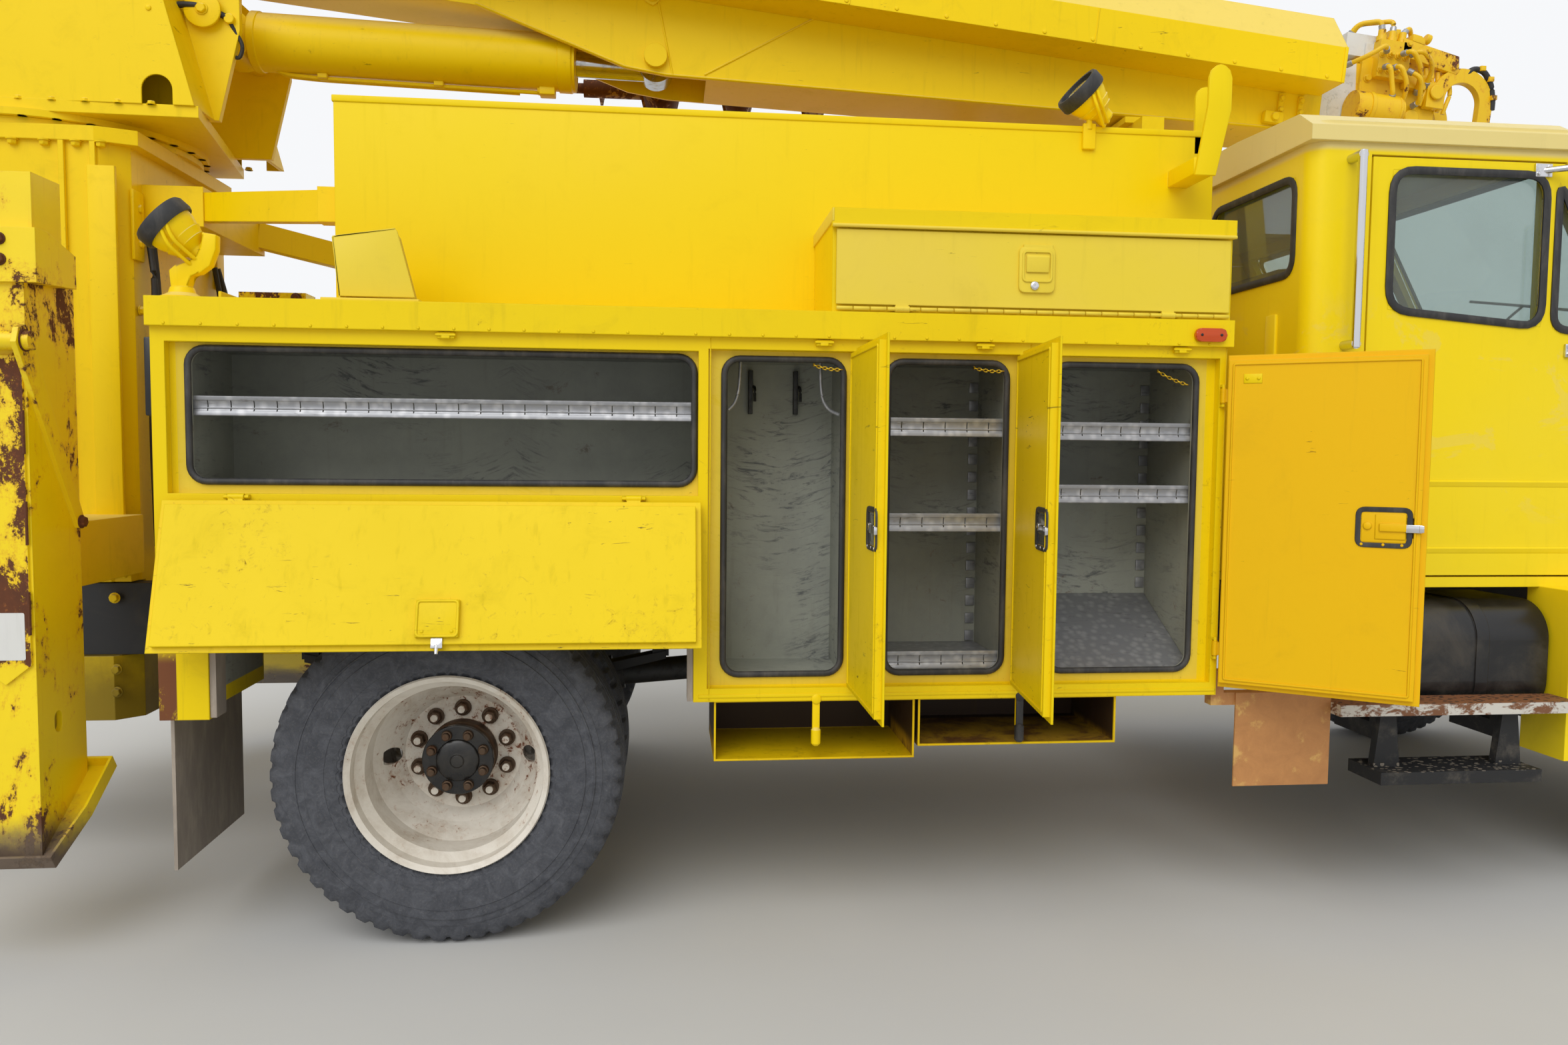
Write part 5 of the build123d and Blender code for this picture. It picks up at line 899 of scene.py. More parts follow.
def make_wheel_nuts():
    """Nuts, hub caps and hub bolts of all wheels, and the barrels of the rear hubs."""
    for side, word in SIDES:
        out = INWARD * side
        front = middle(f"front_tyre_{word}").x - AXLE.x
        seats = {
            "rear_wheels": at(0, side * REAR_SEAT, WHEEL_HIGH),
            "front_wheel": at(front, side * FRONT_SEAT, WHEEL_HIGH),
        }
        for wheel, (cap, segments, count, radius, height) in HUBS.items():
            centre, body = seats[wheel], f"{wheel}_{word}"
            studs = round_axle(centre, STUD_CIRCLE, STUD_COUNT)
            nuts = Shape().lathes(NUT_FLANGE, studs, out, 20)
            nuts.bolts([stud + out * 0.004 for stud in studs], out, 0.036, 0.024)
            nuts.piece(f"wheel_nuts_{body}", body, "hub_steel", "cast_iron")
            if wheel == "rear_wheels":
                barrel = Shape().lathe(HUB_BARREL, centre, out, 56)
                barrel.piece(f"hub_barrel_{body}", body, "hub_steel", "cast_iron")
            cover = Shape().lathe(cap, centre, out, segments)
            cover.piece(f"hub_cap_{body}", body, "hub_grease", "black_paint")
            ends = Shape().lathes(HUB_BOLT, round_axle(centre + out * height, radius, count), out, 14)
            ends.piece(f"hub_bolts_{body}", body, "hub_steel", "cast_iron")


# Service body

CHROME = ("chrome", "galvanised")
RIVET = [(0, 0.0045), (0.002, 0.004), (0.003, 0.001)]
SCREW = [(0, 0.005), (0.002, 0.004), (0.003, 0.001)]
# X from and to, and Z from and to
SEALS = [
    (-0.691, 0.714, 1.384, 1.745),
    (0.815, 1.158, 0.814, 1.743),
    (1.306, 1.659, 0.814, 1.743),
    (1.816, 2.260, 0.814, 1.743),
]
SEAL_Y = -1.1897
SEAL_CORNER = 0.040
SEAL_STEPS = 6
SEAL_SECTION = [(-0.002, 0.0), (-0.003, 0.006), (0.001, 0.011), (0.008, 0.0125), (0.014, 0.010),
                (0.0165, 0.004), (0.0155, 0.0)]


def make_seals():
    """Soft bulb seals with rounded corners, in place of the plain ones."""
    seals = Shape()
    for x0, x1, z0, z1 in SEALS:
        left, right, low, high = x0 + SEAL_CORNER, x1 - SEAL_CORNER, z0 + SEAL_CORNER, z1 - SEAL_CORNER
        rings = []
        for quarter, (x, z) in enumerate(((right, high), (left, high), (left, low), (right, low))):
            for k in range(SEAL_STEPS + 1):
                angle = math.pi / 2 * (quarter + k / SEAL_STEPS)
                out = at(math.cos(angle), 0, math.sin(angle))
                rings.append([at(x, SEAL_Y - proud, z) + out * (SEAL_CORNER + across)
                              for across, proud in SEAL_SECTION])
        seals.sweep(rings, close=True)
    seals.mirror().piece("bulb_seals", "chassis", "rubber", "rubber", 50, ["door_seals"])


# X from and to, and the height of each shelf's top
SHELVES = [
    (1.278, 1.687, 1.552),
    (1.278, 1.687, 1.262),
    (1.278, 1.687, 0.838),
    (1.788, 2.288, 1.545),
    (1.788, 2.288, 1.352),
    (-0.719, 0.734, 1.588),
]
SHELF_FRONT = -1.176
BACK_WALL = -0.8153
SLOT_PITCH = 0.063
# Sections of a shelf's lip, in from its front and up from its top: its rims, and the curve between them
LIP_UPPER = [(-0.001, 0.031), (0.006, 0.031), (0.006, 0.029), (0.001, 0.029), (0.0005, 0.022),
             (0.002, 0.019), (0.0005, 0.0185), (-0.001, 0.0215)]
LIP_LOWER = [(0.002, -0.0115), (0.0005, -0.016), (0.0005, -0.022), (0.003, -0.0235), (0.006, -0.022),
             (0.006, -0.0235), (0.003, -0.0255), (-0.001, -0.0235), (-0.001, -0.0155), (0.001, -0.011)]
LIP_CURVE = [(0.0012, 0.0188), (0.0045, 0.012), (0.0058, 0.004), (0.0045, -0.005), (0.0012, -0.0113),
             (0.0025, -0.0116), (0.0058, -0.005), (0.0071, 0.004), (0.0058, 0.0122), (0.0025, 0.0192)]
HOOK_Y = -1.09
HOOKS = [
    [(0.863, 1.757), (0.860, 1.680), (0.853, 1.640), (0.843, 1.618), (0.826, 1.602)],
    [(1.108, 1.757), (1.110, 1.680), (1.116, 1.636), (1.135, 1.606), (1.168, 1.592)],
]


def make_shelves():
    """Galvanised shelves with a rolled and slotted lip."""
    shelves = Shape()
    for x0, x1, z in SHELVES:
        left, right = x0 + 0.001, x1 - 0.001
        shelves.box((left, SHELF_FRONT + 0.002, z - 0.004), (right, BACK_WALL, z - 0.001))
        count = round((x1 - x0) / SLOT_PITCH)
        pitch = (x1 - x0 - 0.004) / count
        starts = [x0 + 0.002 + k * pitch for k in range(count)]
        strips = [(left, right, LIP_UPPER), (left, right, LIP_LOWER)]
        strips += [(start + 0.0014, start + pitch - 0.0014, LIP_CURVE) for start in starts]
        for start, end, section in strips:
            shelves.prism([(start, SHELF_FRONT + a, z + b) for a, b in section], (end - start, 0, 0))
    shelves.mirror().piece("shelf_trays", "chassis", "zinc", "galvanised", 40, ["shelves"])


def make_posts_and_hooks():
    """Sloped bottom plate, shelf posts and hooks in the compartments."""
    posts = Shape()
    slope = ((-1.176, 0.800), (-1.176, 0.806), (-0.8155, 1.000), (-0.8155, 0.994))
    posts.prism([(1.789, y, z) for y, z in slope], (0.498, 0, 0))
    for x0, x1, lowest in ((1.278, 1.687, 84), (1.788, 2.288, 102)):
        for x in (x0 + 0.004, x1 - 0.034):
            for z in range(lowest, 174, 6):
                posts.box((x, -0.8215, z / 100), (x + 0.03, BACK_WALL, z / 100 + 0.035), 0.002)
    for hook in HOOKS:
        x = hook[0][0]
        posts.rod((x, HOOK_Y, 1.7625), (x, HOOK_Y, 1.7505), 0.018)
        posts.tube([(a, HOOK_Y, b) for a, b in hook], 0.0055)
    posts.mirror().piece("shelf_posts_and_hooks", "chassis", "zinc", "galvanised", 40)


# Doors of the service body

HINGE_Y = -1.232
DOOR_FACE = -1.208
# Hinge X, width, how far it stands open, and how far from the hinge its latch pocket begins and ends
SIDE_DOORS = {
    "front_side_door": (2.336, 0.556, 145.0, 0.379, 0.514),
    "middle_side_door": (1.705, 0.455, 84.0, 0.316, 0.438),
    "rear_side_door": (1.200, 0.447, 90.6, 0.308, 0.430),
}
LATCH_LOW, LATCH_HIGH = 1.2215, 1.3285
LATCH_RIM = [(-0.009, -0.001), (-0.009, 0.002), (-0.003, 0.0035), (0.004, 0.0035), (0.006, -0.001)]
LATCH_LOCK = [(0, 0.011), (0.004, 0.011), (0.006, 0.006)]
LATCH_RIVET = [(0, 0.0045), (0.0025, 0.004), (0.0035, 0.001)]
PAN_EDGE = [(-0.004, -0.0005), (-0.003, 0.0035), (0.002, 0.0035), (0.0035, -0.0005)]


def swing(x, z, degrees, axis):
    """The turn of an open door on the right about its hinge."""
    pin = Matrix.Translation(at(x, HINGE_Y, z))
    return pin @ Matrix.Rotation(math.radians(degrees), 4, axis) @ pin.inverted()


def in_face(a, b):
    """A point of a closed door's inner face."""
    return at(a, DOOR_FACE, b)


def make_door_fittings():
    """Latches and pan edges of the upright doors."""
    face, low, high = DOOR_FACE, LATCH_LOW, LATCH_HIGH
    for door, (hinge, width, angle, near, far) in SIDE_DOORS.items():
        x0, x1 = hinge - far, hinge - near
        tip = max(x0 - 0.034, hinge - width + 0.003)
        deep = door == "front_side_door"
        turn = swing(hinge, 0, angle, "Z")
        rim = Shape().moulding(rectangle(x0, low, x1, high), 0.020, in_face, INWARD, LATCH_RIM)
        rim.turned(turn).both(f"latch_rim_{door}", door, "rubber", "rubber")
        latch = Shape()
        latch.box((x0 + 0.010, face - 0.002, low + 0.010), (x1 - 0.010, face + 0.0006, high - 0.010), 0.0004)
        latch.box((x0 + 0.012, face, low + 0.020), (x1 - 0.046, face + 0.003, high - 0.016), 0.001)
        latch.box((x0 + 0.008, face + 0.002, 1.264), (x1 - 0.056, face + 0.009, 1.287), 0.003)
        latch.lathe(LATCH_LOCK, (x1 - 0.026, face + 0.0006, 1.279), INWARD, 18)
        rivets = [(a, face + 0.002, low + 0.004) for a in (x0 + 0.02, x1 - 0.012, (x0 + x1) / 2)]
        latch.lathes(LATCH_RIVET, rivets, INWARD, 10)
        finish = ("deep_door", "yellow_paint") if deep else CHROME
        latch.turned(turn).both(f"latch_body_{door}", door, *finish)
        tongue = Shape().box((tip + 0.004, face + 0.003, 1.2625), (x0 + 0.012, face + 0.009, 1.2855), 0.002)
        tongue.box((tip, face + 0.001, 1.264), (tip + 0.012, face + 0.010, 1.284), 0.002)
        tongue.turned(turn).both(f"latch_tongue_{door}", door, *CHROME)
        pan = rectangle(hinge - width + 0.030, 0.790, hinge - 0.030, 1.754)
        edge = Shape().moulding(pan, 0.006, in_face, INWARD, PAN_EDGE)
        edge.turned(turn).both(f"pan_edge_{door}", door, "deep_door" if deep else "door", "yellow_paint")


def make_blank_plate():
    """The small plate inside the front upright door."""
    door = "front_side_door"
    hinge, _, angle = SIDE_DOORS[door][:3]
    x0, x1 = hinge - 0.111, hinge - 0.059
    plate = Shape().box((x0, DOOR_FACE - 0.0005, 1.695), (x1, DOOR_FACE + 0.0014, 1.724), 0.0005)
    plate.lathes(RIVET, [(x, DOOR_FACE + 0.001, 1.7095) for x in (x0 + 0.010, x1 - 0.010)], INWARD, 10)
    plate.turned(swing(hinge, 0, angle, "Z")).both("blank_plate", door, "door", "yellow_paint", 50)


FLIP_OPEN = 163.0
FLIP_HINGE_Z = 1.336
LATCH_RING = [(-0.004, 0), (-0.003, 0.003), (0.003, 0.003), (0.004, 0)]


def make_flip_fittings():
    """Latch cover with its ring, rivets and catch, on the long door over the wheel; stops on the body."""
    turn = swing(0, FLIP_HINGE_Z, FLIP_OPEN, "X")
    x, top, face = 0.0125, 1.775, DOOR_FACE
    latch, catch, stops = Shape(), Shape(), Shape()
    latch.box((x - 0.058, face + 0.0115, top - 0.138), (x + 0.058, face + 0.014, top - 0.034), 0.001)
    ring = rectangle(x - 0.055, top - 0.135, x + 0.055, top - 0.037)
    latch.moulding(ring, 0.012, lambda a, b: at(a, face + 0.0138, b), INWARD, LATCH_RING)
    latch.lathes(SCREW, [(x + off, face + 0.0138, top - 0.05) for off in (-0.04, 0.04)], INWARD, 10)
    latch.turned(turn).both("flip_latch", "flip_door", "door", "yellow_paint")
    catch.box((x - 0.016, face - 0.004, top - 0.034), (x + 0.016, face + 0.008, top - 0.004), 0.002)
    catch.rod((x, face + 0.004, top - 0.014), (x, face + 0.004, top + 0.012), 0.006, 12)
    catch.turned(turn).both("flip_catch", "flip_door", *CHROME)
    for x in (0.016, 1.10, 1.585, 2.2):
        stops.box((x - 0.024, -1.2325, 1.788), (x + 0.024, -1.219, 1.806), 0.002)
        stops.box((x - 0.012, -1.238, 1.787), (x + 0.012, -1.230, 1.796), 0.002)
        stops.rod((x - 0.028, -1.234, 1.798), (x + 0.028, -1.234, 1.798), 0.004, 10)
    stops.mirror().piece("door_stops", "chassis", "body", "yellow_paint")


# X from and to of each chain by the upright doors, and the height that it ends at
CHAINS = [(1.076, 1.158, 1.722), (1.566, 1.652, 1.726), (2.146, 2.236, 1.694)]


def make_chains():
    """Short chains that hold the upright doors."""
    chains = Shape()
    for x0, x1, z in CHAINS:
        start = at(x0, -1.184, 1.735)
        chains.chain(start, at(x1, -1.199, z), 9, 0.004, 0.0145, 0.009, 0.0016)
        chains.rod(start + UP * 0.012, start + DOWN * 0.004, 0.003, 8)
    chains.mirror().piece("door_chains", "chassis", "brass", "galvanised", 60)


TOP_BOX_FACE = -1.2405


def make_top_box_fittings():
    """Paddle latch, lip and hinge strip of the box on top of the body."""
    x0, z0, x1, z1 = 1.681, 1.957, 1.791, 2.092
    latch = Shape().plate(rounded(rectangle(x0, z0, x1, z1), 0.02), TOP_BOX_FACE, 0.008, 0.001)
    latch.moulding(rectangle(x0 + 0.012, z0 + 0.034, x1 - 0.012, z1 - 0.014), 0.012,
                   lambda a, b: at(a, TOP_BOX_FACE, b), OUTWARD,
                   [(-0.004, 0), (-0.003, 0.004), (0.003, 0.004), (0.004, 0)])
    lever = [(-1.2415, z0 + 0.062), (-1.2455, z0 + 0.058), (-1.249, z1 - 0.03), (-1.2415, z1 - 0.022)]
    latch.prism([(x0 + 0.02, y, z) for y, z in lever], (x1 - x0 - 0.04, 0, 0), 0.002)
    latch.both("paddle_latch", "top_box_door", "top_box", "yellow_paint")
    lock = [(0, 0.013), (0.004, 0.013), (0.006, 0.011), (0.007, 0.006), (0.0055, 0.0)]
    lock = Shape().lathe(lock, (1.7285, TOP_BOX_FACE, z0 + 0.02), OUTWARD, 20)
    lock.both("key_lock", "top_box_door", *CHROME)
    hinge = Shape()
    for k in range(24):
        x = 1.134 + k * 0.0505
        hinge.rod((x, -1.2335, 1.9), (x + 0.0475, -1.2335, 1.9), 0.006, 10)
    hinge.both("piano_hinge", "top_box_door", "top_box", "yellow_paint", 60)
    lip = Shape().rod((1.1195, -1.2385, 2.1385), (2.3585, -1.2385, 2.1385), 0.0055, 12)
    lip.box((1.1185, -1.2395, 2.150), (1.1245, -0.815, 2.1885), 0.002)
    lip.mirror().piece("top_box_lip", "chassis", "top_box", "yellow_paint")


def make_tray_handles():
    """Bars that lock what lies in the trays under the body."""
    handles = (("rear", 1.0895, "boom", "yellow_paint"), ("front", 1.721, "hose", "rubber"))
    for name, x, finish, slot in handles:
        bar = Shape().box((x - 0.011, -1.219, 0.606), (x + 0.011, -1.2125, 0.745), 0.002)
        bar.rod((x, -1.2155, 0.592), (x, -1.2155, 0.648), 0.0145, 14, 0.007)
        bar.lathe([(0, 0.015), (0.004, 0.015), (0.007, 0.009)], (x, -1.2185, 0.735), OUTWARD, 14)
        bar.mirror().piece(f"tray_handles_{name}", "chassis", finish, slot)


# Middle of each work lamp and the way it faces
WORK_LAMPS = [((-0.741, -1.150, 2.080), (-0.72, -0.18, 0.66)), ((2.036, -0.821, 2.665), (-0.75, -0.1, 0.65))]
LAMP_BOWL = [(-0.072, 0.010), (-0.071, 0.030), (-0.060, 0.040), (-0.052, 0.052), (-0.049, 0.049),
             (-0.030, 0.060), (-0.027, 0.057), (-0.006, 0.066), (0.016, 0.070), (0.020, 0.070)]
LAMP_RIM = [(0.012, 0.069), (0.010, 0.077), (0.018, 0.081), (0.048, 0.081), (0.056, 0.076), (0.055, 0.066),
            (0.044, 0.064), (0.020, 0.064)]
LAMP_LENS = [(0.036, 0.065), (0.044, 0.052), (0.049, 0.030), (0.050, 0.004)]
LAMP_FOOT = [(0, 0.060), (0.006, 0.060), (0.010, 0.050), (0.018, 0.036), (0.034, 0.031), (0.036, 0.020)]
LAMP_ARM = [(-0.623, 2.072), (-0.625, 2.030), (-0.642, 1.984), (-0.670, 1.962), (-0.698, 1.958),
            (-0.700, 1.922), (-0.749, 1.922), (-0.753, 1.970), (-0.736, 1.985), (-0.697, 1.990),
            (-0.674, 2.006), (-0.663, 2.030), (-0.663, 2.078)]
ROOF_LAMP = [(-0.03, 0.012), (-0.024, 0.024), (0.01, 0.026), (0.026, 0.02), (0.034, 0.006)]
REAR_LAMP = [(0, 0.032), (0.006, 0.031), (0.010, 0.022), (0.012, 0.0)]


def make_work_lamps():
    """Work lamps with rubber rims, in place of plain ones."""
    bowls, rims, lenses = Shape(), Shape(), Shape()
    for centre, facing in WORK_LAMPS:
        c, d = Vector(centre), Vector(facing).normalized()
        bowls.lathe(LAMP_BOWL, c, d, 40)
        rims.lathe(LAMP_RIM, c, d, 40, closed=True)
        lenses.lathe(LAMP_LENS, c, d, 32)
        down = d.cross(OUTWARD).normalized()
        down = -down if down.z > 0 else down
        for shift in (-0.010, 0.010):
            places = ((0.070, 0, shift), (0.074, 0.04, shift + 0.02), (0.030, 0.105, shift + 0.028),
                      (0, 0.100, shift))
            bowls.tube([c + OUTWARD * out - d * back + down * low for out, back, low in places], 0.0055, 8)
        bowls.rod(c - d * 0.058, c - d * 0.100, 0.030, 20, 0.006)
    bowls.lathe(LAMP_FOOT, (-0.724, -1.150, 1.8895), UP, 36)
    bowls.plate(LAMP_ARM, -1.168, 0.036, 0.006)
    bowls.box((2.024, -0.8275, 2.500), (2.068, -0.8155, 2.585), 0.003)
    bowls.tube([(2.046, -0.8215, 2.565), (2.046, -0.8215, 2.60)], 0.010)
    bowls.mirror().piece("work_lamps", "chassis", "boom", "yellow_paint", instead_of=["lamps"])
    rims.mirror().piece("work_lamp_rims", "chassis", "rubber", "rubber", 50)
    lenses.mirror().piece("work_lamp_lenses", "chassis", "lens", "glass", 50)


def make_signal_lamps():
    """Marker lamps of the body's sides and the cab's roof, and the lamps at the rear."""
    amber, red, bases = Shape(), Shape(), Shape()

    def roof_lamp(y):
        amber.lathe(ROOF_LAMP, (3.526, y, 2.626), FORWARD, 20)
        bases.box((3.484, y - 0.028, 2.6085), (3.562, y + 0.028, 2.618), 0.003)

    amber.plate(rounded(rectangle(2.232, 1.822, 2.330, 1.862), 0.017), TOP_BOX_FACE, -0.015, 0.005)
    bases.lathes(RIVET, [(x, -1.2550, 1.842) for x in (2.250, 2.312)], OUTWARD, 10)
    bases.box((-0.811, -1.200, 1.560), (-0.7855, -1.080, 1.780), 0.006)
    for z, lamp in ((1.742, amber), (1.670, red), (1.598, red)):
        lamp.lathe(REAR_LAMP, (-0.8105, -1.140, z), BACK, 28)
    roof_lamp(-0.56)
    roof_lamp(-0.18)
    for shape in (amber, red, bases):
        shape.mirror()
    roof_lamp(0)
    amber.piece("amber_lamps", "chassis", "amber", "glass")
    red.piece("red_lamps", "chassis", "red", "glass")
    bases.piece("lamp_bases", "chassis", "black", "black_plastic")


# Cab

DOOR_WINDOW = [(2.985, 1.960), (2.985, 2.410), (3.530, 2.410), (3.530, 1.915)]
VENT_WINDOW = [(3.575, 1.910), (3.575, 2.390), (3.795, 1.950), (3.795, 1.895)]
DOOR_WINDOWS = ((DOOR_WINDOW, 0.075), (VENT_WINDOW, 0.05))
REAR_WINDOWS = [(-0.950, -0.400), (-0.320, 0.320), (0.400, 0.950)]
WINDOW_SECTION = [(-0.012, -0.001), (-0.012, 0.005), (-0.004, 0.009), (0.006, 0.009), (0.013, 0.005),
                  (0.013, -0.001)]
WINDSCREEN_OUT = Vector((0.878, 0, 0.478))
# Outline of a rib on the cab's back
RIB = [(-0.030, 1.30), (-0.022, 1.296), (0.022, 1.296), (0.030, 1.30), (0.030, 1.96), (-0.030, 1.96)]


def door_skin(a, b):
    """A point of the right cab door's outer face."""
    return at(a, -1.050, b)


def cab_back(a, b):
    """A point of the cab's back wall, by its Y and Z."""
    return at(2.710, a, b)


def windscreen(a, b):
    """A point of the plane that the windscreens lie in, by its Y and Z."""
    return at(3.590 + (2.560 - b) * 0.5441, a, b)


def make_cab_windows():
    """Rubber round the cab's windows, and the panel corners behind it."""
    rubber, corners, frames, fills = Shape(), Shape(), Shape(), Shape()
    for window, reach in DOOR_WINDOWS:
        rubber.moulding(window, reach, door_skin, OUTWARD, WINDOW_SECTION)
        corners.corner_fills(window, reach, door_skin, INWARD * 0.02)
    rubber.both("door_window_rubber", "cab_door", "rubber", "rubber", 50)
    corners.both("door_window_corners", "cab_door", "cab", "yellow_paint")
    for low, high in REAR_WINDOWS:
        window = rectangle(low, 2.085, high, 2.400)
        frames.moulding(window, 0.06, cab_back, BACK, WINDOW_SECTION)
        fills.corner_fills(window, 0.06, cab_back, FORWARD * 0.011)
    for low, high in ((-0.930, -0.025), (0.025, 0.930)):
        frames.moulding(rectangle(low, 1.930, high, 2.470), 0.05, windscreen, WINDSCREEN_OUT, WINDOW_SECTION)
    frames.piece("cab_window_rubber", "chassis", "rubber", "rubber", 50)
    fills.piece("cab_window_corners", "chassis", "cab", "yellow_paint")


def make_mirrors():
    """Mirror arms, glasses and housings."""
    arms = Shape().rod((3.505, -1.045, 2.425), (3.790, -1.300, 2.425), 0.0105, 14)
    arms.rod((3.790, -1.300, 1.818), (3.790, -1.300, 2.440), 0.0142, 16, 0.006)
    arms.rod((3.643, -1.045, 1.838), (3.790, -1.300, 1.838), 0.0105, 14)
    for x, z in ((3.508, 2.425), (3.648, 1.838)):
        arms.box((x - 0.030, -1.060, z - 0.022), (x + 0.030, -1.050, z + 0.022), 0.003)
        arms.bolts([(x + 0.020, -1.060, z + 0.012), (x - 0.020, -1.060, z - 0.012)], OUTWARD, 0.010, 0.005)
    arms.both("mirror_arms", "cab_door", *CHROME)
    outline = rounded(rectangle(-1.388, 1.912, -1.222, 2.318), 0.02)
    glass = Shape().prism([(3.7695, a, b) for a, b in outline], BACK * 0.002, 0.0006)
    glass.both("mirror_glasses", "cab_door", "mirror", "glass")
    section = [(-0.006, -0.001), (-0.006, 0.005), (0.004, 0.004), (0.006, -0.046), (0.002, -0.048)]
    outline = rectangle(-1.396, 1.904, -1.214, 2.326)
    housing = Shape().moulding(outline, 0.02, lambda a, b: at(3.770, a, b), BACK, section)
    housing.both("mirror_housings", "cab_door", *CHROME)


def make_cab_trim():
    """Handles and creases of the cab's doors, wipers, and ribs on its back."""
    handle = Shape().plate(rounded(rectangle(2.940, 1.672, 3.076, 1.738), 0.012), -1.0505, -0.006, 0.002)
    handle.box((2.952, -1.0765, 1.694), (3.064, -1.070, 1.720), 0.002)
    handle.both("door_handles", "cab_door", *CHROME)
    creases = Shape()
    for z, proud in ((1.398, 0.006), (1.175, 0.005)):
        section = [(2.925, -1.049, z - 0.020), (2.925, -1.050 - proud, z), (2.925, -1.049, z + 0.006)]
        creases.prism(section, (0.92, 0, 0))
    creases.both("door_creases", "cab_door", "cab", "yellow_paint", 20)
    wipers = Shape()
    for y in (-0.12, 0.70):
        pivot, end = windscreen(y, 1.90), windscreen(y - 0.42, 2.05)
        out = WINDSCREEN_OUT * 0.022
        wipers.rod(pivot - out * 0.6, pivot + out * 1.2, 0.012, 12)
        wipers.tube([pivot + out, (pivot + end) / 2 + out * 1.6, end + out], 0.005, 8)
        blade = (windscreen(y - 0.68, 2.00) + out * 0.7, end + out, windscreen(y - 0.18, 2.10) + out * 0.7)
        wipers.tube(blade, 0.006, 6)
    wipers.piece("wipers", "chassis", "rubber", "rubber")
    ribs = Shape()
    for y in (-0.84, -0.42, 0.0, 0.42, 0.84):
        ribs.prism([(2.700, y + a, b) for a, b in RIB], (0.012, 0, 0), 0.004)
    ribs.piece("cab_back_ribs", "chassis", "cab", "yellow_paint")


HEADLAMP_BEZEL = [(0.0, 0.088), (0.0, 0.098), (0.012, 0.099), (0.018, 0.092), (0.014, 0.086)]
HEADLAMP_LENS = [(0.0, 0.087), (0.010, 0.070), (0.016, 0.040), (0.018, 0.004)]


def make_front():
    """Headlamps, signals and grille mesh at the front, which the photograph doesn't show."""
    bezels, lenses, signals, mesh = Shape(), Shape(), Shape(), Shape()
    for y in (-0.9, 0.9):
        bezels.lathe(HEADLAMP_BEZEL, (5.405, y, 0.900), FORWARD, 40, True)
        lenses.lathe(HEADLAMP_LENS, (5.407, y, 0.900), FORWARD, 32)
        outline = rounded(rectangle(y - 0.07, 0.725, y + 0.07, 0.775), 0.014)
        signals.prism([(5.396, a, b) for a, b in outline], FORWARD * 0.014, 0.004)
    bezels.piece("headlamp_bezels", "hood", *CHROME)
    lenses.piece("headlamp_lenses", "hood", "lens", "glass")
    signals.piece("front_signals", "hood", "amber", "glass")
    for z in range(805, 1440, 16):
        mesh.rod((5.346, -0.558, z / 1000), (5.346, 0.558, z / 1000), 0.0022, 5)
    for k in range(-34, 35):
        mesh.rod((5.343, k * 0.0164, 0.802), (5.343, k * 0.0164, 1.438), 0.0022, 5)
    mesh.piece("grille_mesh", "hood", "black", "black_paint", 60)


# Derrick

# From the boom's frame, with its origin at the boom's head, to the truck's
BOOM = Matrix.Translation(at(3.4, 0, 2.98)) @ Matrix.Rotation(math.radians(5.71), 4, "Y")
LOCK_PLATE = [(-0.028, 0.055), (-0.042, 0.030), (-0.036, -0.010), (-0.010, -0.075), (0.020, -0.085),
              (0.044, -0.060), (0.046, -0.020), (0.010, 0.035), (-0.008, 0.058)]
# Ends of the weld beads along the pocket's edge, the underside and the collar
WELDS = [(-3.471, -0.197, -2.901, -0.346), (-2.901, -0.346, -2.742, -0.354), (-2.742, -0.354, -0.19, -0.203),
         (-2.86, 0.10, -2.72, -0.354), (-2.60, -0.335, -2.20, -0.06), (-4.25, -0.062, -0.20, -0.062)]
SIGHT_HOLE = [(0, 0.026), (0.002, 0.026), (0.003, 0.020), (0.0012, 0.018), (0.0010, 0.002)]


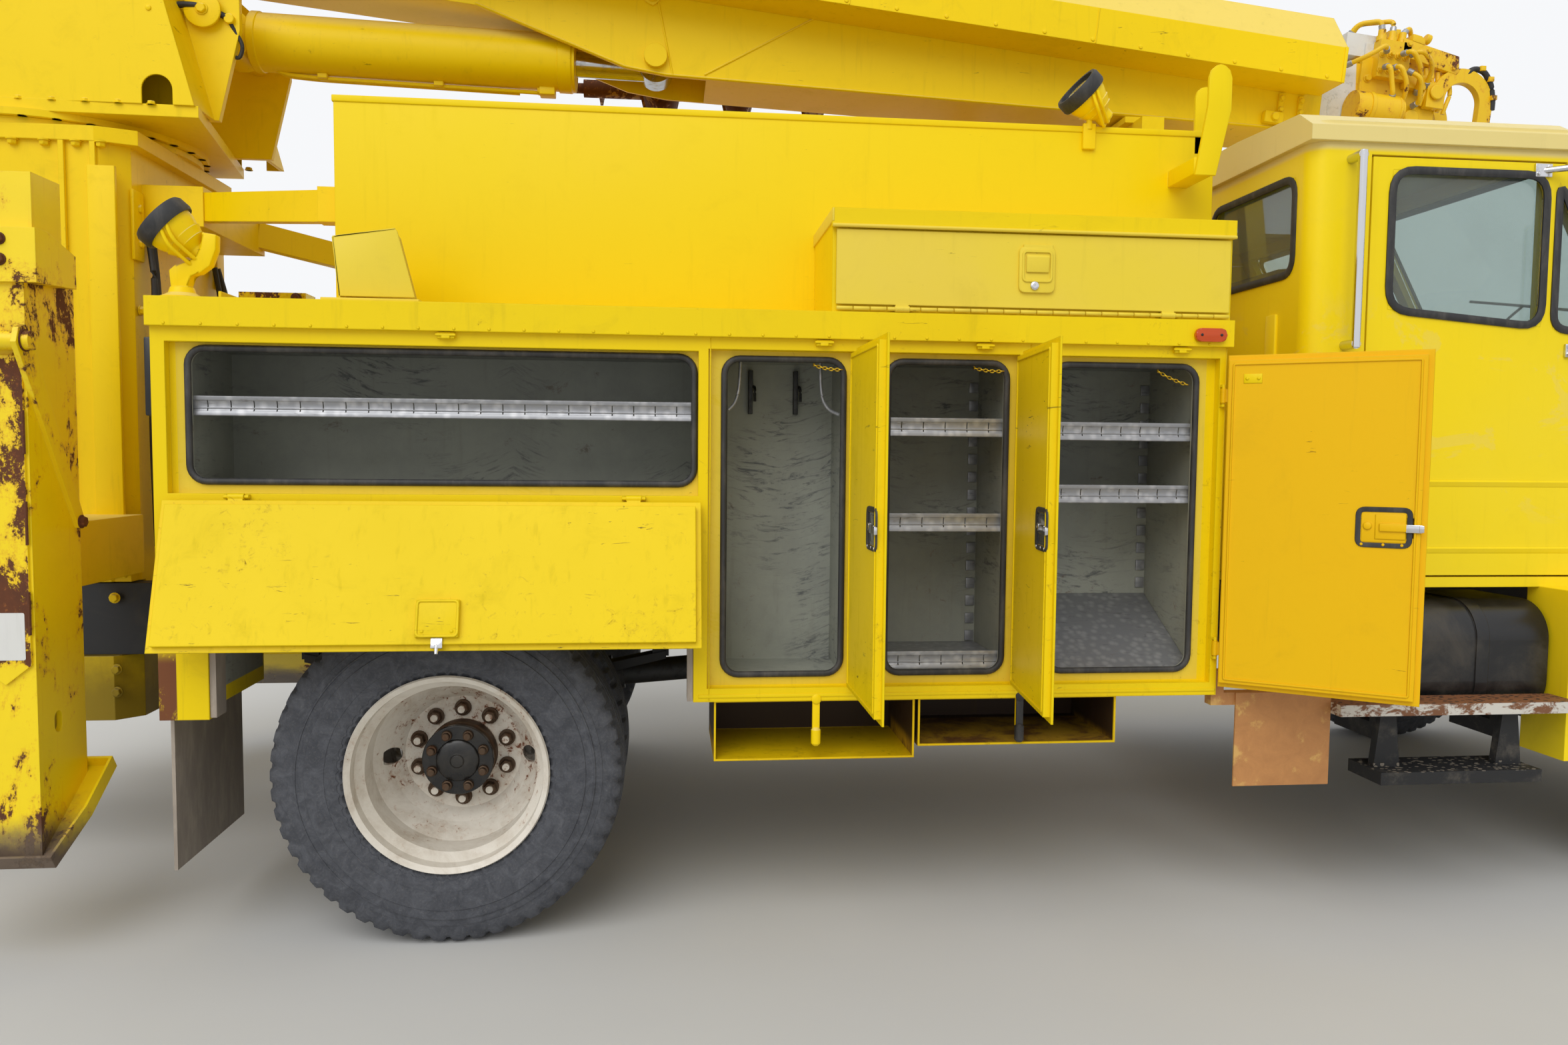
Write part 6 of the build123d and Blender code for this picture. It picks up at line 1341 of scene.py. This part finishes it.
def make_boom_fittings():
    """Lock plate, weld beads, end collar and clips of the lower boom, its guard's seams, and sight holes
    drawn as black discs of painted shade.
    """
    plates, holes = Shape(), Shape()
    u, v = -2.838, -0.02
    plates.plate([(u + a, v + b) for a, b in LOCK_PLATE], -0.146, -0.010, 0.002)
    plates.lathe([(0, 0.026), (0.012, 0.026), (0.016, 0.022)], (u + 0.014, -0.155, v - 0.045), OUTWARD, 24)
    plates.bolts([(u + 0.014, -0.170, v - 0.045)], OUTWARD, 0.022, 0.012)
    plates.lathe([(0, 0.011), (0.010, 0.011), (0.013, 0.008)], (u - 0.022, -0.155, v + 0.040), OUTWARD, 16)
    for u0, v0, u1, v1 in WELDS:
        plates.rod((u0, -0.1465, v0 + 0.006), (u1, -0.1465, v1 + 0.006), 0.0042, 6)
    for u in (-0.300, -0.215):
        plates.box((u, -0.158, -0.212), (u + 0.022, -0.144, -0.070), 0.002)
        plates.bolts([(u + 0.011, -0.158, v) for v in (-0.185, -0.135, -0.090)], OUTWARD, 0.018, 0.010)
    plates.box((-0.205, -0.160, -0.222), (-0.186, 0.160, -0.202), 0.003)
    plates.box((-0.36, -0.176, -0.196), (-0.28, -0.146, -0.150), 0.005)
    plates.rod((-0.32, -0.19, -0.173), (-0.32, -0.145, -0.173), 0.016)
    for u in (-4.0, -3.05, -2.1, -1.15):
        plates.box((u, -0.3325, -0.060), (u + 0.004, -0.3290, 0.070))
    screws = [(-4.2 + k * 0.19, -0.3298, -0.048) for k in range(22)]
    plates.lathes([(0, 0.008), (0.003, 0.007), (0.004, 0.002)], screws, OUTWARD, 10)
    plates.box((-0.150, -0.3335, -0.064), (-0.137, -0.3285, 0.073), 0.001)
    plates.mirror().turned(BOOM).piece("boom_plates", "lower_boom", "boom", "yellow_paint")
    # Painted shade: black discs stand for the dark insides of the sight holes.
    holes.lathes(SIGHT_HOLE, [(-2.605, -0.146, -0.01), (-2.30, -0.146, 0.015)], OUTWARD, 24)
    holes.mirror().turned(BOOM).piece("boom_sight_holes", "lower_boom", "black", "black_paint")


CLAW_HOSE = [(3.900, -0.135, 3.040), (3.940, -0.140, 3.082), (3.985, -0.145, 3.070), (4.018, -0.145, 3.020),
             (4.028, -0.145, 2.950), (4.028, -0.142, 2.915)]


def make_claw_hose():
    """Hose along the claw's back, with its clamps."""
    clamps = Shape()
    for a, b in ((3.972, 3.078), (4.010, 3.036), (4.026, 2.962)):
        clamps.box((a - 0.012, -0.160, b - 0.010), (a + 0.012, -0.128, b + 0.010), 0.003)
    Shape().tube(CLAW_HOSE, 0.0115, 12).piece("claw_hose", "pole_claw", "hose", "rubber")
    clamps.piece("claw_hose_clamps", "pole_claw", "head", "galvanised")


PORT = [(0, 0.020), (0.020, 0.020), (0.022, 0.015), (0.045, 0.015), (0.048, 0.010)]
MOTOR = [(0, 0.058), (0.004, 0.064), (0.012, 0.064), (0.014, 0.056), (0.026, 0.056), (0.030, 0.040),
         (0.034, 0.012)]
MANIFOLD = [(3.625, 3.186), (3.618, 3.115), (3.859, 3.049), (3.872, 3.060), (3.870, 3.123)]
MANIFOLD_TOP = [(3.660, 3.175), (3.664, 3.204), (3.700, 3.196), (3.718, 3.184), (3.716, 3.160)]
# Courses of the head's hoses, in the boom's frame
HEAD_HOSES = [
    [(0.118, -0.176, 0.088), (0.118, -0.215, 0.080), (0.150, -0.205, -0.020), (0.160, -0.185, -0.040)],
    [(0.152, -0.176, 0.088), (0.160, -0.222, 0.085), (0.205, -0.215, 0.010), (0.215, -0.160, -0.060)],
    [(0.186, -0.176, 0.150), (0.200, -0.225, 0.150), (0.262, -0.205, 0.090), (0.300, -0.130, 0.020)],
    [(0.220, -0.176, 0.150), (0.250, -0.215, 0.160), (0.320, -0.190, 0.120), (0.335, -0.130, 0.050)],
    [(0.118, -0.176, 0.150), (0.090, -0.215, 0.160), (0.040, -0.190, 0.120), (-0.020, -0.130, 0.090)],
    [(0.220, -0.176, 0.088), (0.262, -0.205, 0.060), (0.300, -0.160, -0.020), (0.290, -0.125, -0.030)],
    [(0.120, -0.125, 0.250), (0.110, -0.125, 0.290), (0.040, -0.080, 0.285), (0.020, -0.050, 0.240)],
    [(0.165, -0.125, 0.250), (0.170, -0.120, 0.300), (0.060, -0.040, 0.300), (0.050, -0.020, 0.240)],
    [(0.210, -0.125, 0.250), (0.240, -0.120, 0.285), (0.300, -0.060, 0.240), (0.280, -0.040, 0.120)],
]


def make_head_fittings():
    """Manifold, motor and fittings of the boom's head."""
    steel = Shape()
    ports = [(u, v) for v in (0.088, 0.150) for u in (0.118, 0.152, 0.186, 0.220)]
    steel.bolts([(u, -0.150, v) for u, v in ports], OUTWARD, 0.022, 0.012)
    for u, v in ports:
        steel.rod((u, -0.158, v), (u, -0.176, v), 0.0085, 10)
    steel.lathes(PORT, [(u, -0.125, 0.209) for u in (0.120, 0.165, 0.210)], UP, 16)
    steel.lathe(MOTOR, (0.180, -0.164, -0.082), FORWARD, 32)
    steel.lathe([(0, 0.066), (0.016, 0.066)], (0.060, -0.164, -0.082), FORWARD, 32)
    screws = ((0.09, -0.09), (0.09, 0.06), (0.25, -0.13), (0.33, -0.09), (0.35, 0.02), (0.27, 0.09))
    steel.bolts([(u, -0.112, v) for u, v in screws], OUTWARD, 0.024, 0.014)
    steel.rod((0.372, -0.162, 0.030), (0.372, -0.152, 0.030), 0.030, 20)
    steel.rod((0.300, -0.124, -0.070), (0.300, -0.112, -0.070), 0.032, 20)
    steel.box((0.235, -0.146, 0.035), (0.330, -0.112, 0.095), 0.006)
    steel.turned(BOOM)
    steel.plate(MANIFOLD, -0.150, 0.085, 0.004)
    steel.plate(MANIFOLD_TOP, -0.152, 0.060, 0.004)
    steel.rod((3.722, -0.140, 3.190), (3.742, -0.140, 3.184), 0.020, 14)
    steel.box((3.590, -0.118, 3.112), (3.632, 0.118, 3.232), 0.004)
    screws = ((3.650, 3.163), (3.735, 3.140), (3.846, 3.075))
    steel.bolts([(a, -0.150, b) for a, b in screws], OUTWARD, 0.018, 0.008)
    for k in range(5):
        a, b = 3.742 + k * 0.026, 3.078 - k * 0.0075
        steel.rod((a, -0.125, b), (a + 0.002, -0.125, b - 0.035), 0.010, 10)
    steel.piece("head_fittings", "tip_boom", "head", "rusty_steel")


def make_head_hoses():
    """Hoses of the boom's head, and their ends."""
    hoses, ends = Shape(), Shape()
    for run in HEAD_HOSES:
        hoses.tube(run, 0.0095)
        for tip, inner in ((run[0], run[1]), (run[-1], run[-2])):
            tip, inner = Vector(tip), Vector(inner)
            ends.rod(tip, tip + (inner - tip).normalized() * 0.024, 0.0125, 10)
    hoses.turned(BOOM)
    for k in range(5):
        a, b = 3.744 + k * 0.026, 3.046 - k * 0.0075
        run = ((0, -0.125, 0), (0.004, -0.128, -0.04), (-0.016, -0.128, -0.09), (-0.022, -0.122, -0.12))
        hoses.tube([(a + x, y, b + z) for x, y, z in run], 0.0085)
    hoses.piece("head_hoses", "tip_boom", "head", "rubber")
    ends.turned(BOOM).piece("head_hose_ends", "tip_boom", "zinc", "galvanised")


LIFT_BASE = at(-0.984, 0.0, 3.008)
LIFT_ALONG = at(1.578194, 0, -0.036884).normalized()
GLAND = [(1.205, 0.105), (1.207, 0.110), (1.255, 0.110), (1.262, 0.104), (1.268, 0.090), (1.272, 0.060)]
BASE_RING = [(0.070, 0.104), (0.074, 0.109), (0.100, 0.109), (0.104, 0.104)]
# Each turret hose's radius, segments and course
TURRET_HOSES = [
    (0.013, 12, [(-1.160, -0.285, 3.040), (-1.060, -0.300, 3.075), (-0.960, -0.290, 3.085),
                 (-0.905, -0.276, 3.100)]),
    (0.011, 12, [(-1.160, -0.285, 2.990), (-1.070, -0.305, 3.020), (-0.970, -0.295, 3.020),
                 (-0.900, -0.276, 2.985)]),
    (0.007, 8, [(-0.900, -0.276, 2.975), (-0.860, -0.262, 2.900), (-0.880, -0.255, 2.850),
                (-0.930, -0.262, 2.900)]),
]


def make_lift_fittings():
    """Gland, clips and pipes of the lift cylinder, and the turret's hoses, pins and bolts."""
    rings, pipes, hoses, caps = Shape(), Shape(), Shape(), Shape()
    for profile in (GLAND, BASE_RING):
        rings.lathe(profile, LIFT_BASE, LIFT_ALONG)
    for distance in (0.32, 0.75, 1.14):
        place = LIFT_BASE + LIFT_ALONG * distance
        rings.box(place + at(-0.018, -0.022, -0.122), place + at(0.018, 0.022, -0.103), 0.003)
    place = LIFT_BASE + LIFT_ALONG * 1.16
    rings.box(place + at(-0.03, -0.03, -0.130), place + at(0.03, 0.03, -0.100), 0.004)
    rings.piece("lift_barrel_fittings", "lift_barrel", "boom", "yellow_paint")
    run = ((1.16, -0.118), (1.05, -0.118), (0.30, -0.118), (0.18, -0.112), (0.12, -0.085))
    run = [LIFT_BASE + LIFT_ALONG * distance + UP * high for distance, high in run]
    pipes.tube(run, 0.008, 8).tube([place + at(0, 0.030, 0.002) for place in run[1:]], 0.008, 8)
    pipes.piece("lift_pipes", "lift_barrel", "boom", "yellow_paint")
    for radius, segments, run in TURRET_HOSES:
        hoses.tube(run, radius, segments)
    hoses.piece("turret_hoses", "turret", "hose", "rubber")
    pins = ((-0.984, 3.008), (-1.450, 3.550))
    caps.lathes([(0, 0.062), (0.008, 0.062), (0.010, 0.054)], [(x, -0.295, z) for x, z in pins], OUTWARD, 32)
    caps.bolts([(x, -0.305, z) for x, z in pins], OUTWARD, 0.030, 0.014)
    for x, y, z in ((-0.905, -0.276, 3.100), (-0.900, -0.276, 2.985), (-1.155, -0.285, 3.040),
                    (-1.155, -0.285, 2.990)):
        caps.rod((x, y + 0.02, z), (x, y - 0.014, z), 0.018, 12)
    caps.bolts([(-1.94 + k * 0.105, -0.440, 2.6315) for k in range(9)], UP, 0.022, 0.012)
    rivets = ((-1.90, 2.72), (-1.90, 3.00), (-1.60, 3.40), (-1.28, 3.34), (-1.10, 2.95))
    profile = [(0, 0.010), (0.004, 0.009), (0.006, 0.003)]
    caps.lathes(profile, [(x, -0.4455, z) for x, z in rivets], OUTWARD, 12)
    caps.mirror().piece("turret_bolts", "turret", "derrick", "yellow_paint")


PEDESTAL_HOSES = [
    [(-1.180, -0.300, 2.20), (-1.150, -0.330, 2.05), (-1.170, -0.340, 1.60), (-1.165, -0.330, 1.12)],
    [(-1.180, -0.270, 2.20), (-1.155, -0.290, 2.00), (-1.172, -0.300, 1.60), (-1.168, -0.290, 1.12)],
]


def make_pedestal_fittings():
    """Bolts, straps and hoses on the pedestal."""
    bolts, hoses = Shape(), Shape()
    under = (-1.94, -1.84, -1.74, -1.64, -1.54, -1.44, -1.34, -1.26)
    bolts.bolts([(x, -0.452, 2.4995) for x in under], DOWN, 0.026, 0.018)
    turns = [math.radians(-150 + k * 12) for k in range(26)]
    ring = [(-1.6 + 0.47 * math.cos(angle), 0.47 * math.sin(angle), 2.5725) for angle in turns]
    bolts.bolts(ring, UP, 0.020, 0.004)
    bolts.bolts([(-1.196, -0.345, z) for z in (2.30, 2.18, 1.95)], FORWARD, 0.026, 0.016)
    bolts.box((-1.200, -0.390, 2.12), (-1.188, -0.315, 2.36), 0.003)
    bolts.box((-1.305, -0.462, 1.02), (-1.215, -0.4455, 2.42), 0.004)
    bolts.bolts([(-1.26, -0.4455, z) for z in (0.62, 0.70, 0.95)], OUTWARD, 0.026, 0.016)
    bolts.mirror().piece("pedestal_bolts", "chassis", "derrick", "yellow_paint")
    for run in PEDESTAL_HOSES:
        hoses.tube(run, 0.011)
    hoses.mirror().piece("pedestal_hoses", "chassis", "hose", "rubber")


LEG_PORT = [(0, 0.024), (0.014, 0.024), (0.016, 0.017), (0.034, 0.017), (0.036, 0.012)]


def make_leg_fittings():
    """Bolts, ports, beads and blank sign of each outrigger leg."""
    bolts = Shape()
    bolts.bolts([(x, -1.250, z) for x in (-1.150, -1.330) for z in (2.030, 1.975)], OUTWARD, 0.024, 0.012)
    bolts.bolts([(-1.0862, -1.2640, 1.757)], FORWARD, 0.042, 0.020)
    bolts.bolts([(-1.0862, -1.0010, 1.250)], FORWARD, 0.028, 0.014)
    bolts.lathes(LEG_PORT, [(-1.120, -1.0805, z) for z in (2.190, 2.098)], INWARD, 16)
    rivets = [(-1.220, -1.2408, z) for z in (0.90, 1.05, 1.35, 1.66)]
    bolts.lathes([(0, 0.013), (0.003, 0.012), (0.004, 0.004)], rivets, OUTWARD, 14)
    for z in (0.95, 1.20, 1.45):
        bolts.rod((-1.1085, -1.2415, z), (-1.1085, -1.2415, z + 0.12), 0.004, 6)
    bolts.both("leg_bolts", "outrigger_leg", "rusty", "rusty_steel")
    sign = Shape().plate(rounded(rectangle(-1.255, 0.880, -1.122, 1.012), 0.006), -1.2408, -0.0012)
    sign.both("leg_blank_sign", "outrigger_leg", "sign", "white_paint")


RACK_EAR = [(2.330, 2.380), (2.368, 2.600), (2.368, 2.690), (2.376, 2.714), (2.392, 2.728), (2.407, 2.732),
            (2.422, 2.728), (2.438, 2.714), (2.446, 2.690), (2.446, 2.590), (2.400, 2.380)]
INNER_EAR = [(2.420, 2.500), (2.420, 2.690), (2.427, 2.711), (2.440, 2.722), (2.457, 2.726), (2.474, 2.722),
             (2.485, 2.711), (2.490, 2.690), (2.490, 2.500)]


def make_side_panels():
    """Tall panels with folded edges and rack ears, in place of the plain ones."""
    panels = Shape().box((-0.400, -0.815, 1.8893), (2.490, -0.790, 2.573), 0.002)
    panels.box((-0.400, -0.792, 1.8893), (-0.340, -0.750, 2.573), 0.003)
    panels.box((-0.405, -0.819, 2.557), (2.494, -0.780, 2.578), 0.004)
    panels.plate(RACK_EAR, -1.012, 0.012, 0.002)
    panels.box((2.330, -1.001, 2.385), (2.400, -0.813, 2.440), 0.004)
    panels.plate(INNER_EAR, -0.815, 0.012, 0.002)
    panels.mirror().piece("tall_side_panels", "chassis", "panel", "yellow_paint", instead_of=["side_panels"])


CHOCK_HOLDER = [(-0.285, 1.905), (-0.300, 2.070), (-0.285, 2.076), (-0.128, 2.098), (-0.122, 2.090),
                (-0.075, 1.905)]
CHOCK_TOP = [(-0.300, -1.195, 2.068), (-0.128, -1.195, 2.095), (-0.158, -1.022, 2.107),
             (-0.330, -1.022, 2.082)]
CHOCK_REAR = [(-0.302, -1.195, 2.070), (-0.285, -1.195, 1.900), (-0.315, -1.022, 1.900),
              (-0.332, -1.022, 2.080)]


def make_platform():
    """Gratings and kick plates of the platform behind the side panels, and the chock holders."""
    bars, plates, holder = Shape(), Shape(), Shape()
    for k in range(22):
        y = -0.77 + k * 0.0715
        bars.box((-0.755, y, 1.8895), (-0.425, y + 0.005, 1.9075), 0.001)
    for x in (-0.752, -0.64, -0.53, -0.43):
        bars.box((x, -0.77, 1.890), (x + 0.006, 0.735, 1.904), 0.001)
    bars.piece("platform_grating", "chassis", "rusty", "rusty_steel")
    plates.box((-0.765, -0.79, 1.908), (-0.755, 0.79, 1.965), 0.003)
    plates.box((-0.426, -0.788, 1.886), (-0.418, 0.788, 1.950), 0.002)
    plates.piece("platform_kick_plates", "chassis", "panel", "yellow_paint")
    holder.plate(CHOCK_HOLDER, -1.195, 0.006, 0.001)
    holder.plate([(a - 0.03, b + 0.012) for a, b in CHOCK_HOLDER], -1.025, 0.006, 0.001)
    holder.prism(CHOCK_TOP, UP * 0.005, 0.001).prism(CHOCK_REAR, FORWARD * 0.005, 0.001)
    holder.box((-0.330, -1.215, 1.8895), (-0.060, -1.010, 1.8985), 0.002)
    holder.mirror().piece("chock_holders", "chassis", "top_box", "yellow_paint")


def make_compartment_details():
    """Rails at the compartments' back walls, and the body's seam lines and screws."""
    rails, seams = Shape(), Shape()
    for x in (0.913, 1.062):
        rails.box((x - 0.007, -0.846, 1.600), (x + 0.007, BACK_WALL, 1.742), 0.002)
        hook = ((-0.820, 1.690), (-0.862, 1.686), (-0.868, 1.640))
        rails.tube([(x + 0.012, y, z) for y, z in hook], 0.005, 8)
    rails.mirror().piece("compartment_rails", "chassis", "cast", "cast_iron")
    for x in (0.765, 1.232, 1.729, 2.3455):
        seams.box((x, -1.2215, 0.735), (x + 0.003, -1.219, 1.806), 0.0006)
    seams.box((0.735, -1.2222, 0.742), (2.345, -1.219, 0.752), 0.001)
    seams.lathes(SCREW, [(-0.74 + k * 0.0975, -1.2398, 1.815) for k in range(32)], OUTWARD, 8)
    seams.mirror().piece("body_seams", "chassis", "body", "yellow_paint")


# Floor and light

FLOOR_REACH = 60
SKY_LIGHT = 0.62
SUN_LIGHT = 1.55


def make_floor():
    """A plain pale floor in one sheet."""
    mesh = bpy.data.meshes.new("floor")
    corners = [(-1, -1), (1, -1), (1, 1), (-1, 1)]
    mesh.from_pydata([(x * FLOOR_REACH, y * FLOOR_REACH, 0) for x, y in corners], [], [(0, 1, 2, 3)])
    floor = bpy.data.objects.new("floor", mesh)
    bpy.context.scene.collection.objects.link(floor)
    s = Shader("floor", Roughness=0.9)
    tone = s.mix(s.noise(0.7, 5), srgb(200, 200, 198), srgb(210, 210, 208))
    mesh.materials.append(s.finish(tone, 0.9))


def make_light():
    """Soft light from all round, and a broad sun from above the camera."""
    world = bpy.data.worlds.new("world")
    bpy.context.scene.world = world
    world.use_nodes = True
    nodes, links = world.node_tree.nodes, world.node_tree.links
    light = nodes["Background"]
    shown = nodes.new("ShaderNodeBackground")
    for node, colour, strength in ((light, (1, 1, 1, 1), SKY_LIGHT), (shown, (0.93, 0.94, 0.96, 1), 1.0)):
        node.inputs["Color"].default_value = colour
        node.inputs["Strength"].default_value = strength
    rays = nodes.new("ShaderNodeLightPath")

    def either(first, second):
        node = nodes.new("ShaderNodeMath")
        node.operation = "MAXIMUM"
        links.new(first, node.inputs[0])
        links.new(second, node.inputs[1])
        return node.outputs[0]

    through = either(rays.outputs["Is Glossy Ray"], rays.outputs["Is Transmission Ray"])
    mixed = nodes.new("ShaderNodeMixShader")
    links.new(either(rays.outputs["Is Camera Ray"], through), mixed.inputs[0])
    links.new(light.outputs[0], mixed.inputs[1])
    links.new(shown.outputs[0], mixed.inputs[2])
    links.new(mixed.outputs[0], nodes["World Output"].inputs["Surface"])
    sun = bpy.data.lights.new("sun", "SUN")
    sun.energy = SUN_LIGHT
    sun.angle = math.radians(50)
    lamp = bpy.data.objects.new("sun", sun)
    lamp.rotation_euler = (math.radians(48), 0, math.radians(-24))
    bpy.context.scene.collection.objects.link(lamp)
    bpy.context.scene.view_settings.view_transform = "Standard"


def main():
    """Build the whole scene."""
    make_camera()
    finish_nodes()
    make_tyres()
    make_wheel_nuts()
    make_seals()
    make_shelves()
    make_posts_and_hooks()
    make_door_fittings()
    make_blank_plate()
    make_flip_fittings()
    make_chains()
    make_top_box_fittings()
    make_tray_handles()
    make_work_lamps()
    make_signal_lamps()
    make_cab_windows()
    make_mirrors()
    make_cab_trim()
    make_front()
    make_boom_fittings()
    make_head_fittings()
    make_head_hoses()
    make_claw_hose()
    make_side_panels()
    make_lift_fittings()
    make_pedestal_fittings()
    make_leg_fittings()
    make_platform()
    make_compartment_details()
    make_floor()
    make_light()


main()
